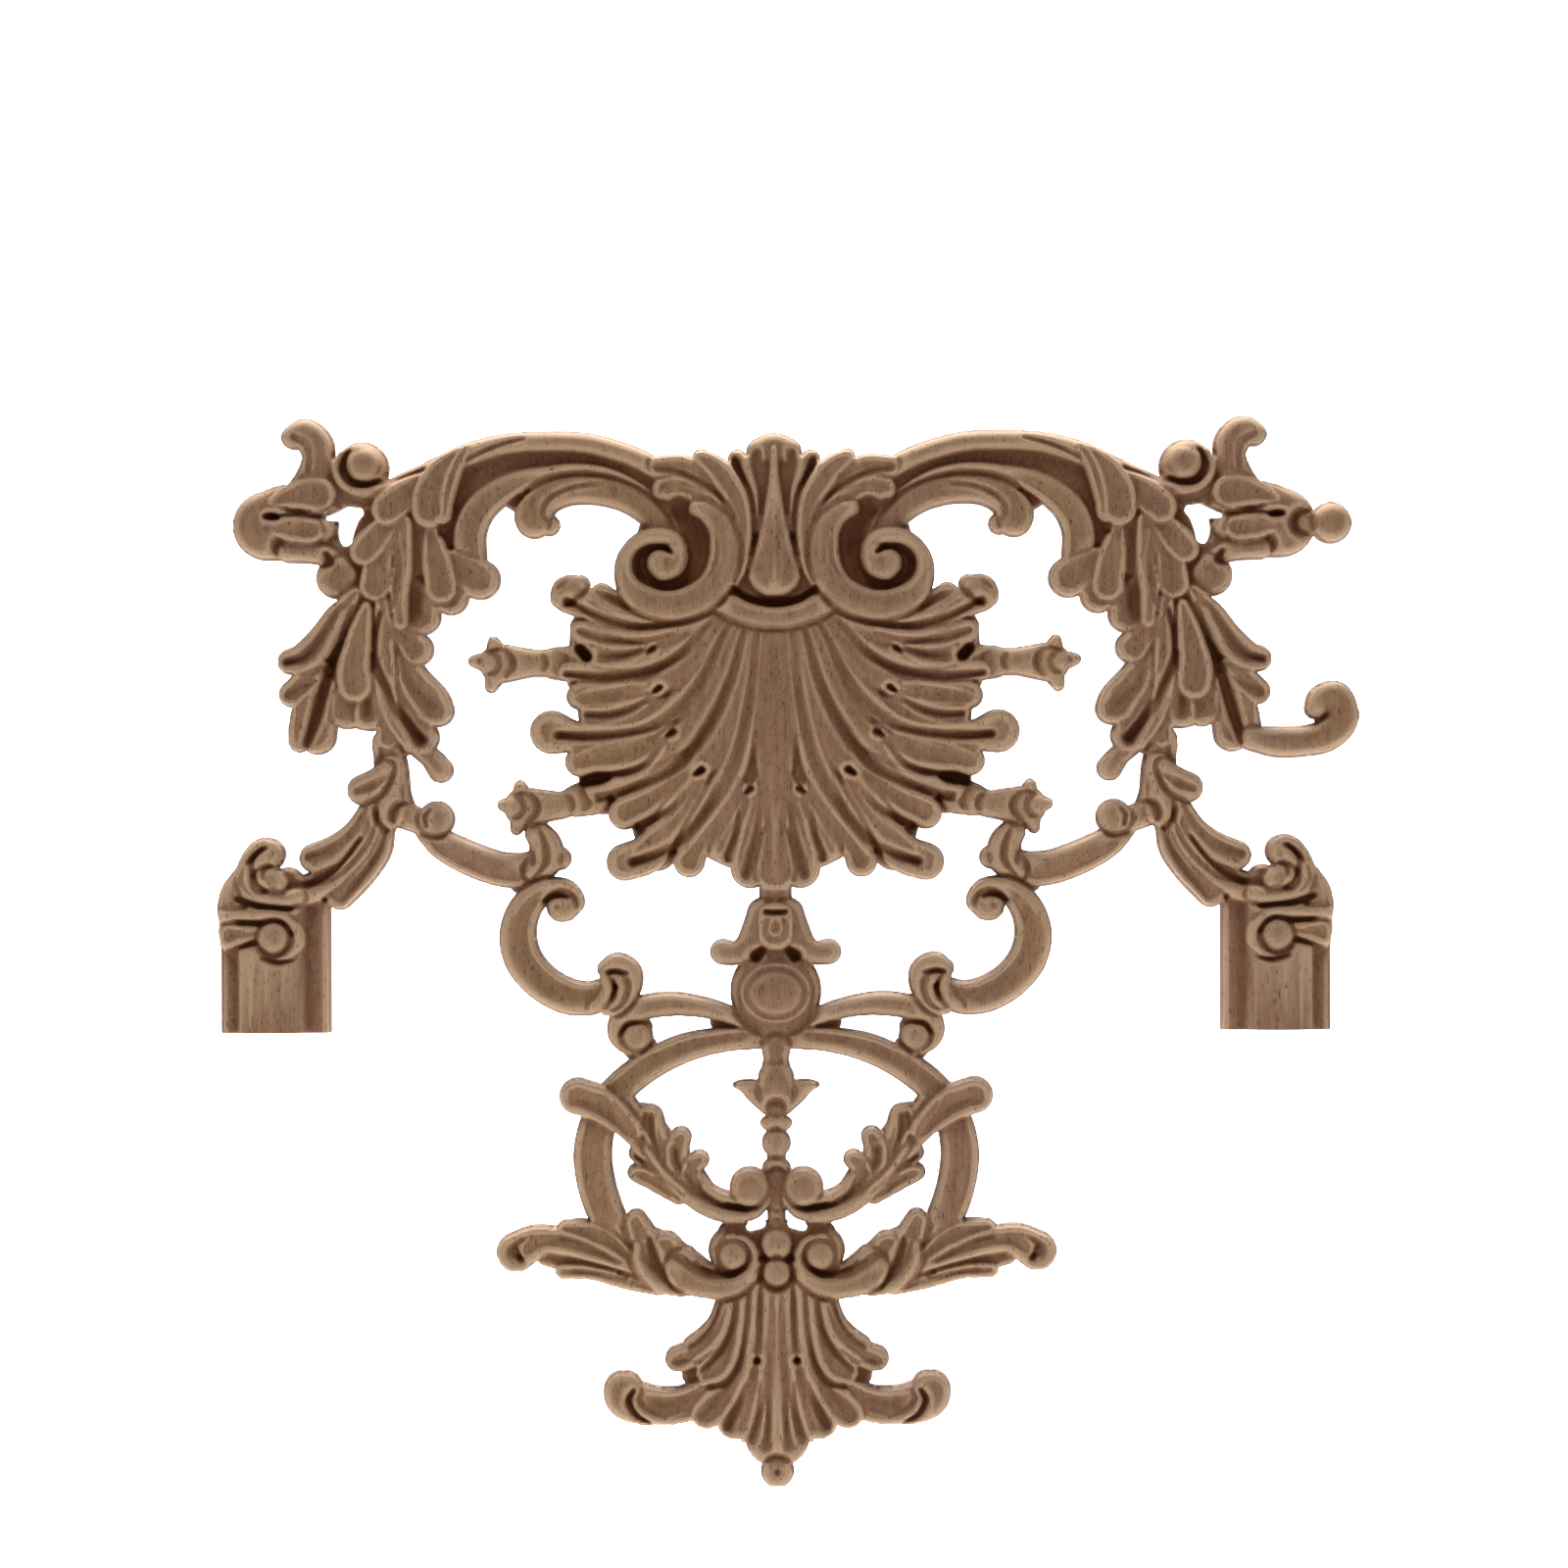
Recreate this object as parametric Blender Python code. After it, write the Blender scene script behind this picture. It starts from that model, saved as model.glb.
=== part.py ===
"""A pierced and carved wooden applique, cut from one flat-backed board.

Origin on the flat back, on the middle line, behind the shell. X runs to the right, Z up, and the carved
front faces -Y. The carving is drawn as a carver would lay it out: each stem, leaf or bead is one stroke
along a path, with a cross-section of its own, and later strokes lap over earlier ones. Half of the
ornament is drawn and mirrored. Only the right half keeps its end bead and its curled tendril.
"""

import bmesh
import bpy
import numpy as np

MM = 0.001
PITCH = 1.0  # grid that the strokes are drawn on, mm
LEAST_CUT = 0.12  # least part of a grid edge that the outline may leave
BACK_ZONE = 0.5  # points nearer the back than this belong to it, mm
TRIANGLES = 9600
WOOD_COLOUR = (0.42, 0.29, 0.2, 1)

# All in millimetres: x from the middle line, z up from the mount, heights from the flat back.
PATTERN_X = 180.0
PATTERN_Z = (-230.0, 103.0)
PATH_STEP = 0.7
LEAST_WIDTH = 0.15
BANK_SLOPE = 2.2
BANK_REACH = 4.0
SAW_SPARE = 0.25  # wood left outside the drawn line
WALL = 6.5  # height of the sawn wall
CROWN = 19.5
ROLL = 1.5
ARRIS = 0.45


def smooth_path(knots):
    """Rows of (x, z, half width) every PATH_STEP along a smooth curve through the knots."""
    knots = np.array(knots, float)
    if len(knots) == 1:
        return knots
    ends = np.vstack([2 * knots[0] - knots[1], knots, 2 * knots[-1] - knots[-2]])
    rows = []
    for before, start, end, after in zip(ends, ends[1:], ends[2:], ends[3:]):
        count = max(2, int(np.ceil(np.hypot(*(end - start)[:2]) / PATH_STEP)))
        for t in np.arange(count) / count:
            rows.append(0.5 * (
                2 * start
                + (end - before) * t
                + (2 * before - 5 * start + 4 * end - after) * t**2
                + (3 * start - before - 3 * end + after) * t**3
            ))
    rows.append(knots[-1])
    rows = np.array(rows)
    rows[:, 2] = np.maximum(rows[:, 2], LEAST_WIDTH)
    return rows


def round_top(u):
    """The cross-section of a rounded stem, over u from -1 to 1 across it."""
    return np.sqrt(np.clip(1 - u**2, 0, 1))


def rim_top(u, rim=0.8):
    """Level across, and rolled off at the sides."""
    return np.sqrt(np.clip(1 - (np.clip(np.abs(u) - rim, 0, 1) / (1 - rim)) ** 2, 0, 1))


def scoop(u, rim=0.86):
    """How far a gouge has hollowed the middle, from 0 at the rim to 1."""
    return (1 - np.clip(np.abs(u) / rim, 0, 1) ** 2) ** 1.3


def cove_top(u):
    """A bold bead, a shallow cove and a thin bead, as on a moulded scroll."""
    place = [-1, -0.93, -0.75, -0.45, -0.15, 0.2, 0.42, 0.56, 0.68, 0.84, 0.95, 1]
    level = [0, 0.45, 0.85, 1.0, 0.94, 0.74, 0.62, 0.66, 0.8, 0.72, 0.36, 0]
    return np.interp(u, place, level)


def flat_top(u):
    return np.clip((1 - np.abs(u)) * 6, 0, 1)


def spread(heights, along):
    """One height, or a few heights shared out evenly along a path."""
    heights = np.atleast_1d(heights)
    return np.interp(along, np.linspace(0, 1, len(heights)), heights)


def bell(reach, pitch):
    """Weights of a bell curve, one for each grid step."""
    half = int(3 * reach / pitch)
    weights = np.exp(-0.5 * (np.arange(-half, half + 1) * pitch / reach) ** 2)
    return weights / weights.sum()


def smeared(values, weights, axis):
    """A running weighted sum along one axis; the values at the ends are carried on."""
    half = len(weights) // 2
    reach = [(half, half) if n == axis else (0, 0) for n in (0, 1)]
    padded = np.pad(values, reach, mode="edge")
    count = values.shape[axis]
    parts = [weight * padded.take(range(n, n + count), axis) for n, weight in enumerate(weights)]
    return np.sum(parts, axis=0)


class Board:
    """Half of the board on a grid: the height of the wood, and the distance inside its outline."""

    def __init__(self, pitch):
        self.pitch = pitch
        self.x = np.arange(round(PATTERN_X / pitch) + 1) * pitch
        self.z = np.arange(round(PATTERN_Z[0] / pitch), round(PATTERN_Z[1] / pitch) + 1) * pitch
        self.height = np.zeros((len(self.z), len(self.x)))
        self.inside = np.full(self.height.shape, -50.0)

    def window(self, path, margin):
        reach = path[:, 2].max() + margin
        left, right = np.searchsorted(self.x, [path[:, 0].min() - reach, path[:, 0].max() + reach])
        low, high = np.searchsorted(self.z, [path[:, 1].min() - reach, path[:, 1].max() + reach])
        return slice(low, high), slice(left, right)

    def across(self, path, window):
        """Place across the stroke (1 at its edge), place along it and half width, for each grid point."""
        z, x = np.meshgrid(self.z[window[0]], self.x[window[1]], indexing="ij")
        gap_x = x.ravel()[:, None] - path[None, :, 0]
        gap_z = z.ravel()[:, None] - path[None, :, 1]
        ratio = (gap_x**2 + gap_z**2) / path[None, :, 2] ** 2
        near = ratio.argmin(axis=1)
        rows = np.arange(len(near))
        best = ratio[rows, near]
        side = np.ones(len(near))
        if len(path) > 2:
            last = np.maximum(near - 1, 0)
            following = np.minimum(near + 1, len(path) - 1)
            between = (near > 0) & (near < len(path) - 1)
            bend = np.where(between, ratio[rows, last] - 2 * best + ratio[rows, following], 1.0)
            step = ratio[rows, following] - ratio[rows, last]
            best = np.where(between, best - step**2 / (8 * np.maximum(bend, 1e-9)), best)
            heading = path[following, :2] - path[last, :2]
            side = np.sign(heading[:, 0] * gap_z[rows, near] - heading[:, 1] * gap_x[rows, near])
        u = np.sqrt(np.maximum(best, 0)) * np.where(side < 0, -1, 1)
        along = near / max(1, len(path) - 1)
        return u.reshape(x.shape), along.reshape(x.shape), path[near, 2].reshape(x.shape)

    def add(self, window, wood, gap, edge, over):
        """Joins wood to the board where gap is positive. Over what is there, it cuts itself free."""
        height = self.height[window]
        inside = self.inside[window]
        if over:
            beside = np.minimum(height, edge + BANK_SLOPE * np.maximum(-gap, 0))
            height[:] = np.where(gap >= 0, wood, beside)
        else:
            height[:] = np.where(gap >= 0, np.maximum(height, wood), height)
        inside[:] = np.maximum(inside, gap)

    def lay(self, knots, top, edge, section, over=True, dip=0, steepest=1.4):
        """A carved stem or leaf along a path. Top and edge may each be one height or a few along it."""
        path = smooth_path(knots)
        window = self.window(path, BANK_REACH)
        u, along, width = self.across(path, window)
        high = spread(top, along)
        low = spread(edge, along)
        low = np.maximum(low, high - steepest * width)
        wood = low + (high - low) * section(u) - spread(dip, along) * scoop(u)
        self.add(window, wood, (1 - np.abs(u)) * width, low, over)

    def rib(self, knots, top=12, edge=8):
        self.lay(knots, top, edge, round_top)

    def swell(self, knots, top=13, edge=10):
        """A rounded ridge that rises out of what is there, and meets it in a soft valley."""
        self.lay(knots, top, edge, round_top, over=False)

    def lobe(self, knots, top=12, dip=1.3, fall=1.6):
        """A leaf lobe or a flute: a thin raised rim round a scooped middle."""
        self.lay(knots, top, np.subtract(top, fall), rim_top, dip=dip)

    def upright(self, outline, top=13, edge=10):
        """A swelling stem on the middle line; outline is a list of (z, half width), from the foot up."""
        z, x = np.meshgrid(self.z, self.x, indexing="ij")
        foot, tip = outline[0][0], outline[-1][0]
        width = np.interp(z, [row[0] for row in outline], [row[1] for row in outline])
        along = np.clip((z - foot) / (tip - foot), 0, 1)
        low = spread(edge, along)
        wood = low + (spread(top, along) - low) * round_top(x / width)
        gap = np.where((z > foot) & (z < tip), width - x, -9.0)
        whole = np.s_[:, :]
        self.add(whole, wood, gap, np.where(gap > -BANK_REACH, low, 99.0), True)

    def scroll(self, knots, top=12, edge=8, flip=False):
        self.lay(knots, top, edge, (lambda u: cove_top(-u)) if flip else cove_top)

    def ground(self, knots, top=7):
        """Plain board left low behind the ornament."""
        self.lay(knots, top, top, flat_top, over=False)

    def bead(self, x, z, radius, top=13, edge=8):
        self.lay([(x, z, radius)], top, edge, round_top)

    def gouge(self, knots, floor, lip):
        """A round-bottomed groove down to floor; lip is its height at the sides."""
        path = smooth_path(knots)
        window = self.window(path, 1.0)
        u = self.across(path, window)[0]
        height = self.height[window]
        cut = np.minimum(height, floor + (lip - floor) * u**2)
        height[:] = np.where(np.abs(u) <= 1, cut, height)

    def crease(self, knots, depth=2.0):
        """A soft-sided valley in what is there. Depth may be one or a few along it."""
        path = smooth_path(knots)
        window = self.window(path, 0.5)
        u, along, width = self.across(path, window)
        self.height[window] -= spread(depth, along) * np.clip(1 - u**2, 0, 1) ** 2

    def ring(self, x, z, radius, rise=0.8):
        """A low lip round a drilled eye."""
        path = np.array([[x, z, radius]])
        window = self.window(path, radius)
        u = self.across(path, window)[0]
        self.height[window] += rise * np.exp(-((np.abs(u) - 1) / 0.35) ** 2)

    def finish(self):
        """Rounds the arrises as a ball-nosed cutter does, and rolls the carving off towards the outline."""
        self.inside += SAW_SPARE
        weights = bell(ARRIS, self.pitch)
        solid = np.where(self.inside > -0.5, 1.0, 1e-6)
        total = smeared(smeared(self.height * solid, weights, 0), weights, 1)
        solid = smeared(smeared(solid, weights, 0), weights, 1)
        weights = bell(ROLL, self.pitch)
        deep = np.clip(self.inside / self.pitch + 0.5, 0, 1)
        deep = np.clip(2 * smeared(smeared(deep, weights, 0), weights, 1) - 1, 0, 1)
        self.height = np.minimum(total / solid, WALL + (CROWN - WALL) * deep**0.7)

    def pierce(self, knots):
        """A hole right through the board."""
        path = smooth_path(knots)
        window = self.window(path, 2.0)
        u, along, width = self.across(path, window)
        inside = self.inside[window]
        inside[:] = np.minimum(inside, (np.abs(u) - 1) * width)

    def oval(self, x, z, wide, high, top=13, edge=8, over=True):
        """A domed oval; wide and high are half sizes."""
        window = self.window(np.array([[x, z, max(wide, high)]]), BANK_REACH)
        grid_z, grid_x = np.meshgrid(self.z[window[0]], self.x[window[1]], indexing="ij")
        u = np.hypot((grid_x - x) / wide, (grid_z - z) / high)
        self.add(window, edge + (top - edge) * round_top(u), (1 - u) * min(wide, high), edge, over)

    def moulding(self, left, right, foot, top, profile):
        """A straight run with square ends; profile is a list of (x, height)."""
        z, x = np.meshgrid(self.z, self.x, indexing="ij")
        gap = np.minimum.reduce([x - left, right - x, z - foot, top - z])
        wood = np.interp(x, [p[0] for p in profile], [p[1] for p in profile])
        self.add(np.s_[:, :], wood, gap, 7.0, False)

STUB_FOOT = -87.8
MOULDING_PROFILE = [
    (136.6, 7.4), (137.4, 9.0), (138.0, 9.2), (142.6, 8.6), (143.4, 9.4), (144.4, 11.6),
    (146.5, 13.6), (150.5, 15.0), (155.5, 15.6), (160.5, 14.8), (161.2, 14.2), (163.6, 12.2),
    (164.4, 10.6), (164.9, 8.8), (168.6, 9.0), (169.7, 7.4),
]


def top_rail(b):
    # Board behind the rail, the corner and the gap beside the tongue leaf
    b.ground([(100, 80, 6), (90, 83, 6), (80, 87, 6), (66, 88, 6), (52, 86, 6), (43, 82, 6), (36, 76, 6),
              (31, 69, 6)], top=9.5)
    b.ground([(99, 64, 3.4), (97, 71, 4), (92, 78, 4)], top=9)
    b.ground([(79, 75.5, 3.4), (82, 77, 3)])
    # Outer bead
    b.rib([(116, 79.4, 2.8), (103, 84.4, 3.9), (93, 89.2, 3.7), (82, 92.2, 3.3), (70, 93.0, 3.1),
           (58, 92.5, 3.2), (48, 90.0, 3.2), (40, 86.8, 3.2), (32, 82, 3)], top=15, edge=10)
    # Inner band, which turns down into a short stem
    b.scroll([(93.0, 57, 4.8), (93.4, 65, 5.0), (90.6, 72, 4.8), (85, 77.2, 4.3), (78, 80.9, 3.5),
              (69, 83.2, 2.4), (60, 83.8, 2.6), (51, 82.2, 2.8), (43, 78.0, 3.0), (36, 71.5, 3.2),
              (30, 63, 3.4)], top=13, edge=9.5)
    # Leaf that curls under the rail
    b.bead(69.0, 67.6, 3.2, top=11, edge=8)
    b.rib([(33, 64, 3), (37.6, 70.5, 4), (45, 75.6, 4.2), (54, 78.2, 4.4), (63, 78.2, 4.5),
           (70, 75.6, 5.0), (73.6, 71.2, 5.7), (73.6, 69.2, 5.6)], top=12, edge=8.5)
    b.gouge([(68.3, 67.5, 0.6), (70.6, 71, 0.9), (68.6, 75.5, 0.9), (62, 78.8, 0.7), (54, 80, 0.5)],
            10.0, 12)
    b.gouge([(101, 83, 0.4), (92, 88.3, 0.8), (84, 91.8, 0.8), (76, 93.8, 0.4)], 12.5, 15)


def corner_bud(b):
    b.ground([(120, 77, 5), (130, 78, 5.5), (137, 79, 5)], top=10)
    b.ground([(124, 62, 5.4), (124, 69, 4)], top=9)
    b.ground([(127, 57, 3.6), (130, 50, 4.4)], top=9)
    b.ground([(131, 59, 2.8), (135.4, 61, 2.6), (136.6, 67, 2.4)], top=9)
    b.rib([(140, 70, 7.6), (147.4, 69, 11.3), (155.4, 67.6, 10.4)], top=14, edge=9)
    b.rib([(149, 60, 3.5), (143, 59.8, 3.5), (138, 58.8, 3.3), (134.5, 57, 3)], top=11.5, edge=8.5)
    # Hook at the top
    b.rib([(145, 77, 5), (141.4, 82, 5.2), (139.8, 88, 4.8), (140.4, 92.4, 5.2), (143.6, 95.6, 4.7),
           (147.4, 94.8, 3.5)], top=12.6, edge=9)
    b.gouge([(142.4, 84, 0.8), (142.8, 88, 1.9), (143.8, 92.0, 2.2), (147.0, 94.6, 1.2)], 10.6, 12.6)
    # Petals of the bud, and the dark slot between them
    b.lobe([(154, 74.6, 0.8), (148, 76.4, 3.6), (142, 77.2, 5.0), (139, 77.0, 5.1)],
           top=(14.4, 14, 13.6), dip=(0.2, 1.2, 1.7), fall=(0.2, 0.7, 1.8))
    b.lobe([(153, 65.8, 0.8), (148, 65.6, 2.8), (143.4, 66, 3.7), (141.4, 66, 3.7)],
           top=(14.2, 14, 13.4), dip=(0.2, 1.0, 1.6), fall=(0.2, 0.7, 1.7))
    b.gouge([(152, 70.5, 0.5), (145, 70.8, 0.7), (141, 70.4, 1.1), (138.4, 70.2, 1.3)], 10, 13.6)
    b.gouge([(155.2, 70.3, 1.0), (153.4, 70.3, 1.3), (151.8, 70.1, 0.9)], 6.5, 13.6)
    # Small rolled lobe under the bud
    b.rib([(132.5, 56, 2.5), (130.8, 52.6, 3.6), (134.2, 51.6, 6.2)], top=12, edge=9)
    b.gouge([(138.4, 54.8, 0.8), (135.8, 56.4, 1.7), (137, 58.8, 1.2)], 7.5, 12)
    # The scrolled end of the rail
    b.rib([(128, 80, 2.4), (126.3, 85, 8.1)], top=13.6, edge=9.5)
    b.rib([(106, 80.8, 2.8), (117, 78.4, 2.5), (126.4, 77.8, 1.8), (132.2, 80.6, 1.5),
           (134.0, 85.4, 1.3), (132.4, 89.4, 1.1)], top=13.6, edge=10)
    b.gouge([(120.6, 81.4, 0.5), (124.4, 80.0, 1.2), (129.2, 80.8, 1.7), (131.8, 84.4, 1.7),
             (131.2, 88.6, 1.1), (129.6, 90.4, 0.5)], 7.5, 13.4)
    b.bead(125.2, 86.2, 5.0, top=15.4, edge=12)


def acanthus_drop(b):
    b.ground([(112, 66, 11), (113, 55, 12), (117, 42, 11), (121, 30, 12), (124, 18, 12), (124, 13, 8)],
             top=10)
    b.ground([(113.8, -0.6, 2.4)], top=8)
    b.ground([(133, 30, 3), (137, 20, 5), (140, 10, 5)], top=8.5)
    # Lower leaf: the outermost lobes first, then those that lap over them
    b.lobe([(138.4, 18, 4), (139.4, 8, 5.2), (140.2, 3.2, 5.6)], top=11.4, dip=0.9)
    b.lobe([(143.6, 16, 2.6), (145.4, 8, 3.2), (145.8, 1.4, 3.1)], top=11, dip=0.8)
    b.lobe([(131, 14, 5), (131, 10.4, 5.1)], top=11, dip=0.8)
    b.lobe([(138, 24, 2.2), (143.6, 19.8, 3.9), (148, 16, 3.9)], top=12)
    b.lobe([(128, 47, 1.6), (133.6, 39.6, 4.0), (138.4, 32.4, 4.8), (144.4, 27.2, 4.4),
            (148.4, 26, 3.8)], top=13.4, dip=1.6)
    b.rib([(111, 0, 2.4), (105.6, -3.6, 3.2), (102.6, -7.4, 3.8)], top=11, edge=8)
    b.lobe([(118, 22, 3), (113, 10, 4), (108.2, 2.6, 5.2)], top=12)
    b.lobe([(120, 18, 2.6), (119.2, 9, 3.1), (118.4, 2.2, 3.3)], top=12.2, dip=0.8)
    b.lobe([(124.5, 20, 3.2), (124.4, 9.4, 4.3)], top=12.5, dip=0.9)
    b.lobe([(113.5, 30, 2), (110.4, 21, 4.4), (105.6, 14, 5.7), (103.2, 10.8, 4.8)], top=13.4)
    b.lobe([(114.4, 38, 2.4), (111, 31.4, 4.6), (109.4, 29.6, 4.8)], top=13)
    b.lobe([(120, 45, 2.0), (119.2, 34, 3.2), (119.2, 22, 3.4), (117.4, 10, 2.6), (112, 0, 1.6)],
           top=13.4, dip=0.7, fall=1.2)
    b.crease([(120.6, 41, 1.0), (122.8, 31, 2.2), (121.8, 24, 2.2), (118.7, 17.6, 2.0), (114.9, 10, 2.2),
              (108.4, 1.6, 2.8)], depth=(3, 4, 3, 3, 4))
    b.crease([(114.8, 29, 1.2), (111.6, 18.6, 2.6), (105.6, 12.6, 3.2)], depth=(1, 1.8, 1.6))
    b.crease([(124.6, 18, 1.6), (124.8, 9.6, 2.6)], depth=1.8)
    b.lobe([(124.6, 43, 1.4), (127.0, 33, 4.0), (128.6, 24, 5.2), (128.2, 19, 5.4)], top=14.4, dip=1.5)
    b.crease([(128.6, 43, 1.0), (132, 34, 2.0), (135.8, 24.5, 2.6), (138.4, 16, 2.8), (140.4, 9, 2.8),
              (144, -1.4, 2.0)], depth=(2, 4, 5, 5.4, 5.4, 4.4))
    b.crease([(132.6, 43.4, 0.9), (138.1, 34, 1.8), (143.2, 27.6, 2.2), (149.4, 25.6, 1.6)],
             depth=(1, 1.8, 2.2, 3))
    b.crease([(140, 20, 1.2), (145, 17.4, 2.4), (149, 15.4, 1.8)], depth=1.4)
    # Upper leaf
    b.lobe([(98.6, 52, 4), (99.2, 45.6, 5.4)], top=12)
    b.lobe([(100, 58, 2.4), (94.4, 53.6, 4.9), (90.2, 51, 6.1)], top=12.6)
    b.lobe([(113.6, 50, 4.4), (110, 42.4, 6.2), (107.8, 39.6, 5.4)], top=12.4, dip=1.8)
    b.lobe([(118.6, 63, 2.6), (121.0, 56, 4.4), (122, 49.2, 4.9)], top=13.4, dip=1.6)
    b.lobe([(104.6, 65, 2.4), (103, 56, 4.5), (101.8, 48.6, 5.0)], top=14, dip=1.4)
    b.ground([(110, 72, 3), (109.6, 62, 3), (109.6, 54, 2.4)], top=12)
    b.lobe([(113.6, 68, 3), (113.4, 56, 2.9), (114.6, 46, 2.9), (114, 38, 2.2)], top=14.6, dip=0.6,
           fall=1.2)
    b.crease([(109.4, 66, 1.0), (109.2, 57, 1.8), (109.2, 50, 2.6), (110.0, 43, 3.4), (110.8, 39, 3.2)],
             depth=(1, 1.4, 1.8, 2.2, 1.8))
    b.crease([(115.8, 65, 1.0), (115.0, 56, 1.6), (115.8, 49, 1.7), (116.6, 43, 1.2)],
             depth=(1.6, 2.4, 1.6))
    b.lobe([(118, 68, 3.4), (122.4, 63.0, 4.7), (125.4, 59.8, 4.6)], top=14, dip=1.6)
    b.lobe([(106, 81, 3), (112.8, 76.6, 4.8), (118.2, 72.4, 5.0)], top=15.2, dip=1.5)
    b.lobe([(93.6, 91.4, 1.0), (97.8, 84.6, 2.8), (101.0, 76.0, 3.4), (101.6, 71.0, 3.2)], top=16, dip=1)
    b.lobe([(96.4, 90.6, 1.0), (101.6, 84.6, 3.4), (105.0, 77.4, 5.0), (105.4, 71.8, 5.1)], top=17,
           dip=1.9, fall=2)
    b.gouge([(101.4, 65.4, 1.6), (99.0, 63.6, 1.0)], 8.5, 12.6)


def trunk_and_arms(b):
    b.rib([(119, 1, 4.4), (117.6, -7, 5.0), (116.2, -15, 4.4), (114.6, -20.5, 4.6)], top=12, edge=8)
    # Arm out to the moulding: two leaf folds and a ridge between them
    b.ground([(121, -17, 4), (120, -25, 3.4), (125, -32, 4), (133, -38, 4), (143, -43, 4),
              (152, -45, 5)], top=9.5)
    b.lobe([(119, -24, 2.2), (121.2, -32, 3.4), (126.8, -39.4, 3.9), (133.4, -46, 4.0)], top=12.4)
    b.lobe([(124, -18, 2.6), (128.0, -26.2, 4.0), (134.4, -31.2, 4.2), (141.4, -34.2, 4.3)], top=13,
           dip=1.0)
    b.rib([(121, -20, 1.6), (124.4, -30, 2.0), (131.4, -38.2, 2.3), (141, -45.2, 2.6),
           (150, -46.4, 2.6)], top=13.2, edge=10.6)
    b.gouge([(126.6, -28, 0.5), (133, -36.0, 1.0), (141, -41.2, 1.4), (149, -43, 1.3)], 8, 12.6)
    b.rib([(117.0, -6, 3.6), (117.6, -14, 4.0), (117.4, -20.8, 4.2)], top=13.2, edge=9.5)
    b.rib([(118.6, -6.8, 2.4), (122.8, -11.4, 4.2), (126.6, -13.4, 4.5)], top=13.6, edge=9.5)
    b.crease([(119.2, -9.6, 1.0), (123.4, -12.2, 2.2), (128, -13.8, 1.8)], depth=(1, 2.4, 2))
    b.crease([(119.4, 2, 1.4), (120.4, -2.6, 1.8), (122.4, -5.8, 1.2)], depth=2.2)
    # Arm in towards the shell
    b.scroll([(107, -26.0, 3.4), (101.2, -30.6, 4.6), (93.4, -34.6, 5.1), (85, -37.6, 5.2),
              (78, -38.2, 5.2), (73, -36.4, 4.4)], top=12.5, edge=8.5)
    b.rib([(113, -21.5, 4), (108, -23.5, 3.8)], top=11.5, edge=8.5)
    b.bead(103.8, -22.4, 5.4, top=13.5, edge=9)
    b.gouge([(105.4, -19.2, 0.5), (107.2, -21.4, 1.0), (106.8, -24.4, 0.8)], 9.5, 13)
    # The knot of leaves where it meets the lower scroll
    b.rib([(67.5, -35, 3.2), (66.2, -34.6, 3.5)], top=11.6, edge=8)
    b.rib([(72.8, -26.8, 3.8), (70.4, -30.6, 4.8), (70.6, -35, 5.2), (73.4, -38.4, 3.6)], top=13, edge=9)
    b.crease([(72, -25.6, 0.9), (70.4, -29.8, 1.4), (69.8, -34, 1.5), (71, -37.2, 1.4), (73.4, -39.8, 0.9)],
             depth=2.4)
    b.crease([(74.3, -32.6, 1.0), (74.1, -35.6, 1.3)], depth=2)


def moulding_stub(b):
    """The cut-off end of the running moulding, with the scroll that caps it."""
    b.moulding(136.6, 169.7, STUB_FOOT - 8, -47.0, MOULDING_PROFILE)
    b.ground([(158, -41, 6.5), (159, -56, 10.6)], top=9.5)
    b.ground([(149.4, -42, 4.8)], top=9)
    b.rib([(162.4, -38.6, 3), (166.2, -46, 4.2), (167, -54, 3.6), (167.6, -60, 2.6)], top=12.5, edge=9)
    b.rib([(146, -46, 2.6), (154, -47, 3.0), (160, -43.6, 3.8), (160.4, -38, 4.6), (157, -33.6, 5.2),
           (155.2, -33, 4.8)], top=14.6, edge=11)
    b.gouge([(161.4, -36, 0.5), (160, -34, 1.1), (156.4, -30.8, 0.8)], 11, 14)
    b.rib([(151.6, -42, 2.6), (154.6, -40.4, 3.8), (156.6, -41, 3.2)], top=15, edge=11.5)
    b.gouge([(164.6, -46.6, 1.2), (157.5, -48.8, 1.2), (148, -49.6, 0.8)], 8.5, 14)
    b.rib([(169, -51.8, 1.8), (160, -51.4, 1.6), (152, -51.8, 1.8), (146.8, -55, 1.8), (145.6, -60, 1.8),
           (149, -63.6, 1.7), (154, -63.8, 1.2)], top=15, edge=11)
    b.gouge([(165, -53.4, 0.5), (158, -54.0, 1.2), (151.6, -53.6, 1.0), (147.9, -57.4, 0.8)], 8.8, 14)
    b.lobe([(166.8, -57.8, 3.6), (162.6, -57.4, 2.6), (158.6, -57.6, 0.8)], top=14)
    b.bead(153.4, -58.6, 5.1, top=16.5, edge=11)
    b.gouge([(168, -62.6, 0.5), (163, -61.0, 0.9), (159.2, -60.0, 1.3)], 9, 13)
    b.gouge([(157, -64.6, 0.6), (152, -66.0, 1.0), (147.5, -65.2, 0.6)], 11, 15)


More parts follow.
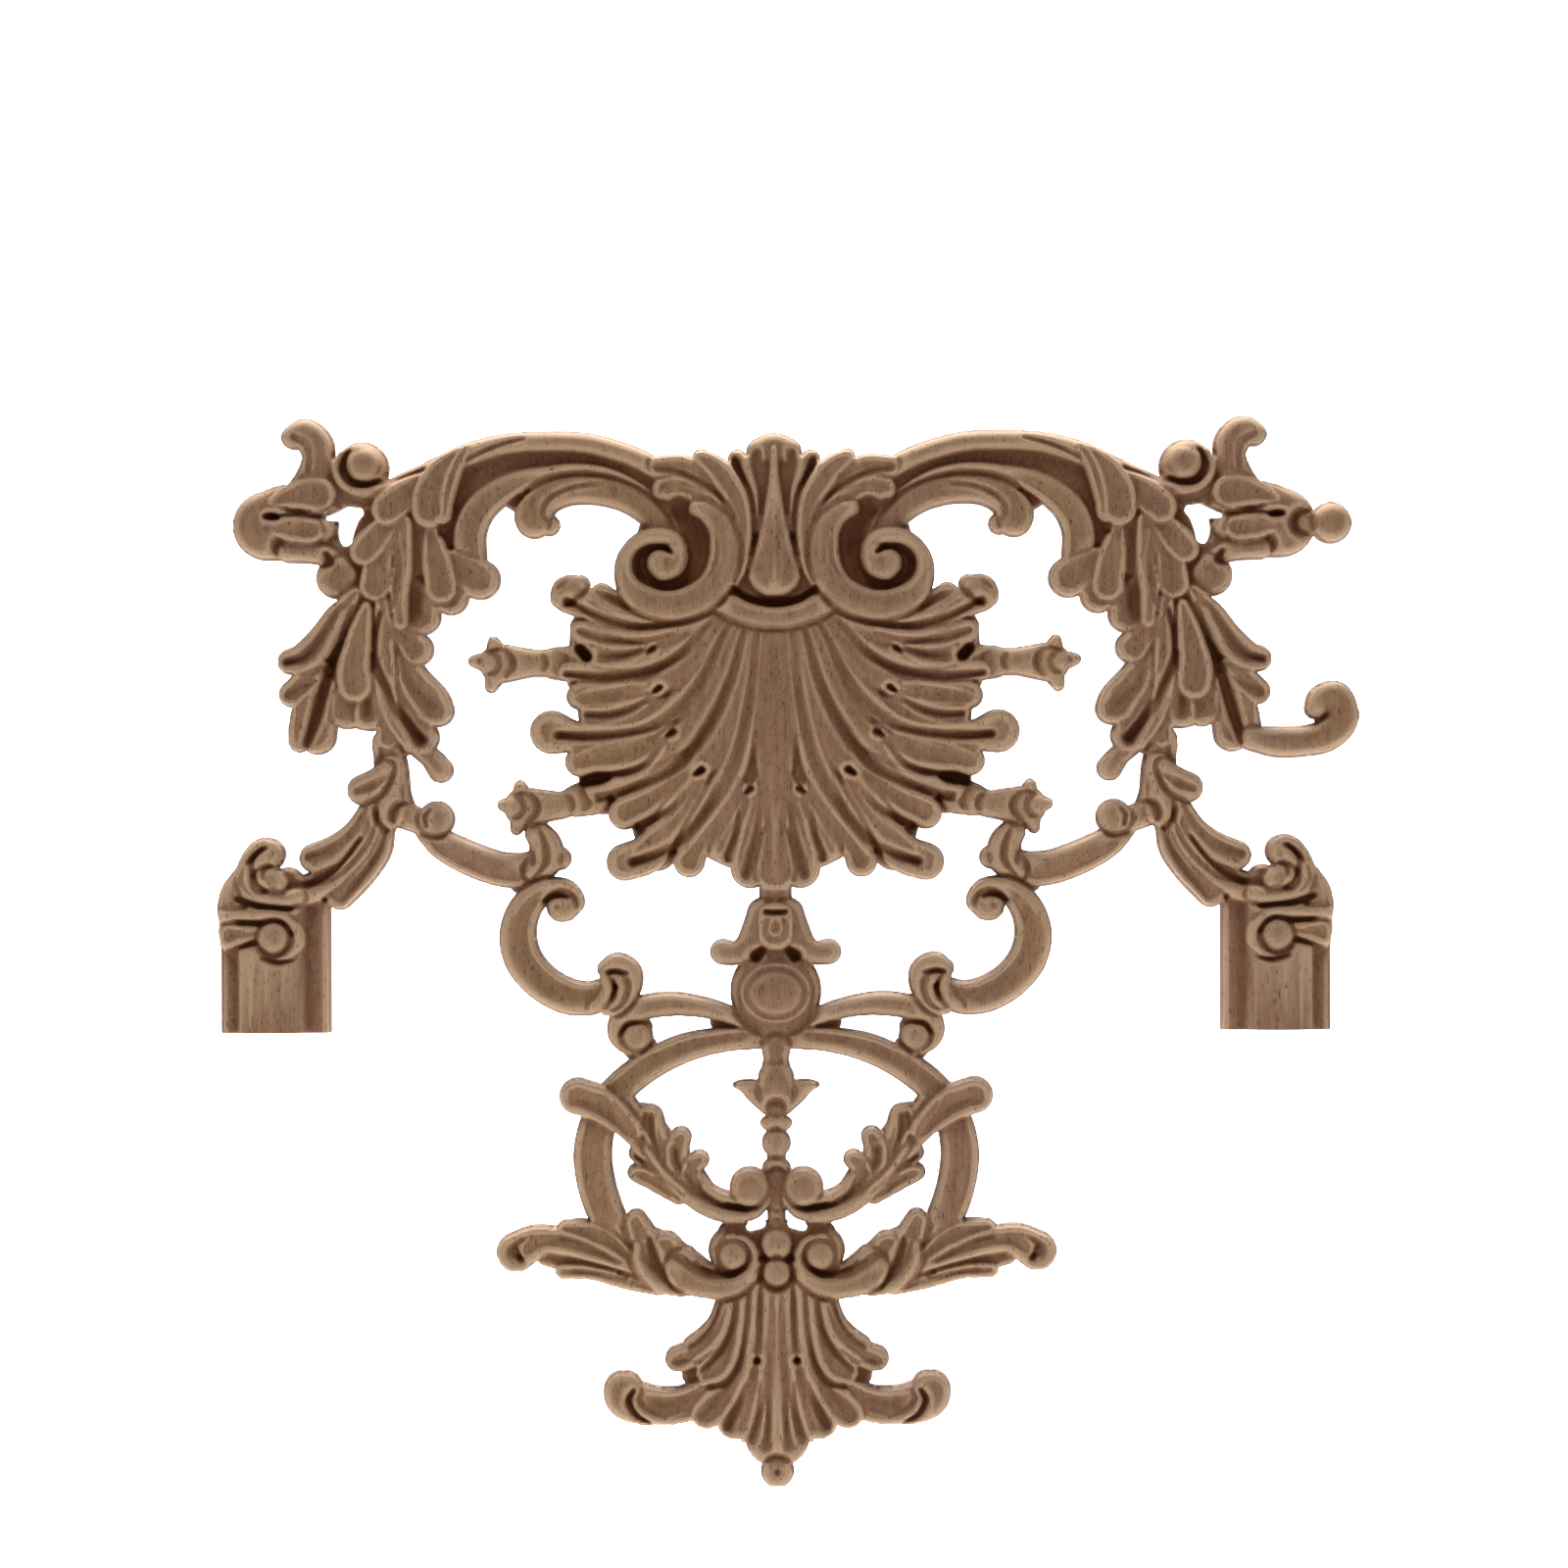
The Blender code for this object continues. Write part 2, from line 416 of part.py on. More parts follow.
def c_scroll(b):
    b.ground([(75, -42, 4.5), (79, -43, 2)], top=7)
    b.ground([(49.6, -74.2, 3)], top=7.5)
    b.scroll([(63.4, -52.0, 1.6), (60.8, -48, 2.2), (64.2, -43.9, 2.8), (71.2, -44.6, 3.8),
              (76.6, -49.6, 4.8), (79.0, -57.4, 5.5), (77.4, -65.4, 5.7), (72.2, -72.0, 5.6),
              (65.0, -76.4, 5.5), (58, -77.6, 5.1), (53.4, -76.4, 4.7)], top=13, edge=8.5, flip=True)
    b.bead(65.4, -49.3, 4.7, top=12.5, edge=8.5)
    b.gouge([(70.6, -47.6, 1.0), (67, -45.6, 1.1), (63.6, -46.4, 0.6)], 7, 12)
    # The rolled lower end
    b.rib([(52.0, -68.4, 2.6), (48.6, -66.8, 3.2), (44.8, -69.4, 3.6), (44.8, -74.4, 3.4),
           (48.4, -79.8, 2.6), (52, -81, 1.6)], top=13, edge=9)
    b.rib([(50, -70.6, 1.6), (47, -73, 1.8), (48, -77.6, 1.8), (51.4, -80, 1.4)], top=12.5, edge=9)
    b.rib([(52.6, -70.6, 1.2), (51.6, -73.6, 1.8), (53.2, -77.6, 2.4), (55.6, -79.6, 2)], top=14, edge=10)


def boss_and_husk(b):
    b.rib([(0, -42, 4.8), (0, -47, 4.8), (0, -51, 5.0)], top=10.5, edge=8)
    b.ground([(0, -60, 8), (0, -68, 10.4)], top=7)
    b.rib([(0, -75.5, 13.8)], top=10.5, edge=8)
    b.rib([(4, -51.6, 4.6), (5.4, -56, 4.6), (8.6, -61.6, 3.8), (12.4, -63.8, 3.4), (16.2, -63.4, 3.8)],
          top=12, edge=8.5)
    b.lobe([(0, -53.8, 5.6), (0, -57.2, 5.6)], top=13.5)
    b.lobe([(0, -53.6, 1.6), (0, -56.2, 2.6)], top=14)
    b.gouge([(3, -51.0, 0.9), (0, -51.3, 1.0)], 9, 12)
    b.gouge([(4.2, -62.8, 1.2), (6, -64.6, 2.0)], 4.5, 9)
    b.oval(0, -75.9, 11.2, 9.6, top=13.4, edge=9.5)
    b.oval(0, -75.9, 9.5, 7.9, top=10.6, edge=10.6)
    b.oval(0, -75.9, 8.7, 7.1, top=15.6, edge=10.8)


def boss_arms(b):
    b.ground([(8, -85.0, 2.6), (18, -85.0, 2.0)], top=7)
    b.ground([(43.4, -89.6, 5.6), (43.0, -93.8, 3)], top=8)
    b.ground([(38.4, -91.6, 1.6)], top=7)
    b.ground([(40.6, -86.4, 2.6)], top=8)
    b.rib([(42.6, -93.6, 1.4), (46.8, -91.8, 2.1), (49.2, -88.2, 2.3), (47.6, -83.6, 2.9),
           (41.4, -80.6, 3.6), (33, -79.3, 3.6), (25.4, -79.8, 3.2), (17.4, -81.6, 2.8),
           (10, -84.4, 2.2)], top=12, edge=8.5)
    b.bead(42.8, -89.2, 4.5, top=13, edge=9)
    b.gouge([(47.6, -88.4, 0.7), (45.4, -85.4, 1.0), (41, -84.6, 0.8)], 7, 11.5)


def oval_frame(b):
    b.scroll([(-6, -89.6, 3.4), (0, -89.5, 3.4), (15, -90.2, 3.6), (28, -92.9, 4.3), (39, -98.2, 4.6),
              (48, -105.2, 4.9), (53.8, -113.6, 5.3), (56.3, -124.4, 5.7), (55.0, -135.4, 5.7),
              (51.4, -145.4, 5.4), (46.4, -154, 4.4)], top=12, edge=8.5)


def hanging_bud(b):
    b.rib([(0, -92.5, 4.4), (0, -96, 3.8), (0, -99, 4.2)], top=9.5, edge=7.5)
    b.rib([(1.5, -109, 4.6), (6, -106.4, 3.4), (9.6, -104.6, 1.9), (12.4, -104.2, 0.8)], top=10, edge=7.5)
    b.rib([(0, -102.2, 5.4), (0, -107, 5.6), (0, -111.4, 3.4)], top=12, edge=8.5)
    b.rib([(0, -112, 2.8), (0, -148, 2.6)], top=9, edge=7.5)
    b.oval(0, -116.0, 4.6, 2.7, top=11, edge=8)
    b.bead(0, -122, 4.3, top=12, edge=8)
    b.oval(0, -129.8, 4.2, 3.2, top=11, edge=8)
    b.rib([(0, -133, 3.4), (0, -140, 3.0)], top=9.5, edge=7.5)


def upper_leaf_scroll(b):
    """The pair of leaves that rise from the middle and lap over the oval frame."""
    b.ground([(22, -139.6, 2.6), (30, -132, 4.6), (36, -123, 5.6), (41, -114.6, 4.8)], top=8)
    b.lobe([(35, -130, 2.2), (40, -126.8, 3.0), (42.6, -125.0, 2.6)], top=11)
    b.lobe([(30, -138.6, 2.2), (37, -134.0, 2.8), (43, -131.0, 2.6)], top=11)
    b.lobe([(38, -126, 2), (42, -118, 3.2), (44.4, -112.4, 3.2), (45.4, -110, 2.8)], top=12.5)
    b.lobe([(30, -137, 2.2), (34.6, -128, 3.6), (37.4, -119.6, 4.2), (38.6, -114, 3.9)], top=12.5)
    b.lobe([(26, -138.6, 2.2), (29.4, -131, 3.4), (30.4, -124, 3.6), (29.2, -120, 3.1)], top=12.5)
    b.lobe([(20.6, -139.4, 2.4), (25, -134.4, 3.2), (25.8, -129.4, 3.2), (23.6, -127, 2.9)], top=12)
    b.lobe([(34, -133, 1.2), (40, -123.6, 2.6), (46.6, -115.4, 4.0), (53.6, -109.8, 5.1),
            (60.8, -107.4, 5.5)], top=15)
    b.rib([(3.0, -133.4, 1.0), (2.9, -138, 1.2), (6, -143.0, 1.6), (13, -144.4, 2.0), (21, -142.2, 2.4),
           (29, -136.6, 2.2), (36, -129, 1.6), (41, -121, 1.0)], top=13, edge=9)
    b.rib([(8, -138, 2), (15, -138.8, 2.1), (20.4, -136.4, 2.0), (23.2, -131.6, 1.4)], top=12, edge=9)
    b.ground([(8, -140, 3.4), (16, -140.6, 2.4)], top=7)
    b.gouge([(15.4, -140.4, 0.6), (10, -141.8, 1.3), (5, -139.4, 0.9)], 7, 11.5)
    b.bead(8.2, -135.4, 6.0, top=15, edge=10)


def lower_leaf_scroll(b):
    """The pair of leaves and scrolls at the foot of the oval frame."""
    b.ground([(0, -149, 4), (8, -152, 3.6), (12.8, -146.5, 2.6)], top=8.5)
    b.ground([(14, -150, 4), (14, -158, 5), (17.4, -160, 3)], top=8.5)
    b.ground([(24, -163, 5.5), (32, -160, 8), (42, -155, 8), (50, -155, 5)], top=9.5)
    b.ground([(50, -159.4, 2.4), (62, -158.6, 3), (70.6, -156.6, 2.8)], top=9)
    b.rib([(0, -148, 3.0), (0, -152, 5.4)], top=9, edge=7.5)
    b.rib([(4, -158, 5), (0, -160, 5)], top=8, edge=7.5)
    b.lobe([(44, -158, 2), (52, -151.4, 3.4), (59, -148.8, 3.4), (64.4, -148.6, 3.0)], top=11.5)
    b.lobe([(36, -167, 1.6), (46, -164.4, 2.2), (57, -161.2, 2.4), (65.4, -161.0, 2.4)], top=11)
    b.lobe([(44, -160, 1.4), (54, -155.6, 3.0), (64, -152.4, 3.8), (73, -151.8, 4.8),
            (79.8, -155.2, 5.9)], top=12.5)
    b.rib([(43, -160.4, 1.0), (54, -157.6, 1.2), (64, -154.4, 1.3), (71, -153.8, 1.5),
           (75.6, -156.6, 1.6)], top=13, edge=11)
    b.gouge([(46, -161.2, 0.6), (58, -158.2, 1.0), (70, -156.0, 0.9)], 8.5, 12.4)
    b.gouge([(79.6, -153.6, 0.9), (78.4, -157.0, 1.3)], 8.5, 12.5)
    b.lobe([(36, -165, 2.4), (39.6, -157, 4.6), (40.6, -151, 4.2), (43, -145.2, 3.0)], top=12.5)
    b.rib([(29, -167.6, 1.4), (36.5, -165, 2.2), (42, -158.6, 2.6), (42.6, -153, 1.6)], top=13, edge=9.5)
    b.gouge([(39, -151.2, 1.3), (37, -158.4, 1.9), (32.0, -165.4, 1.0)], 8.6, 12.5)
    b.lobe([(27, -163, 4), (30.6, -157.4, 4.6), (33.6, -152.6, 3.6)], top=12)
    b.rib([(29.5, -158, 4), (28.0, -156.8, 3.4)], top=12, edge=9)
    # Rolled inner end
    b.bead(13.8, -154.8, 7.0, top=10.5, edge=8.5)
    b.rib([(14.6, -150.8, 0.9), (9.6, -151.6, 1.0), (6.4, -156.4, 1.4), (8, -162, 2.4),
           (14, -165.8, 3.2), (22, -165.6, 3.8), (28.6, -162.4, 4.6), (30.6, -159.6, 3.8)], top=14.5,
          edge=10)
    b.gouge([(23, -160.0, 0.6), (19, -161.4, 1.2), (14, -161.9, 1.4), (9.8, -159.6, 1.1)], 7.5, 13)
    b.bead(13.2, -156.0, 4.6, top=14.5, edge=10)
    b.gouge([(4.0, -157, 1.7)], 5, 9)
    b.bead(0, -152.8, 4.9, top=13.5, edge=9)
    b.bead(0, -161.6, 4.6, top=13.5, edge=9)
    b.pierce([(4.8, -146.9, 1.7), (8.0, -147.9, 1.6)])


def pendant_palmette(b):
    """The fluted leaf at the foot, with its curled side arms and end bead."""
    b.ground([(0, -172, 18), (0, -186, 18), (0, -198, 16), (0, -207, 11)], top=10)
    b.ground([(0, -172, 8), (0, -186, 9), (0, -198, 9), (0, -207, 8)], top=11.6)
    b.ground([(25.4, -193, 3.6)], top=8.5)
    b.lobe([(12, -190, 2.4), (20, -198, 5.0), (29, -202, 5.4), (37.4, -202.4, 5.8), (42.6, -201, 5.8)],
           top=12.5)
    b.rib([(36, -206.4, 1.6), (42, -205, 3.0), (47, -201.6, 4.6), (48, -197.4, 5.0), (46, -196.4, 4.4)],
          top=13, edge=9.5)
    b.gouge([(43.9, -197.2, 0.8), (45.4, -200.6, 1.2), (43.2, -204.8, 1.2), (38.8, -207.2, 0.8)], 8, 12.5)
    b.lobe([(15.6, -166, 1.8), (18.2, -176, 2.4), (22, -181, 2.7), (26.4, -183.6, 2.2)], top=11.6, dip=0.8)
    b.lobe([(13.0, -166, 1.8), (16.4, -177.6, 2.8), (22, -184.8, 3.6), (30.2, -188, 3.9)], top=12.4,
           dip=1.0)
    b.lobe([(10.4, -166, 1.6), (13.0, -179, 2.8), (16.8, -187, 3.4), (21.4, -191.6, 3.4)], top=12.8,
           dip=1.0)
    b.lobe([(8, -167, 1.8), (9.8, -182, 3.2), (14.6, -195, 4.3), (21.6, -204.4, 4.9)], top=13.2, dip=1.2)
    b.lobe([(5.6, -178, 1.8), (7.6, -194, 3.6), (13.2, -207.6, 5.0)], top=13, dip=1.2)
    b.lobe([(0, -192, 4), (0, -206, 7.8), (0, -211.4, 9.8)], top=12.6, dip=1.0)
    for path in (
        [(13.4, -163, 1.4), (14.4, -174, 1.8), (17.3, -181, 1.8), (23, -186.6, 1.4), (29, -190.2, 0.8)],
        [(9.6, -163, 1.6), (10.8, -178, 2.0), (13.0, -187.4, 1.9), (17.4, -192.8, 1.5),
         (22.6, -194.8, 0.8)],
        [(6.4, -163, 1.8), (7.6, -180, 2.4), (9.2, -191, 1.8), (12.4, -199, 1.6), (18.4, -207, 0.8)],
        [(2.9, -163, 1.6), (3.2, -180, 2.2), (4.4, -192, 1.9), (6.0, -201, 1.6), (10.2, -213, 0.8)],
    ):
        b.swell(path, top=(13.2, 13.8, 13.6, 13.2), edge=11)
    b.swell([(0, -163, 1.6), (0, -184, 1.9), (0, -204, 2.4), (0, -218, 2.2)], top=(13.4, 13.8, 14.2, 13),
            edge=11.4)
    for path, depth in (
        ([(4.9, -164, 0.9), (5.4, -176, 1.2), (5.6, -184, 1.0)], (1.4, 1.4, 0.6)),
        ([(8.6, -164, 0.8), (9.2, -176, 1.0), (10.5, -184, 1.3), (12.2, -190.5, 1.5), (15.4, -194.8, 1.5),
          (20.4, -196.2, 1.4)], (1.4, 1.6, 2.4, 3)),
        ([(12.4, -165, 0.9), (13.4, -175.6, 1.2), (15.6, -182.6, 1.4), (19.6, -187.8, 1.5),
          (23, -191, 1.3)], (1.4, 2, 2.4, 2)),
        ([(17.0, -168, 0.9), (18.4, -174.4, 1.2), (20.8, -179.4, 1.3), (24, -182.6, 1.3),
          (26.6, -184, 1.1)], (1, 2, 2.4, 3)),
        ([(19.6, -184.8, 0.9), (25, -188.2, 1.5), (32.4, -188.8, 1.4)], (0.8, 1.6, 1.2)),
        ([(9.6, -194.6, 1.0), (12.4, -202, 2.2), (15.4, -208.6, 2.6)], (1, 2.4, 3)),
        ([(13.4, -194.6, 1.2), (18.7, -200.4, 2.4), (23.0, -205.6, 2.6)], (0.8, 1.6, 1.4)),
        ([(5.2, -194.6, 1.0), (5.6, -203, 1.9), (7.2, -210, 2.6), (8.4, -213.4, 2.4)], (1, 2.4, 3)),
        ([(2.2, -199, 0.8), (2.6, -207, 1.3), (3.6, -214, 1.6)], (0.6, 1.6, 1.4)),
        ([(24.1, -197.4, 1.6), (30.5, -200.6, 2.8), (36.6, -201.6, 3.2)], (0.6, 1.4, 1.2)),
    ):
        b.crease(path, depth)
    b.ring(6.1, -188.2, 1.8)
    b.gouge([(6.1, -188.2, 1.25)], 5, 13)
    b.bead(0, -222.6, 4.9, top=12, edge=9)


def husk_finials(b):
    """Bell-shaped husks that stand out from the edge of the shell."""
    for root, neck, mouth, tips in (
        ((61, 25), (74, 25.4), (84.4, 25.2), ((86.2, 31.8), (92.2, 26), (87.0, 18.0))),
        ((56, -15.6), (66, -18.4), (77.0, -18.8), ((78.2, -12.4), (83.4, -18.2), (79.4, -25.6))),
    ):
        waist = (0.5 * (root[0] + neck[0]), 0.5 * (root[1] + neck[1]))
        b.rib([(*root, 5.6), (*waist, 4.8)], top=10.5, edge=8)
        b.rib([(*waist, 4.0), (*neck, 4.1)], top=10.5, edge=8)
        b.rib([(*neck, 4.0), (*mouth, 6.0)], top=11.5, edge=8)
        for tip in tips:
            b.rib([(*mouth, 4.4), (*tip, 1.7)], top=11, edge=8)
        b.bead(mouth[0] + 3, mouth[1], 3.2, top=12, edge=9)


def shell(b):
    """The scallop: broad ridges run out from behind the collar, and each one parts into lobes at an eye."""
    b.ground([(0, 10, 46), (0, 0, 40)], top=11)
    b.ground([(48, 30, 12), (46, 10, 14), (40, -8, 12), (30, -24, 8)], top=11.4)
    b.ground([(22, -20, 8), (10, -24, 9), (0, -26, 9)], top=12)
    b.ground([(57.6, 36, 5), (59, 26, 4), (60, 20, 3.6)], top=9)
    b.ground([(56, -10.4, 4), (52.6, -17, 4)], top=6.5)
    b.ground([(39.6, -24.0, 4.4), (36, -33, 5.4)], top=9)
    # The lobes, each of which comes out from under its ridge
    for path, top in (
        ([(30, 41, 1.0), (38, 41, 2.2), (48, 43.2, 3.4), (53, 46.4, 3.3)], 12.4),
        ([(24, 39.4, 1.4), (36, 37.8, 2.2), (48, 39, 3.5), (57, 43, 4.4), (62.8, 46.4, 5.7)], 13.4),
        ([(30, 34, 1.4), (40, 33, 2.6), (48, 32.8, 3.1), (58.6, 34.8, 3.5)], 12.8),
        ([(36, 29.6, 0.8), (44, 28, 2.8), (53.6, 27.8, 3.1)], 12.8),
        ([(32, 25.6, 1.2), (42, 23, 2.8), (54, 22.8, 2.8), (63, 22.6, 2.7)], 13),
        ([(30, 22.6, 1.0), (34, 18.8, 2.6), (42, 16.2, 3.6), (52, 15.2, 3.9), (59.8, 15, 3.9)], 13.2),
        ([(34, 13.4, 1.2), (40, 10.4, 2.7), (48, 8.8, 2.9), (57, 8.6, 3.0)], 12.8),
        ([(28, 14.6, 1.2), (33, 9.2, 2.4), (40, 5, 3.2), (50, 2.6, 3.5), (61, 2.8, 4.5),
          (68.4, 4.1, 6.5)], 13.4),
        ([(29, 4.6, 1.2), (36, -0.4, 3.5), (47, -3.4, 4.3), (59.8, -5, 4.4)], 13.2),
        ([(29, -1.6, 1.2), (34, -5.8, 2.7), (43, -10, 3.0), (55, -14, 2.7)], 12.8),
        ([(22, 0.6, 1.4), (28, -7.2, 3.4), (37, -14.8, 4.4), (46.2, -21, 4.7)], 13.2),
        ([(21, -8.4, 1.4), (26, -15.6, 2.8), (32.6, -24.6, 3.8), (39, -33, 5.6), (46, -35.8, 5.6)], 13.4),
        ([(13.4, -2, 1.4), (16.4, -10.6, 2.8), (20.4, -20, 3.7), (24.2, -28.6, 4.2),
          (26.4, -35.8, 4.6)], 13.2),
        ([(9.6, -12.4, 1.0), (12.0, -20, 2.6), (16, -31.4, 3.9)], 12.8),
        ([(5.0, -11, 1.2), (6.2, -19, 3.0), (7.4, -28, 4.2), (7.6, -37.8, 6.0)], 13),
    ):
        b.lobe(path, top=top, dip=0.3, fall=0.8)
    b.lobe([(0, -28, 4), (0, -38.6, 6.4)], top=12.4, dip=0.3)
    b.swell([(0, -8, 1.0), (0, -20, 2.0), (0, -32, 2.6), (0, -39, 3.6)], top=(13.6, 13.6, 13.2), edge=11)
    # The ridges, broad and smooth, up to the eyes
    for path in (
        [(19, 41.6, 2.0), (27, 39.6, 2.8), (38, 39.0, 2.8), (48, 40.6, 1.4)],
        [(17.6, 40, 2.0), (26, 36, 3.0), (36, 33.4, 2.8), (46, 33, 1.2)],
        [(16.4, 38.6, 2.0), (23, 33.4, 3.2), (32, 28.4, 3.2), (42, 25.4, 2.4), (52, 24.4, 1.0)],
        [(14.6, 37.4, 2.2), (20, 30.4, 3.6), (28, 23.0, 4.0), (36, 18.6, 3.0), (46, 16.8, 1.2)],
        [(12.6, 36.6, 2.2), (17.4, 28.4, 3.8), (24, 18.6, 4.4), (31, 11.4, 3.6), (39, 6.8, 2.2),
         (48, 4.6, 1.0)],
        [(10.2, 36, 2.2), (14.4, 26, 3.8), (20, 13.4, 4.7), (26.4, 4.2, 4.2), (34, -2.0, 2.6),
         (44, -6.6, 1.0)],
        [(7.4, 35.6, 2.2), (11, 24, 3.8), (15, 9, 4.8), (19.6, -1.6, 4.8), (26, -10.4, 3.2),
         (33, -20, 1.8), (37, -27, 1)],
        [(4.4, 35.2, 2.2), (7.2, 22, 3.8), (9.6, 8, 4.6), (12.8, -6, 4.6), (16.6, -17, 3.2),
         (20.6, -27, 1.2)],
        [(0, 35.2, 3.2), (0, 24, 4.8), (0, 8, 6.2), (0, -6, 5.8), (0, -16, 3.6), (0, -26, 1.0)],
    ):
        b.swell(path, top=(13.2, 14.4, 14.8, 14.4, 13.2), edge=12)
    # Rolled tips
    b.rib([(65.6, 45.2, 3.0), (60.8, 48.8, 3.1), (59.2, 49.4, 2.6)], top=12.6, edge=9.5)
    # The five long valleys, which deepen towards the edge and stop short of a rolled tip
    for path in (
        [(5.2, 34.6, 0.9), (5.9, 29.3, 1.5), (6.8, 20.5, 2.0), (8.2, 11.1, 2.4), (10.4, 0.5, 2.8),
         (13.9, -8.9, 3.0), (18.2, -16.4, 2.8), (23.3, -23.3, 2.8), (28.6, -29, 2.6),
         (34.9, -33, 2.6), (43.4, -35.8, 2.2)],
        [(9.2, 35.4, 0.9), (10.5, 30.6, 1.5), (13, 21.2, 2.1), (16.6, 12.4, 2.6), (21.1, 4.3, 3.0),
         (26.1, -2.6, 2.9), (31.7, -7.7, 2.5), (38.6, -11.4, 2.4), (46.1, -14, 2.2), (54.0, -15.7, 2.0)],
        [(13.8, 37, 0.9), (16.4, 32.1, 1.5), (20.8, 22.4, 2.3), (25.8, 14.9, 2.8), (31.1, 9.9, 2.8),
         (37, 6.1, 2.7),
         (43.9, 3.9, 2.4), (51.1, 3, 2.3), (58.7, 2.7, 2.3), (66, 3.1, 2.0)],
        [(19.5, 37.5, 1.2), (23.6, 33.1, 1.7), (28.6, 28.1, 2.1), (33.9, 24.8, 2.3), (39.9, 22.4, 2.2),
         (46.1, 21.2, 2.1), (52.4, 20.9, 2.0), (58.7, 21.2, 2.0), (64, 21.8, 1.8)],
        [(19.8, 40.6, 1.1), (24.8, 38.4, 1.5), (31.1, 37, 1.7), (37.4, 36.3, 1.8), (43.6, 36.5, 1.8),
         (49.9, 37.8, 1.9), (56.2, 40.3, 2.0), (63.4, 44, 1.9)],
    ):
        b.crease(path, depth=(1, 2.2, 2.6, 2.6, 3, 4.2))
    # Shorter ones between the lobes
    for path, depth in (
        ([(35.2, -0.1, 1.0), (39.2, -5.1, 1.6), (44.9, -8, 1.9), (50.5, -8.9, 2.0)], (1, 3, 4.5)),
        ([(27.3, -13.9, 1.0), (31.7, -18.9, 1.7), (37.4, -22.7, 2.0), (42.4, -24.6, 1.9)], (1, 3, 4)),
        ([(39.2, 14, 1.0), (44.3, 11.1, 1.5), (50.5, 9.3, 1.8), (57.4, 9.3, 1.6)], (1, 2.4, 2.4)),
        ([(31.1, 34, 1.1), (38.6, 32.1, 1.4), (46.1, 31.8, 1.5), (53.7, 32.5, 1.5),
          (59.9, 35, 1.4)], (1, 2, 1.4)),
        ([(40.5, 29, 1.0), (46.1, 27.3, 1.9), (52.4, 27.1, 1.9)], (0.8, 2, 1.6)),
        ([(26.1, 43.1, 1.0), (34.9, 41.1, 1.7), (43.6, 41.9, 2.1), (51.1, 45.6, 2.0)], (1, 2, 1.4)),
        ([(4.5, -17.7, 1.1), (5.4, -26.5, 1.9), (7.6, -34.6, 2.4), (8.8, -39.6, 2.2)], (1, 2.6, 3)),
        ([(10.7, -20.2, 1.0), (12, -27.1, 1.4), (14.8, -34.6, 1.8)], (1, 2.6, 3.2)),
        ([(15.4, -18.9, 1.2), (20.4, -27.1, 2.4), (25.5, -35.9, 2.8)], (0.6, 1.3, 1.2)),
        ([(40.6, 0.4, 1.6), (50, -3.6, 2.8), (58, -5.4, 2.6)], (0.4, 1.2, 0.8)),
        ([(30, -8.6, 1.4), (38, -16.4, 2.8), (45, -20.8, 2.6)], (0.4, 1.2, 0.8)),
        ([(42.4, 16.4, 1.6), (50, 15.2, 2.4), (58, 14.6, 2.2)], (0.4, 1.2, 0.8)),
    ):
        b.crease(path, depth)
    # Drilled eyes, then the deep cuts between the outer lobes
    for x, z, radius in ((35.4, 17.5, 1.1), (31.4, 3.8, 1.3), (22.8, -7.8, 1.5), (7.6, -13.6, 1.4),
        (37.2, 29.3, 0.8)):
        b.ring(x, z, radius + 0.7)
        b.gouge([(x + 1.0, z - 0.7, radius), (x - 1.0, z + 0.7, radius)], 6, 13.4)
    b.gouge([(58.6, -11.0, 2.0), (54, -10, 2.3), (51.0, -9.4, 1.4)], 1.8, 9)
    b.gouge([(59.6, 29.6, 1.6), (57.6, 27.2, 1.8)], 3, 9)


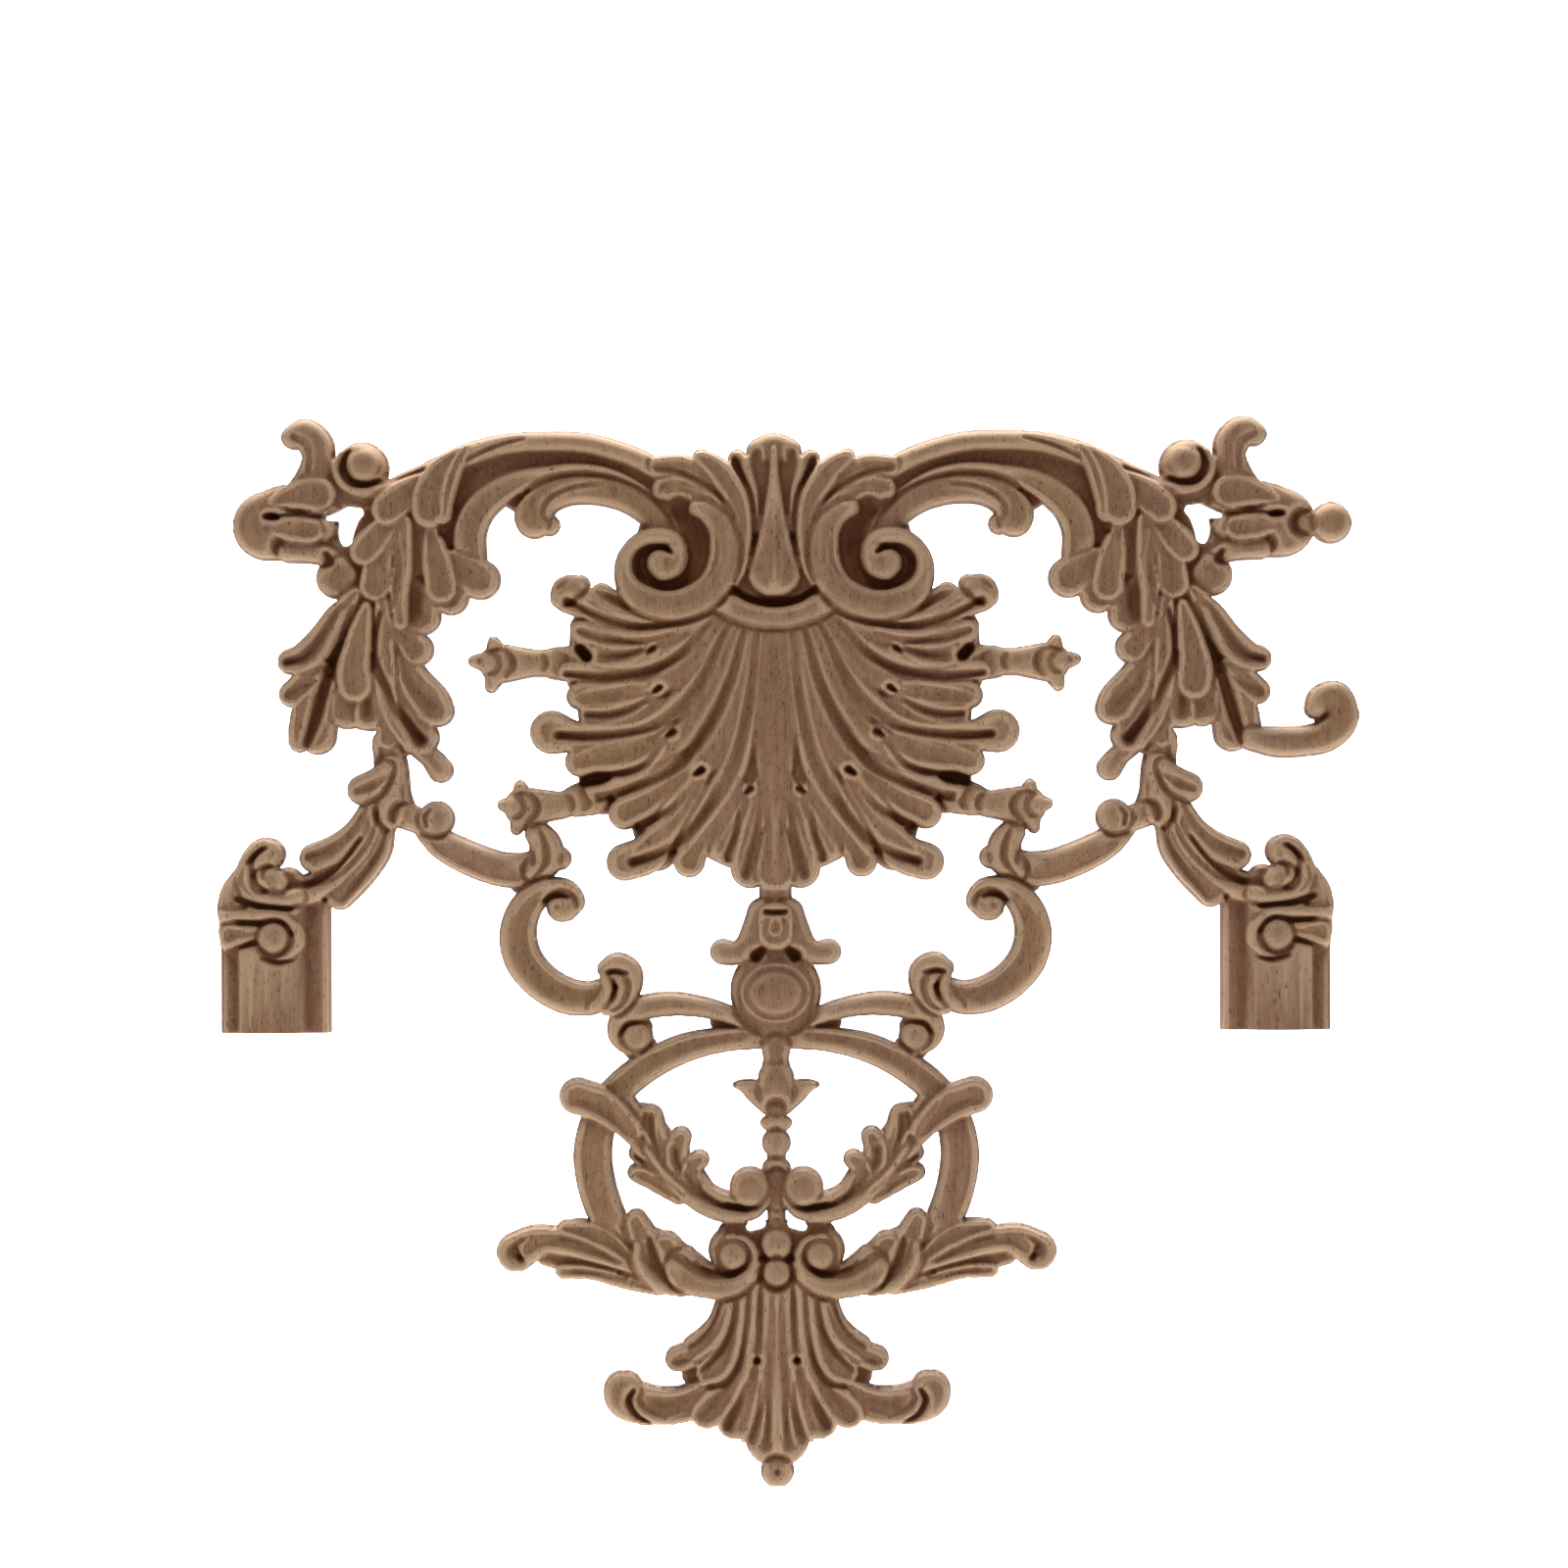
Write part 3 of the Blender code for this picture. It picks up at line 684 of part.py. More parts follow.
def crest(b):
    """The feathered leaves, volutes, tongue and collar at the top middle."""
    b.ground([(0, 84, 8), (8, 76, 11), (14, 72, 13), (18, 62, 16), (28, 56, 14)], top=9)
    b.ground([(30, 80, 7), (32.5, 54, 12.2)], top=8.5)
    # The fan of petals behind the tongue, with a rounded cap
    b.ground([(0, 86.9, 8.2), (4, 80, 8)], top=11)
    b.rib([(9.4, 64, 1.8), (9.8, 74, 2.6), (11.2, 82, 3.2), (11.2, 87.6, 2.8)], top=12.5, edge=10.5)
    b.gouge([(7.8, 70, 0.8), (9.6, 79, 1.5), (11.6, 87, 1.7)], 9.6, 12.6)
    b.rib([(-4.4, 89.9, 3.9), (0, 91.3, 4.2), (4.4, 89.9, 3.9)], top=14, edge=10.5)
    b.rib([(5, 66, 1.6), (6.6, 78, 1.8), (8.4, 87, 1.6)], top=13, edge=11.5)
    b.gouge([(3.4, 75, 0.5), (3.8, 77, 0.9), (4.6, 81.6, 1.7), (5.4, 86.4, 2.3), (5.6, 89.0, 1.9)],
            10.6, 13.4)
    # Feathers that run down into the volute
    b.lobe([(35, 85.2, 3.4), (28, 85, 3.8), (20.6, 80.8, 4.2), (15, 73, 3.8), (12.6, 62, 3.2),
            (14, 54, 2.6)], top=14, dip=1.0)
    b.lobe([(22.4, 88.2, 2.4), (17.2, 84.2, 3.6), (12.2, 76.6, 3.8), (9.8, 67, 3.4), (10.4, 57, 3.2),
            (14, 50, 3.0)], top=15.2, dip=0.8)
    b.lobe([(34, 78.4, 3.2), (27.6, 78.4, 3.6), (20.8, 74.6, 3.6), (16.2, 67.6, 3.2), (14.6, 59, 2.6)],
           top=14.6, dip=1.0)
    # The collar, then the volute over its end: one rolled band, from the eye outwards
    b.rib([(22, 48.6, 2.6), (15, 43.0, 3.6), (7, 40.2, 4.1), (0, 39.5, 4.2), (-7, 40.2, 4.1)], top=16,
          edge=11.5)
    b.gouge([(14, 49, 0.8), (9, 45.2, 1.3), (4.6, 43.8, 1.6), (0, 43.4, 1.7), (-5, 43.8, 1.6)], 6, 15.6)
    b.gouge([(29, 72, 4.2), (25.4, 66, 4.4), (24.4, 59, 4.0), (27, 52.6, 3.2)], 7.5, 11.5)
    b.rib([(34.6, 55.6, 3.6), (31.6, 57.2, 3.2), (29.6, 60.2, 2.6), (31.4, 63.2, 2.5), (36.4, 63.9, 2.7),
           (41.8, 61.2, 3.2), (44.8, 55.4, 3.9), (43.6, 48.6, 4.5), (38.6, 43.8, 4.7), (30.6, 42.6, 4.8),
           (22, 45.6, 5.0), (16.8, 51.4, 5.0), (15.0, 59, 4.8), (16.0, 66, 4.2), (19.8, 70.8, 3.3),
           (23.6, 72.4, 2.4)], top=(15.4, 16.4, 17, 17, 17.4, 17.4, 16.4), edge=(12, 12, 12, 12.6, 13))
    b.rib([(33.4, 55.0, 5.0), (30.6, 56.4, 4.2), (29.4, 60, 2.8)], top=16.4, edge=12)
    b.bead(34.6, 55.6, 4.5, top=16.4, edge=12)
    b.gouge([(31.6, 59.4, 0.4), (34.4, 60.8, 0.8), (38.4, 60.8, 1.2), (41.2, 58.4, 1.4),
             (42.0, 55.2, 1.5), (40.9, 52, 1.6), (38, 49.8, 1.7), (34, 48.8, 1.8), (29.6, 49.6, 2.1),
             (26, 51.8, 2.6), (24.2, 57, 3.0)], 7.5, 16)
    b.gouge([(23.4, 70.6, 0.5), (19.6, 66.6, 0.9), (17.8, 59, 1.0), (19.4, 53, 0.8), (24, 48.4, 0.4)],
            15.6, 17.4)
    # Tongue
    b.upright([(45.6, 0.1), (45.8, 2.6), (46.6, 4.8), (48.4, 6.9), (51, 8.1), (54, 7.9), (58, 6.6),
               (64, 4.9), (70, 3.6), (76, 2.5), (82, 1.6), (91, 1.2)], top=(17, 17.4, 16.8, 15.4),
              edge=(12.5, 13, 13, 12.6))
    b.swell([(0, 60, 0.6), (0, 68, 1.5), (0, 78, 1.4), (0, 90, 1.3)], top=(17.4, 17.4, 16.6, 15.2),
            edge=(17.2, 16, 14, 12.6))
    # Creases that part the feathers
    b.crease([(12.4, 88.4, 1.1), (12.0, 85.6, 1.5), (10, 82, 1.4), (8, 78.6, 1.3), (6.8, 74, 1.1),
              (6.4, 68, 1.0), (6.8, 62, 1.0), (7.8, 57.6, 0.8)], depth=(2.2, 2.2, 2, 1.6, 1))
    b.crease([(36, 84.4, 1.0), (32, 84, 1.3), (28, 82.8, 1.4), (24, 80.8, 1.4), (20, 78.4, 1.4),
              (16.8, 76, 1.3), (14, 73.2, 1.1), (12, 69, 0.9)], depth=(1.4, 2, 2, 1.6, 1))


def right_extras(b):
    """Two pieces of ornament that only the right-hand side keeps."""
    b.rib([(162.5, 67.5, 3.6), (165.6, 67.5, 3.8)], top=10.5, edge=8)
    b.bead(170.7, 67.5, 6.2, top=13, edge=8.5)
    b.ground([(166.8, 7.2, 1.0), (168.8, 8.8, 1.2)], top=7.5)
    b.rib([(146, 1.5, 3.6), (154, 0.4, 4.6), (162, 0.6, 4.6), (169.2, 2.4, 4.9), (173.9, 7.4, 4.9),
           (172.2, 13.8, 4.8), (167.8, 13.6, 4.2), (165.6, 10.6, 3.0)], top=13, edge=8.5)


def saw_off(b):
    """The straight cut across the end of the moulding."""
    stub = b.x > 130
    cut = np.where(stub[None, :] & (b.z[:, None] < -70), b.z[:, None] - STUB_FOOT, 99.0)
    b.inside = np.minimum(b.inside, cut)


def corner_hole(b):
    """The small hole through the corner, beside the bud."""
    b.pierce([(127.4, 71.5, 1.9), (129.8, 70.2, 3.0), (131.2, 66, 2.8), (131.2, 63.2, 2.2)])
    b.pierce([(130.4, 71.4, 2.4), (134.4, 70.3, 1.6), (136.9, 70.0, 1.0)])


def carve(b):
    top_rail(b)
    corner_bud(b)
    trunk_and_arms(b)
    acanthus_drop(b)
    corner_hole(b)
    moulding_stub(b)
    husk_finials(b)
    oval_frame(b)
    boss_arms(b)
    c_scroll(b)
    boss_and_husk(b)
    hanging_bud(b)
    pendant_palmette(b)
    upper_leaf_scroll(b)
    lower_leaf_scroll(b)
    shell(b)
    crest(b)


def whole_board():
    """Heights and insides of the whole board: both halves match but for the two extras on the right."""
    halves = [Board(PITCH), Board(PITCH)]
    for half in halves:
        carve(half)
    right_extras(halves[1])
    for half in halves:
        half.finish()
        saw_off(half)
    left, right = halves
    x = np.concatenate([-left.x[:0:-1], right.x])
    height = np.hstack([left.height[:, :0:-1], right.height])
    inside = np.hstack([left.inside[:, :0:-1], right.inside])
    return x, right.z, height, inside


def sheet(x, z, height, inside):
    """Cuts the grid along the outline: corner points, heights, faces and the edges on the outline."""
    least = LEAST_CUT * (x[1] - x[0])
    inside = np.where(np.abs(inside) < least, np.where(inside < 0, -least, least), inside)
    wood = inside > 0
    rows, columns = wood.shape
    ids = np.arange(rows * columns).reshape(rows, columns)
    grid_z, grid_x = np.meshgrid(z, x, indexing="ij")
    points = [np.stack([grid_x, grid_z, height], axis=-1).reshape(-1, 3)]

    def crossings(first, second):
        """A point where the outline crosses each grid edge between first and second."""
        inside_a, inside_b = inside[first], inside[second]
        crossed = (inside_a > 0) != (inside_b > 0)
        t = np.where(crossed, inside_a / np.where(crossed, inside_a - inside_b, 1), 0)
        new_x = grid_x[first] + t * (grid_x[second] - grid_x[first])
        new_z = grid_z[first] + t * (grid_z[second] - grid_z[first])
        rim = np.minimum(np.where(inside_a > 0, height[first], height[second]), WALL)
        start = sum(len(group) for group in points)
        points.append(np.stack([new_x, new_z, rim], axis=-1).reshape(-1, 3))
        return start + np.arange(inside_a.size).reshape(inside_a.shape)

    across = crossings(np.s_[:, :-1], np.s_[:, 1:])
    upward = crossings(np.s_[:-1, :], np.s_[1:, :])
    # Round each cell: a corner, the edge after it, the next corner, and so on
    ring = [ids[:-1, :-1], across[:-1], ids[:-1, 1:], upward[:, 1:],
            ids[1:, 1:], across[1:], ids[1:, :-1], upward[:, :-1]]
    corners = [wood[:-1, :-1], wood[:-1, 1:], wood[1:, 1:], wood[1:, :-1]]
    code = sum(corner * 2**n for n, corner in enumerate(corners))
    faces = []
    rim_edges = []
    for case in range(1, 16):
        cells = code == case
        has = [bool(case >> n & 1) for n in range(4)]
        kept = []
        for corner in range(4):
            if has[corner]:
                kept.append(2 * corner)
            if has[corner] != has[(corner + 1) % 4]:
                kept.append(2 * corner + 1)
        faces += np.stack([ring[n][cells] for n in kept], axis=-1).tolist()
        for first, second in zip(kept, kept[1:] + kept[:1]):
            if first % 2 and second % 2:
                rim_edges += np.stack([ring[first][cells], ring[second][cells]], axis=-1).tolist()
    points = np.concatenate(points)
    used, index = np.unique([corner for face in faces for corner in face], return_inverse=True)
    renumber = np.full(len(points), -1)
    renumber[used] = np.arange(len(used))
    faces = [[int(renumber[corner]) for corner in face] for face in faces]
    rim_edges = renumber[np.array(rim_edges)]
    return points[used], faces, rim_edges


def carved_mesh():
    """The closed solid: carved front, plain back and the sawn wall between them."""
    points, faces, rim_edges = sheet(*whole_board())
    count = len(points)
    front = np.stack([points[:, 0], -points[:, 2], points[:, 1]], axis=-1)
    back = front * [1, 0, 1]
    rear_faces = [[corner + count for corner in reversed(face)] for face in faces]
    walls = [[b, a, a + count, b + count] for a, b in rim_edges.tolist()]
    mesh = bpy.data.meshes.new("carved_applique")
    mesh.from_pydata((np.concatenate([front, back]) * MM).tolist(), [], faces + rear_faces + walls)
    return mesh


def thinned(thing, triangles):
    """Collapses the short edges until about this many triangles are left, then flattens the back again."""
    mesh = thing.data
    corners = bmesh.new()
    corners.from_mesh(mesh)
    bmesh.ops.triangulate(corners, faces=corners.faces)
    corners.to_mesh(mesh)
    corners.free()
    reduce = thing.modifiers.new("Thin out", "DECIMATE")
    reduce.ratio = triangles / len(mesh.polygons)
    graph = bpy.context.evaluated_depsgraph_get()
    lighter = bpy.data.meshes.new_from_object(thing.evaluated_get(graph))
    thing.modifiers.remove(reduce)
    thing.data = lighter
    bpy.data.meshes.remove(mesh)
    places = np.empty(len(lighter.vertices) * 3)
    lighter.vertices.foreach_get("co", places)
    places = places.reshape(-1, 3)
    places[places[:, 1] > -BACK_ZONE * MM, 1] = 0
    lighter.vertices.foreach_set("co", places.ravel())
    lighter.name = thing.name


def wood_material():
    material = bpy.data.materials.new("pale_hardwood")
    material.use_nodes = True
    shader = material.node_tree.nodes["Principled BSDF"]
    shader.inputs["Base Color"].default_value = WOOD_COLOUR
    shader.inputs["Roughness"].default_value = 0.7
    return material


def main():
    for thing in list(bpy.data.objects):
        bpy.data.objects.remove(thing)
    group = bpy.data.collections.new("carved_applique")
    bpy.context.scene.collection.children.link(group)
    applique = bpy.data.objects.new("carved_applique", carved_mesh())
    group.objects.link(applique)
    thinned(applique, TRIANGLES)
    applique.data.materials.append(wood_material())


main()
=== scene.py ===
# %% [markdown]
# # A pierced and carved wooden applique
# The real piece is cut from one flat-backed board: a machine roughs it out with a round-nosed cutter,
# and it is sold unfinished. The packed solid already has its outline and its main forms. This lesson
# carves the same strokes on a much finer grid, so that thin rims, gouged lobes and drilled eyes show,
# and gives them their wood. The box of the solid is kept, because the finer piece has to stay inside it.

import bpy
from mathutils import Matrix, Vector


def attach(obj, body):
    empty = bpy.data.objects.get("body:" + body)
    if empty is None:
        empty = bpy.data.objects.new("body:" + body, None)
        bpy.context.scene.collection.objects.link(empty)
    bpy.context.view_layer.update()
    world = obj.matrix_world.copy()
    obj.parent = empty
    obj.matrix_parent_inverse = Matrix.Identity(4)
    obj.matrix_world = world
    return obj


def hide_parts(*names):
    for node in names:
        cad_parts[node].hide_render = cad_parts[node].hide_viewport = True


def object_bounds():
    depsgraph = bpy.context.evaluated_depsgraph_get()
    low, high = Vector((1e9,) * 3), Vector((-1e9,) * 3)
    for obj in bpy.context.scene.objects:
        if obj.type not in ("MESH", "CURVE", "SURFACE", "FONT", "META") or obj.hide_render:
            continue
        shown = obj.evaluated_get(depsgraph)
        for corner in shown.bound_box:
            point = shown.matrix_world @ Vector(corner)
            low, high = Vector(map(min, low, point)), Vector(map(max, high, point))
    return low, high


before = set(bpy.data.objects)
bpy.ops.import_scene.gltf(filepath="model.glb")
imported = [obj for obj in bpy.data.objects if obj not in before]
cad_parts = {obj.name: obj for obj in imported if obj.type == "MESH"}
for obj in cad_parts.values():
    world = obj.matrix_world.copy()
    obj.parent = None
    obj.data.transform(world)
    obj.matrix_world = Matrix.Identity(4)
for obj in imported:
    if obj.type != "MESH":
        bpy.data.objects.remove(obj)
solid_box = [list(corner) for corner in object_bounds()]
print("Box of the solid, mm:", [[round(1000 * value, 1) for value in corner] for corner in solid_box])

# %% [markdown]
# Blender works in metres, and the carving is drawn in millimetres, as a workshop would. Colours are
# easiest to write as the hex values that a paint program shows, but a shader wants linear light, so one
# function turns the one into the other. A second one adds a node, fills in its settings and links its
# inputs, and serves the shape's node tree and the material's alike.

# %% Units, colours and nodes
import copy
import math

import bmesh
import bpy
import numpy as np
from mathutils import Vector

MM = 0.001


def linear(hex_colour):
    """An sRGB hex colour as linear red, green, blue and alpha."""
    values = [int(hex_colour[n:n + 2], 16) / 255 for n in (1, 3, 5)]
    return (*[v / 12.92 if v <= 0.04045 else ((v + 0.055) / 1.055) ** 2.4 for v in values], 1)


def add_node(tree, kind, settings=None, **inputs):
    """Adds a node. An input, given by its name or number, takes a value or another node's output."""
    node = tree.nodes.new(kind)
    for name, value in (settings or {}).items():
        setattr(node, name, value)
    for name, value in inputs.items():
        key = int(name[1:]) if name[1:].isdigit() else name.replace("_", " ")
        if isinstance(value, bpy.types.NodeSocket):
            tree.links.new(value, node.inputs[key])
        else:
            node.inputs[key].default_value = value
    return node


print("A mid tan in linear light:", [round(value, 3) for value in linear("#A08468")[:3]])

# %% [markdown]
# ## The drawing board
# A carver thinks in strokes: a stem is one sweep of the gouge, a leaf lobe is a rim with a hollow in
# it. So each form is a smooth path with a width at each knot, and a cross-section. The relief has no
# undercuts, which means that one height for each point of a grid describes all of it. The same could be
# sculpted or made of curves with a bevel, but those need a join at each crossing, where a height grid
# simply lets the later stroke lie over the earlier one.

# %% Sizes of the board, in millimetres
PITCH = 0.4  # step of the grid
PATTERN_X = 180.0  # half the width of the board
PATTERN_Z = (-230.0, 103.0)  # its foot and its top
PATH_STEP = 0.7  # from one point of a path to the next
LEAST_WIDTH = 0.15  # least half width of a stroke
BANK_SLOPE = 2.2  # rise of the bank beside a stroke for each mm away from it
BANK_REACH = 4.0  # how far the bank goes
SAW_SPARE = 0.25  # wood left outside the drawn line
WALL = 6.5  # height of the sawn wall
CROWN = 19.5  # height that the roll-off reaches inside the outline
ROLL = 1.5  # width of the roll-off
ROLL_CURVE = 0.7  # under 1, it rises fast and then levels out
ARRIS = 0.45  # reach of the blur that softens the edges
NO_WOOD = -50.0  # distance inside the outline before anything is laid
PAST_THE_ENDS = -9.0  # the same beyond the ends of an upright stem
NO_LIMIT = 99.0  # more than any height, and than any distance inside the outline
print("Grid step", PITCH, "mm, half board", PATTERN_X, "mm wide")

# %% [markdown]
# A path is given by a few knots of x, z and half width. A smooth curve is run through them, close
# enough together that no corner shows.

# %% A smooth path through a few knots
def smooth_path(knots):
    """Rows of (x, z, half width) every PATH_STEP along a smooth curve through the knots."""
    knots = np.array(knots, float)
    if len(knots) == 1:
        return knots
    ends = np.vstack([2 * knots[0] - knots[1], knots, 2 * knots[-1] - knots[-2]])
    rows = []
    for before, start, end, after in zip(ends, ends[1:], ends[2:], ends[3:]):
        count = max(2, int(np.ceil(np.hypot(*(end - start)[:2]) / PATH_STEP)))
        for t in np.arange(count) / count:
            rows.append(0.5 * (
                2 * start
                + (end - before) * t
                + (2 * before - 5 * start + 4 * end - after) * t**2
                + (3 * start - before - 3 * end + after) * t**3
            ))
    rows.append(knots[-1])
    rows = np.array(rows)
    rows[:, 2] = np.maximum(rows[:, 2], LEAST_WIDTH)
    return rows


def spread(heights, along):
    """One height, or a few heights shared out evenly along a path."""
    heights = np.atleast_1d(heights)
    return np.interp(along, np.linspace(0, 1, len(heights)), heights)


print("Three knots become", len(smooth_path([(0, 0, 1), (5, 3, 2), (10, 0, 1)])), "points")

# %% [markdown]
# The cross-sections run from -1 at one side of a stroke to 1 at the other. A rounded stem, a level
# band with rolled sides, the hollow that a gouge leaves, and the bead and cove of a moulded scroll are
# all that this ornament needs.

# %% Cross-sections of the strokes
def round_top(u):
    """The cross-section of a rounded stem, over u from -1 to 1 across it."""
    return np.sqrt(np.clip(1 - u**2, 0, 1))


def rim_top(u, rim=0.8):
    """Level across, and rolled off at the sides."""
    return np.sqrt(np.clip(1 - (np.clip(np.abs(u) - rim, 0, 1) / (1 - rim)) ** 2, 0, 1))


def scoop(u, rim=0.86):
    """How far a gouge has hollowed the middle, from 0 at the rim to 1."""
    return (1 - np.clip(np.abs(u) / rim, 0, 1) ** 2) ** 1.3


def cove_top(u):
    """A bold bead, a shallow cove and a thin bead, as on a moulded scroll."""
    place = [-1, -0.93, -0.75, -0.45, -0.15, 0.2, 0.42, 0.56, 0.68, 0.84, 0.95, 1]
    level = [0, 0.45, 0.85, 1.0, 0.94, 0.74, 0.62, 0.66, 0.8, 0.72, 0.36, 0]
    return np.interp(u, place, level)


def flat_top(u, steepness=6):
    """Level nearly all the way across, with a short slope at each side."""
    return np.clip((1 - np.abs(u)) * steepness, 0, 1)


print("A stem is", round(float(round_top(0.5)), 2), "of its height half-way to its side")

# %% [markdown]
# Softening comes last. A round-nosed cutter can't leave a knife edge or a sharp inner corner, so the
# heights are blurred by a bell curve of under half a millimetre, along one axis and then the other.

# %% A soft blur
def bell(reach, pitch):
    """Weights of a bell curve, one for each grid step."""
    half = int(3 * reach / pitch)
    weights = np.exp(-0.5 * (np.arange(-half, half + 1) * pitch / reach) ** 2)
    return weights / weights.sum()


def smeared(values, weights, axis):
    """A running weighted sum along one axis; the values at the ends are carried on."""
    half = len(weights) // 2
    reach = [(half, half) if n == axis else (0, 0) for n in (0, 1)]
    padded = np.pad(values, reach, mode="edge")
    count = values.shape[axis]
    parts = [weight * padded.take(range(n, n + count), axis) for n, weight in enumerate(weights)]
    return np.sum(parts, axis=0)


print("The blur of the edges spans", len(bell(ARRIS, PITCH)), "grid steps")

# %% [markdown]
# The board keeps two numbers for each grid point: the height of the wood above the back, and how far
# the point lies inside the outline. To lay a stroke, the nearest point of its path is found for each
# grid point near it, which gives the place across the stroke and along it. Wood that is cut over other
# wood gets a sloping bank beside it, as a real cutter leaves.

# %% The board
class Board:
    """Half of the board on a grid: the height of the wood, and the distance inside its outline."""

    def __init__(self, pitch):
        self.pitch = pitch
        self.x = np.arange(round(PATTERN_X / pitch) + 1) * pitch
        self.z = np.arange(round(PATTERN_Z[0] / pitch), round(PATTERN_Z[1] / pitch) + 1) * pitch
        self.height = np.zeros((len(self.z), len(self.x)))
        self.inside = np.full(self.height.shape, NO_WOOD)

    def window(self, path, margin):
        """The part of the grid that a path can touch, with a margin round it."""
        reach = path[:, 2].max() + margin
        left, right = np.searchsorted(self.x, [path[:, 0].min() - reach, path[:, 0].max() + reach])
        low, high = np.searchsorted(self.z, [path[:, 1].min() - reach, path[:, 1].max() + reach])
        return slice(low, high), slice(left, right)

    def across(self, path, window):
        """Place across the stroke (1 at its edge), place along it and half width, for each grid point."""
        z, x = np.meshgrid(self.z[window[0]], self.x[window[1]], indexing="ij")
        gap_x = x.ravel()[:, None] - path[None, :, 0]
        gap_z = z.ravel()[:, None] - path[None, :, 1]
        ratio = (gap_x**2 + gap_z**2) / path[None, :, 2] ** 2
        near = ratio.argmin(axis=1)
        rows = np.arange(len(near))
        best = ratio[rows, near]
        side = np.ones(len(near))
        if len(path) > 2:
            last = np.maximum(near - 1, 0)
            following = np.minimum(near + 1, len(path) - 1)
            between = (near > 0) & (near < len(path) - 1)
            bend = np.where(between, ratio[rows, last] - 2 * best + ratio[rows, following], 1.0)
            step = ratio[rows, following] - ratio[rows, last]
            best = np.where(between, best - step**2 / (8 * np.maximum(bend, 1e-9)), best)
            heading = path[following, :2] - path[last, :2]
            side = np.sign(heading[:, 0] * gap_z[rows, near] - heading[:, 1] * gap_x[rows, near])
        u = np.sqrt(np.maximum(best, 0)) * np.where(side < 0, -1, 1)
        along = near / max(1, len(path) - 1)
        return u.reshape(x.shape), along.reshape(x.shape), path[near, 2].reshape(x.shape)

    def add(self, window, wood, gap, edge, over):
        """Joins wood to the board where gap is positive. Over what is there, it cuts itself free."""
        height = self.height[window]
        inside = self.inside[window]
        if over:
            beside = np.minimum(height, edge + BANK_SLOPE * np.maximum(-gap, 0))
            height[:] = np.where(gap >= 0, wood, beside)
        else:
            height[:] = np.where(gap >= 0, np.maximum(height, wood), height)
        inside[:] = np.maximum(inside, gap)

    def measure(self):
        """What is on the board so far."""
        area = (self.inside > 0).sum() * self.pitch**2 / 100
        return f"{area:.0f} cm2 of half board, up to {self.height.max():.1f} mm high"


print("Grid of the half board:", Board(PITCH).height.shape)

# %% [markdown]
# The strokes come next: ribs, lobes, scrolls, beads, gouged grooves and drilled eyes. Each one is a
# path and a section, so a new ornament needs a list of knots and nothing else. A carver would have a
# different gouge for each of them.

# %% The strokes
class Carving(Board):
    """The board with its strokes."""

    def lay(self, knots, top, edge, section, over=True, dip=0, steepest=1.4):
        """A carved stem or leaf along a path. Top and edge may each be one height or a few along it, and
        dip is how deep a gouge hollows it. So that no thin stroke gets steep sides, its edge is lifted to
        within steepest times its half width of the top."""
        path = smooth_path(knots)
        window = self.window(path, BANK_REACH)
        u, along, width = self.across(path, window)
        high = spread(top, along)
        low = spread(edge, along)
        low = np.maximum(low, high - steepest * width)
        wood = low + (high - low) * section(u) - spread(dip, along) * scoop(u)
        self.add(window, wood, (1 - np.abs(u)) * width, low, over)

    def rib(self, knots, top=12, edge=8):
        """A rounded stem that lies over what is there."""
        self.lay(knots, top, edge, round_top)

    def swell(self, knots, top=13, edge=10):
        """A rounded ridge that rises out of what is there, and meets it in a soft valley."""
        self.lay(knots, top, edge, round_top, over=False)

    def lobe(self, knots, top=12, dip=1.3, fall=1.6):
        """A leaf lobe or a flute: a thin raised rim round a scooped middle."""
        self.lay(knots, top, np.subtract(top, fall), rim_top, dip=dip)

    def upright(self, outline, top=13, edge=10):
        """A swelling stem on the middle line; outline is a list of (z, half width), from the foot up."""
        z, x = np.meshgrid(self.z, self.x, indexing="ij")
        foot, tip = outline[0][0], outline[-1][0]
        width = np.interp(z, [row[0] for row in outline], [row[1] for row in outline])
        along = np.clip((z - foot) / (tip - foot), 0, 1)
        low = spread(edge, along)
        wood = low + (spread(top, along) - low) * round_top(x / width)
        gap = np.where((z > foot) & (z < tip), width - x, PAST_THE_ENDS)
        edge = np.where(gap > -BANK_REACH, low, NO_LIMIT)
        self.add(np.s_[:, :], wood, gap, edge, over=True)

    def scroll(self, knots, top=12, edge=8, flip=False):
        """A moulded band. Its bold bead is on the right of the path, or on the left with flip."""
        self.lay(knots, top, edge, (lambda u: cove_top(-u)) if flip else cove_top)

    def ground(self, knots, top=7):
        """Plain board left low behind the ornament."""
        self.lay(knots, top, top, flat_top, over=False)

    def bead(self, x, z, radius, top=13, edge=8):
        """A round knob."""
        self.lay([(x, z, radius)], top, edge, round_top)


print("Strokes:", [name for name in vars(Carving) if not name.startswith("_")])

# %% [markdown]
# Some cuts go down into what is there: a groove, the low lip round an eye and a hole right through. A
# domed oval and a straight moulding complete the set.

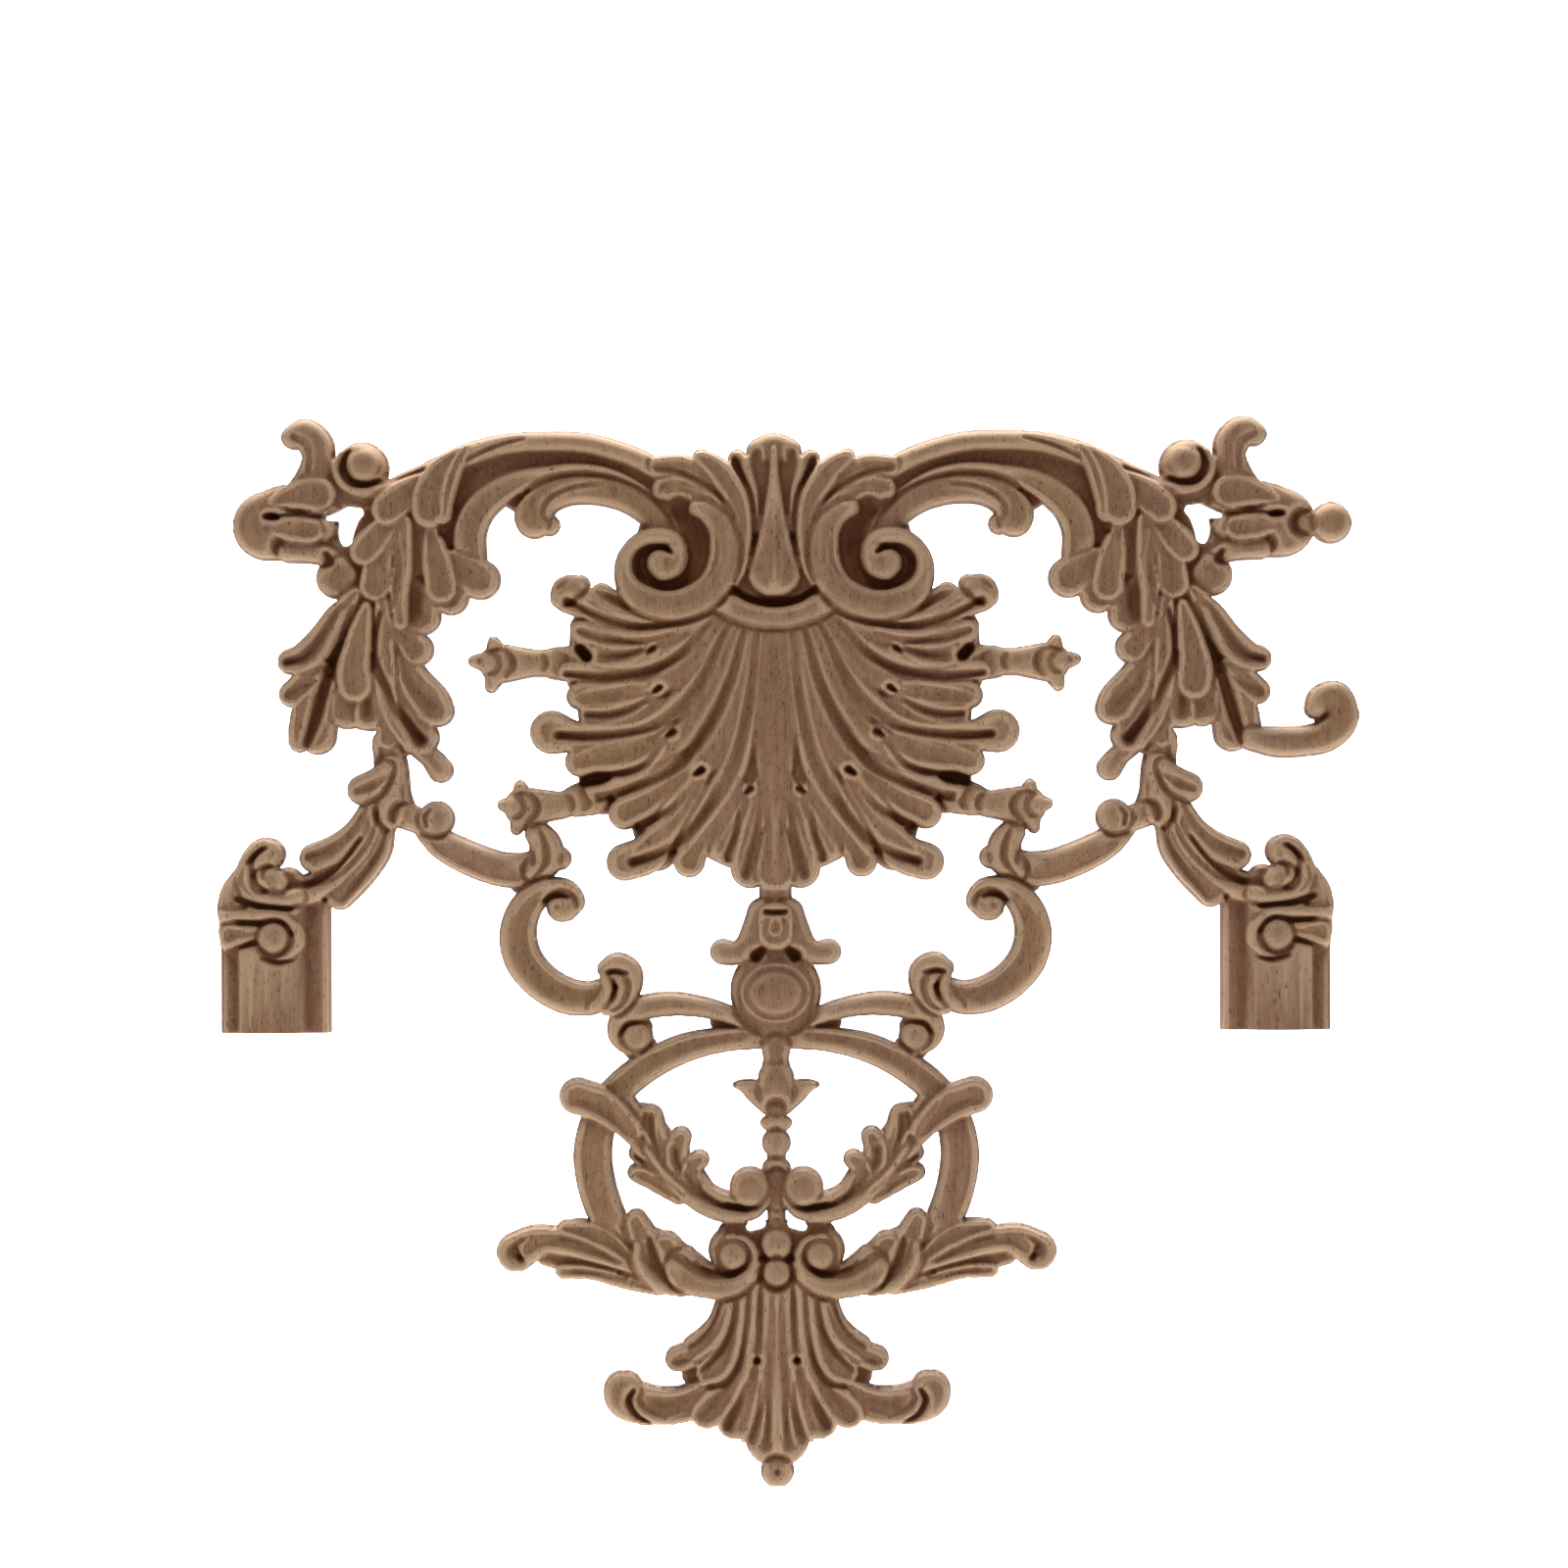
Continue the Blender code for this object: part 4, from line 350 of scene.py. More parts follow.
# %% Grooves, eyes, holes, ovals and mouldings
class Panel(Carving):
    """The carving with its cuts and its plain forms."""

    def gouge(self, knots, floor, lip):
        """A round-bottomed groove down to floor; lip is its height at the sides."""
        path = smooth_path(knots)
        window = self.window(path, 1.0)
        u = self.across(path, window)[0]
        height = self.height[window]
        cut = np.minimum(height, floor + (lip - floor) * u**2)
        height[:] = np.where(np.abs(u) <= 1, cut, height)

    def crease(self, knots, depth=2.0):
        """A soft-sided valley in what is there. Depth may be one or a few along it."""
        path = smooth_path(knots)
        window = self.window(path, 0.5)
        u, along, _ = self.across(path, window)
        self.height[window] -= spread(depth, along) * np.clip(1 - u**2, 0, 1) ** 2

    def welt(self, places, rise=0.7, width=0.9):
        """A thin raised line, such as the rim of a lobe, through places given as x and z."""
        self.crease([(x, z, width) for x, z in places], np.negative(rise))

    def ring(self, x, z, radius, rise=0.8, softness=0.35):
        """A low lip round a drilled eye."""
        path = np.array([[x, z, radius]])
        window = self.window(path, radius)
        u = self.across(path, window)[0]
        self.height[window] += rise * np.exp(-((np.abs(u) - 1) / softness) ** 2)

    def pierce(self, knots):
        """A hole right through the board."""
        path = smooth_path(knots)
        window = self.window(path, 2.0)
        u, _, width = self.across(path, window)
        inside = self.inside[window]
        inside[:] = np.minimum(inside, (np.abs(u) - 1) * width)

    def oval(self, x, z, wide, high, top=13, edge=8):
        """A domed oval; wide and high are half sizes."""
        window = self.window(np.array([[x, z, max(wide, high)]]), BANK_REACH)
        grid_z, grid_x = np.meshgrid(self.z[window[0]], self.x[window[1]], indexing="ij")
        u = np.hypot((grid_x - x) / wide, (grid_z - z) / high)
        wood = edge + (top - edge) * round_top(u)
        self.add(window, wood, (1 - u) * min(wide, high), edge, over=True)

    def moulding(self, left, right, foot, top, profile):
        """A straight run with square ends; profile is a list of (x, height)."""
        z, x = np.meshgrid(self.z, self.x, indexing="ij")
        gap = np.minimum.reduce([x - left, right - x, z - foot, top - z])
        wood = np.interp(x, [p[0] for p in profile], [p[1] for p in profile])
        self.add(np.s_[:, :], wood, gap, edge=0, over=False)

    def finish(self):
        """Rounds the arrises as a ball-nosed cutter does, and rolls the carving off towards the outline."""
        self.inside += SAW_SPARE
        weights = bell(ARRIS, self.pitch)
        # Outside the wood the weight is next to nothing, so the empty board doesn't pull edges down
        solid = np.where(self.inside > -0.5, 1.0, 1e-6)
        total = smeared(smeared(self.height * solid, weights, 0), weights, 1)
        solid = smeared(smeared(solid, weights, 0), weights, 1)
        weights = bell(ROLL, self.pitch)
        deep = np.clip(self.inside / self.pitch + 0.5, 0, 1)
        deep = np.clip(2 * smeared(smeared(deep, weights, 0), weights, 1) - 1, 0, 1)
        self.height = np.minimum(total / solid, WALL + (CROWN - WALL) * deep**ROLL_CURVE)


half = Panel(PITCH)
print("An empty panel:", half.measure())

# %% [markdown]
# ## The rail
# The top edge is a flowing moulding: a round outer bead, a coved inner band that turns down into a
# stem, and a leaf that curls under it. Each is one stroke along the same curve, so they stay parallel
# as a real moulding does. The low board behind them is laid first.

# %% The rail
def top_rail(b):
    """The board behind the rail, its outer bead, its coved band and the leaf that curls under it."""
    # Board behind the rail, the corner and the gap beside the tongue leaf
    b.ground([(100, 80, 6), (90, 83, 6), (80, 87, 6), (66, 88, 6), (52, 86, 6), (43, 82, 6), (36, 76, 6),
              (31, 69, 6)], top=9.5)
    b.ground([(99, 64, 3.4), (97, 71, 4), (92, 78, 4)], top=9)
    b.ground([(79, 75.5, 3.4), (82, 77, 3)])
    # Outer bead
    b.rib([(116, 79.4, 2.8), (103, 84.4, 3.9), (93, 89.2, 3.7), (82, 92.2, 3.3), (70, 93.0, 3.1),
           (58, 92.5, 3.2), (48, 90.0, 3.2), (40, 86.8, 3.2), (32, 82, 3)], top=15, edge=10)
    # Inner band, which turns down into a short stem
    b.scroll([(93.0, 57, 4.8), (93.4, 65, 5.0), (90.6, 72, 4.8), (85, 77.2, 4.3), (78, 80.9, 3.5),
              (69, 83.2, 2.4), (60, 83.8, 2.6), (51, 82.2, 2.8), (43, 78.0, 3.0), (36, 71.5, 3.2),
              (30, 63, 3.4)], top=13, edge=9.5)
    # Leaf that curls under the rail
    b.bead(69.0, 67.6, 3.2, top=11, edge=8)
    b.rib([(33, 64, 3), (37.6, 70.5, 4), (45, 75.6, 4.2), (54, 78.2, 4.4), (63, 78.2, 4.5),
           (70, 75.6, 5.0), (73.6, 71.2, 5.7), (73.6, 69.2, 5.6)], top=12, edge=8.5)
    b.gouge([(68.3, 67.5, 0.6), (70.6, 71, 0.9), (68.6, 75.5, 0.9), (62, 78.8, 0.7), (54, 80, 0.5)],
            10.0, 12)
    b.gouge([(101, 83, 0.4), (92, 88.3, 0.8), (84, 91.8, 0.8), (76, 93.8, 0.4)], 12.5, 15)


top_rail(half)
print("With the rail:", half.measure())

# %% [markdown]
# ## The corner bud
# At each upper corner the rail ends in a small scroll, and a bud stands out beyond it with two petals,
# a dark slot between them and a hook on top. The bud is one fat rib, and the petals are lobes that lie
# on it.

# %% The corner bud
def corner_bud(b):
    """The bud with its petals, slot and hook, and the small scroll that ends the rail."""
    b.ground([(120, 77, 5), (130, 78, 5.5), (137, 79, 5)], top=10)
    b.ground([(124, 62, 5.4), (124, 69, 4)], top=9)
    b.ground([(127, 57, 3.6), (130, 50, 4.4)], top=9)
    b.ground([(131, 59, 2.8), (135.4, 61, 2.6), (136.6, 67, 2.4)], top=9)
    b.rib([(140, 70, 7.6), (147.4, 69, 11.3), (155.4, 67.6, 10.4)], top=14, edge=9)
    b.rib([(149, 60, 3.5), (143, 59.8, 3.5), (138, 58.8, 3.3), (134.5, 57, 3)], top=11.5, edge=8.5)
    # Hook at the top
    b.rib([(145, 77, 5), (141.4, 82, 5.2), (139.8, 88, 4.8), (140.4, 92.4, 5.2), (143.6, 95.6, 4.7),
           (147.4, 94.8, 3.5)], top=12.6, edge=9)
    b.gouge([(142.4, 84, 0.8), (142.8, 88, 1.9), (143.8, 92.0, 2.2), (147.0, 94.6, 1.2)], 10.6, 12.6)
    # Petals of the bud, and the dark slot between them
    b.lobe([(154, 74.6, 0.8), (148, 76.4, 3.6), (142, 77.2, 5.0), (139, 77.0, 5.1)],
           top=(14.4, 14, 13.6), dip=(0.2, 1.2, 1.7), fall=(0.2, 0.7, 1.8))
    b.lobe([(153, 65.8, 0.8), (148, 65.6, 2.8), (143.4, 66, 3.7), (141.4, 66, 3.7)],
           top=(14.2, 14, 13.4), dip=(0.2, 1.0, 1.6), fall=(0.2, 0.7, 1.7))
    b.gouge([(152, 70.5, 0.5), (145, 70.8, 0.7), (141, 70.4, 1.1), (138.4, 70.2, 1.3)], 10, 13.6)
    b.gouge([(155.2, 70.3, 1.0), (153.4, 70.3, 1.3), (151.8, 70.1, 0.9)], 6.5, 13.6)
    # Small rolled lobe under the bud
    b.rib([(132.5, 56, 2.5), (130.8, 52.6, 3.6), (134.2, 51.6, 6.2)], top=12, edge=9)
    b.gouge([(138.4, 54.8, 0.8), (135.8, 56.4, 1.7), (137, 58.8, 1.2)], 7.5, 12)
    # The scrolled end of the rail
    b.rib([(128, 80, 2.4), (126.3, 85, 8.1)], top=13.6, edge=9.5)
    b.rib([(106, 80.8, 2.8), (117, 78.4, 2.5), (126.4, 77.8, 1.8), (132.2, 80.6, 1.5),
           (134.0, 85.4, 1.3), (132.4, 89.4, 1.1)], top=13.6, edge=10)
    b.gouge([(120.6, 81.4, 0.5), (124.4, 80.0, 1.2), (129.2, 80.8, 1.7), (131.8, 84.4, 1.7),
             (131.2, 88.6, 1.1), (129.6, 90.4, 0.5)], 7.5, 13.4)
    b.bead(125.2, 86.2, 5.0, top=15.4, edge=12)


corner_bud(half)
print("With the corner bud:", half.measure())

# %% [markdown]
# ## Trunk and arms
# Below each drop of leaves a short trunk divides: one arm runs out to the length of moulding and one
# runs in towards the shell, where a knot of leaves ends it.

# %% Trunk and arms
def trunk_and_arms(b):
    """The stem under the acanthus drop, and the arms and leaves that branch off it."""
    b.rib([(119, 1, 4.4), (117.6, -7, 5.0), (116.2, -15, 4.4), (114.6, -20.5, 4.6)], top=12, edge=8)
    # Arm out to the moulding: two leaf folds and a ridge between them
    b.ground([(121, -17, 4), (120, -25, 3.4), (125, -32, 4), (133, -38, 4), (143, -43, 4),
              (152, -45, 5)], top=9.5)
    b.lobe([(119, -24, 2.2), (121.2, -32, 3.4), (126.8, -39.4, 3.9), (133.4, -46, 4.0)], top=12.4)
    b.lobe([(124, -18, 2.6), (128.0, -26.2, 4.0), (134.4, -31.2, 4.2), (141.4, -34.2, 4.3)], top=13,
           dip=1.0)
    b.rib([(121, -20, 1.6), (124.4, -30, 2.0), (131.4, -38.2, 2.3), (141, -45.2, 2.6),
           (150, -46.4, 2.6)], top=13.2, edge=10.6)
    b.gouge([(126.6, -28, 0.5), (133, -36.0, 1.0), (141, -41.2, 1.4), (149, -43, 1.3)], 8, 12.6)
    b.rib([(117.0, -6, 3.6), (117.6, -14, 4.0), (117.4, -20.8, 4.2)], top=13.2, edge=9.5)
    b.rib([(118.6, -6.8, 2.4), (122.8, -11.4, 4.2), (126.6, -13.4, 4.5)], top=13.6, edge=9.5)
    b.crease([(119.2, -9.6, 1.0), (123.4, -12.2, 2.2), (128, -13.8, 1.8)], depth=(1, 2.4, 2))
    b.crease([(119.4, 2, 1.4), (120.4, -2.6, 1.8), (122.4, -5.8, 1.2)], depth=2.2)
    # Arm in towards the shell
    b.scroll([(107, -26.0, 3.4), (101.2, -30.6, 4.6), (93.4, -34.6, 5.1), (85, -37.6, 5.2),
              (78, -38.2, 5.2), (73, -36.4, 4.4)], top=12.5, edge=8.5)
    b.rib([(113, -21.5, 4), (108, -23.5, 3.8)], top=11.5, edge=8.5)
    b.bead(103.8, -22.4, 5.4, top=13.5, edge=9)
    b.gouge([(105.4, -19.2, 0.5), (107.2, -21.4, 1.0), (106.8, -24.4, 0.8)], 9.5, 13)
    # The knot of leaves where it meets the lower scroll
    b.rib([(67.5, -35, 3.2), (66.2, -34.6, 3.5)], top=11.6, edge=8)
    b.rib([(72.8, -26.8, 3.8), (70.4, -30.6, 4.8), (70.6, -35, 5.2), (73.4, -38.4, 3.6)], top=13, edge=9)
    b.crease([(72, -25.6, 0.9), (70.4, -29.8, 1.4), (69.8, -34, 1.5), (71, -37.2, 1.4), (73.4, -39.8, 0.9)],
             depth=2.4)
    b.crease([(74.3, -32.6, 1.0), (74.1, -35.6, 1.3)], depth=2)


trunk_and_arms(half)
print("With the arms:", half.measure())

# %% [markdown]
# ## The acanthus drop
# Two leaves hang from the rail, one above the other, and each has a dozen lobes that lap like tiles.
# The outermost lobes are carved first and those nearer the middle over them, which is what makes them
# overlap the right way.

# %% The lower leaf of the acanthus drop
def acanthus_drop(b):
    """The board behind the drop, and the lobes of its lower leaf."""
    b.ground([(112, 66, 11), (113, 55, 12), (117, 42, 11), (121, 30, 12), (124, 18, 12), (124, 13, 8)],
             top=10)
    b.ground([(113.8, -0.6, 2.4)], top=8)
    b.ground([(133, 30, 3), (137, 20, 5), (140, 10, 5)], top=8.5)
    # Lower leaf: the outermost lobes first, then those that lap over them
    b.lobe([(138.4, 18, 4), (139.4, 8, 5.2), (140.2, 3.2, 5.6)], top=11.4, dip=0.9)
    b.lobe([(143.6, 16, 2.6), (145.4, 8, 3.2), (145.8, 1.4, 3.1)], top=11, dip=0.8)
    b.lobe([(131, 14, 5), (131, 10.4, 5.1)], top=11, dip=0.8)
    b.lobe([(138, 24, 2.2), (143.6, 19.8, 3.9), (148, 16, 3.9)], top=12)
    b.lobe([(128, 47, 1.6), (133.6, 39.6, 4.0), (138.4, 32.4, 4.8), (144.4, 27.2, 4.4),
            (148.4, 26, 3.8)], top=13.4, dip=1.6)
    b.rib([(111, 0, 2.4), (105.6, -3.6, 3.2), (102.6, -7.4, 3.8)], top=11, edge=8)
    b.lobe([(118, 22, 3), (113, 10, 4), (108.2, 2.6, 5.2)], top=12)
    b.lobe([(120, 18, 2.6), (119.2, 9, 3.1), (118.4, 2.2, 3.3)], top=12.2, dip=0.8)
    b.lobe([(124.5, 20, 3.2), (124.4, 9.4, 4.3)], top=12.5, dip=0.9)
    b.lobe([(113.5, 30, 2), (110.4, 21, 4.4), (105.6, 14, 5.7), (103.2, 10.8, 4.8)], top=13.4)
    b.lobe([(114.4, 38, 2.4), (111, 31.4, 4.6), (109.4, 29.6, 4.8)], top=13)
    b.lobe([(120, 45, 2.0), (119.2, 34, 3.2), (119.2, 22, 3.4), (117.4, 10, 2.6), (112, 0, 1.6)],
           top=13.4, dip=0.7, fall=1.2)
    b.crease([(120.6, 41, 1.0), (122.8, 31, 2.2), (121.8, 24, 2.2), (118.7, 17.6, 2.0), (114.9, 10, 2.2),
              (108.4, 1.6, 2.8)], depth=(3, 4, 3, 3, 4))
    b.crease([(114.8, 29, 1.2), (111.6, 18.6, 2.6), (105.6, 12.6, 3.2)], depth=(1, 1.8, 1.6))
    b.crease([(124.6, 18, 1.6), (124.8, 9.6, 2.6)], depth=1.8)
    b.lobe([(124.6, 43, 1.4), (127.0, 33, 4.0), (128.6, 24, 5.2), (128.2, 19, 5.4)], top=14.4, dip=1.5)
    b.crease([(128.6, 43, 1.0), (132, 34, 2.0), (135.8, 24.5, 2.6), (138.4, 16, 2.8), (140.4, 9, 2.8),
              (144, -1.4, 2.0)], depth=(2, 4, 5, 5.4, 5.4, 4.4))
    b.crease([(132.6, 43.4, 0.9), (138.1, 34, 1.8), (143.2, 27.6, 2.2), (149.4, 25.6, 1.6)],
             depth=(1, 1.8, 2.2, 3))
    b.crease([(140, 20, 1.2), (145, 17.4, 2.4), (149, 15.4, 1.8)], depth=1.4)


acanthus_drop(half)
print("Lower leaf:", half.measure())

# %% [markdown]
# The upper leaf hangs over the lower one in the same way, and its last two lobes stand highest, since
# they lap over the rail.

# %% The upper leaf of the acanthus drop
def acanthus_top(b):
    """The lobes of the upper leaf, which lap over the rail and the lower leaf."""
    b.lobe([(98.6, 52, 4), (99.2, 45.6, 5.4)], top=12)
    b.lobe([(100, 58, 2.4), (94.4, 53.6, 4.9), (90.2, 51, 6.1)], top=12.6)
    b.lobe([(113.6, 50, 4.4), (110, 42.4, 6.2), (107.8, 39.6, 5.4)], top=12.4, dip=1.8)
    b.lobe([(118.6, 63, 2.6), (121.0, 56, 4.4), (122, 49.2, 4.9)], top=13.4, dip=1.6)
    b.lobe([(104.6, 65, 2.4), (103, 56, 4.5), (101.8, 48.6, 5.0)], top=14, dip=1.4)
    b.ground([(110, 72, 3), (109.6, 62, 3), (109.6, 54, 2.4)], top=12)
    b.lobe([(113.6, 68, 3), (113.4, 56, 2.9), (114.6, 46, 2.9), (114, 38, 2.2)], top=14.6, dip=0.6,
           fall=1.2)
    b.crease([(109.4, 66, 1.0), (109.2, 57, 1.8), (109.2, 50, 2.6), (110.0, 43, 3.4), (110.8, 39, 3.2)],
             depth=(1, 1.4, 1.8, 2.2, 1.8))
    b.crease([(115.8, 65, 1.0), (115.0, 56, 1.6), (115.8, 49, 1.7), (116.6, 43, 1.2)],
             depth=(1.6, 2.4, 1.6))
    b.lobe([(118, 68, 3.4), (122.4, 63.0, 4.7), (125.4, 59.8, 4.6)], top=14, dip=1.6)
    b.lobe([(106, 81, 3), (112.8, 76.6, 4.8), (118.2, 72.4, 5.0)], top=15.2, dip=1.5)
    b.lobe([(93.6, 91.4, 1.0), (97.8, 84.6, 2.8), (101.0, 76.0, 3.4), (101.6, 71.0, 3.2)], top=16, dip=1)
    b.lobe([(96.4, 90.6, 1.0), (101.6, 84.6, 3.4), (105.0, 77.4, 5.0), (105.4, 71.8, 5.1)], top=17,
           dip=1.9, fall=2)
    b.gouge([(101.4, 65.4, 1.6), (99.0, 63.6, 1.0)], 8.5, 12.6)


acanthus_top(half)
print("Acanthus without its rims:", half.measure())

# %% [markdown]
# A gouge that runs along a lobe throws up a thin rim, which catches the light. A welt is such a rim: a
# crease with its depth turned round. Beside the bud, two short cuts go right through the board and
# make one small hole.

# %% Rims of the acanthus, and the small hole beside the bud
def acanthus_rims(b):
    """Rims along the lobes of both leaves."""
    for places in (
        [(117.4, 32), (116.2, 24.5), (114.3, 17), (112.4, 12), (109.3, 8.8), (103.4, 7.4)],
        [(131.9, 41.4), (135.6, 33.9), (137.8, 28.6), (140.2, 24.6), (143.4, 22), (148.4, 21.2)],
        [(112.6, 2.2), (109.6, -0.8), (105.6, -2.2)],
        [(142, 14.4), (146, 13.2), (149.6, 13.2)],
        [(134.4, 5.9), (137.8, 1.4), (141.3, -1.6), (145.4, -2.3)],
        [(117.6, 43.2), (118, 39.6), (115.4, 36.4), (111.4, 35), (107, 33)],
    ):
        b.welt(places)


def corner_hole(b):
    """The small hole through the corner, beside the bud."""
    b.pierce([(127.4, 71.5, 1.9), (129.8, 70.2, 3.0), (131.2, 66, 2.8), (131.2, 63.2, 2.2)])
    b.pierce([(130.4, 71.4, 2.4), (134.4, 70.3, 1.6), (136.9, 70.0, 1.0)])


acanthus_rims(half)
corner_hole(half)
print("With the acanthus drop:", half.measure())

# %% [markdown]
# ## The length of moulding
# The moulding that would frame a mirror or a bed runs on downwards from the leaf scroll. This piece
# has only its start, sawn off square, so it is a straight run of one profile.

# %% The length of moulding
STUB_FOOT = -87.8  # where the saw cut it off
MOULDING_PROFILE = [  # x and height
    (136.6, 7.4), (137.4, 9.0), (138.0, 9.2), (142.6, 8.6), (143.4, 9.4), (144.4, 11.6),
    (146.5, 13.6), (150.5, 15.0), (155.5, 15.6), (160.5, 14.8), (161.2, 14.2), (163.6, 12.2),
    (164.4, 10.6), (164.9, 8.8), (168.6, 9.0), (169.7, 7.4),
]


def moulding_stub(b):
    """The cut-off end of the running moulding, with the scroll that caps it."""
    b.moulding(136.6, 169.7, STUB_FOOT - 8, -47.0, MOULDING_PROFILE)
    b.ground([(158, -41, 6.5), (159, -56, 10.6)], top=9.5)
    b.ground([(149.4, -42, 4.8)], top=9)
    b.rib([(162.4, -38.6, 3), (166.2, -46, 4.2), (167, -54, 3.6), (167.6, -60, 2.6)], top=12.5, edge=9)
    b.rib([(146, -46, 2.6), (154, -47, 3.0), (160, -43.6, 3.8), (160.4, -38, 4.6), (157, -33.6, 5.2),
           (155.2, -33, 4.8)], top=14.6, edge=11)
    b.gouge([(161.4, -36, 0.5), (160, -34, 1.1), (156.4, -30.8, 0.8)], 11, 14)
    b.rib([(151.6, -42, 2.6), (154.6, -40.4, 3.8), (156.6, -41, 3.2)], top=15, edge=11.5)
    b.gouge([(164.6, -46.6, 1.2), (157.5, -48.8, 1.2), (148, -49.6, 0.8)], 8.5, 14)
    b.rib([(169, -51.8, 1.8), (160, -51.4, 1.6), (152, -51.8, 1.8), (146.8, -55, 1.8), (145.6, -60, 1.8),
           (149, -63.6, 1.7), (154, -63.8, 1.2)], top=15, edge=11)
    b.gouge([(165, -53.4, 0.5), (158, -54.0, 1.2), (151.6, -53.6, 1.0), (147.9, -57.4, 0.8)], 8.8, 14)
    b.lobe([(166.8, -57.8, 3.6), (162.6, -57.4, 2.6), (158.6, -57.6, 0.8)], top=14)
    b.bead(153.4, -58.6, 5.1, top=16.5, edge=11)
    b.gouge([(168, -62.6, 0.5), (163, -61.0, 0.9), (159.2, -60.0, 1.3)], 9, 13)
    b.gouge([(157, -64.6, 0.6), (152, -66.0, 1.0), (147.5, -65.2, 0.6)], 11, 15)


moulding_stub(half)
print("With the moulding:", half.measure())

# %% [markdown]
# The arm is a bundle of folds, and the moulding is capped by a leaf that curls twice. Their valleys are
# creases, and the raised edges of the leaf are welts, each a narrow line of its own.

# %% Valleys and rims of the arm and the cap
def arm_rims(b):
    """Valleys and rims of the arm, and of the leaf that caps the moulding."""
    for path, depth in (
        ([(118.6, -25.8, 0.9), (120.8, -31.6, 1.3), (125, -38.4, 1.5), (129.6, -44, 1.6),
          (132, -47, 1.4)], 1.6),
        ([(113.8, -23.6, 0.8), (117.6, -26.2, 1.2), (121.6, -23.6, 1.1), (122.8, -18.8, 0.8)], 1.6),
        ([(121.6, -20.3, 0.9), (123.2, -27, 1.3), (127.2, -33.2, 1.5), (132, -38, 1.6), (137, -41.1, 1.6),
          (143.1, -42.8, 1.5)], (1.4, 2.4, 2)),
        ([(125.3, -18.8, 0.9), (128.4, -24.2, 1.8), (132.6, -29, 2.2), (138, -32, 2.0), (143, -33.6, 1.6)],
         (1.2, 1.2, 1.8)),
        ([(155.2, -30.8, 0.6), (158.6, -32.8, 1.1), (160.0, -36.4, 1.3), (158.8, -41.2, 1.1),
          (155.6, -44.2, 0.8)], 3),
        ([(153.6, -36.4, 0.5), (156.0, -37.4, 0.8), (156.4, -39.6, 0.7)], 2),
        ([(162.6, -37, 0.8), (163.2, -41, 1.2), (160.4, -45.4, 0.9)], 1),
    ):
        b.crease(path, depth)
    for places in (
        [(113.9, -19), (114.7, -22.4), (117.4, -24.2), (120.2, -22.2), (121.2, -18)],
        [(67.4, -30), (67.1, -34), (68.4, -37.6), (70, -39.4)],
        [(72.6, -31.4), (72.2, -35), (73.2, -38), (76, -39.6)],
        [(123.2, -21.6), (125.4, -28), (129.4, -33.2), (134.4, -36.8), (139.4, -38.6), (144.2, -39.6)],
        [(120.4, -27.4), (122.4, -32), (127.6, -38.2), (133, -42.2), (138.4, -44.6), (144.6, -45.4)],
        [(155.4, -33.6), (157.4, -36.8), (157.8, -40.2), (155.4, -43.6), (151.4, -45.2)],
        [(166.4, -42.4), (167.6, -46.7), (166.4, -50.3)],
        [(160.9, -56.2), (165.2, -59.5), (168.6, -61.2)],
    ):
        b.welt(places)


arm_rims(half)
print("With the rims of the arm:", half.measure())

# %% [markdown]
# ## Husks
# Small bell-shaped husks stand out from the sides of the shell, like pegs. Both have the same parts,
# so a loop carves them from the places of their root, neck, mouth and tips.

# %% Husks
def husk_finials(b):
    """Bell-shaped husks that stand out from the edge of the shell."""
    for root, neck, mouth, tips in (
        ((61, 25), (74, 25.4), (84.4, 25.2), ((86.2, 31.8), (92.2, 26), (87.0, 18.0))),
        ((56, -15.6), (66, -18.4), (77.0, -18.8), ((78.2, -12.4), (83.4, -18.2), (79.4, -25.6))),
    ):
        waist = (0.5 * (root[0] + neck[0]), 0.5 * (root[1] + neck[1]))
        b.rib([(*root, 5.6), (*waist, 4.8)], top=10.5, edge=8)
        b.rib([(*waist, 4.0), (*neck, 4.1)], top=10.5, edge=8)
        b.rib([(*neck, 4.0), (*mouth, 6.0)], top=11.5, edge=8)
        for tip in tips:
            b.rib([(*mouth, 4.4), (*tip, 1.7)], top=11, edge=8)
        b.bead(mouth[0] + 3, mouth[1], 3.2, top=12, edge=9)


husk_finials(half)
print("With the husks:", half.measure())

# %% [markdown]
# ## The oval frame and the arms above it
# A coved band bends round a large oval opening. Two slender arms spring from the boss over it and end
# in a rolled leaf. A C-shaped scroll stands on each, with a bead for its eye.

# %% The oval frame, the arms and the C-scroll
def oval_frame(b):
    """The coved band round the oval opening."""
    b.scroll([(-6, -89.6, 3.4), (0, -89.5, 3.4), (15, -90.2, 3.6), (28, -92.9, 4.3), (39, -98.2, 4.6),
              (48, -105.2, 4.9), (53.8, -113.6, 5.3), (56.3, -124.4, 5.7), (55.0, -135.4, 5.7),
              (51.4, -145.4, 5.4), (46.4, -154, 4.4)], top=12, edge=8.5)


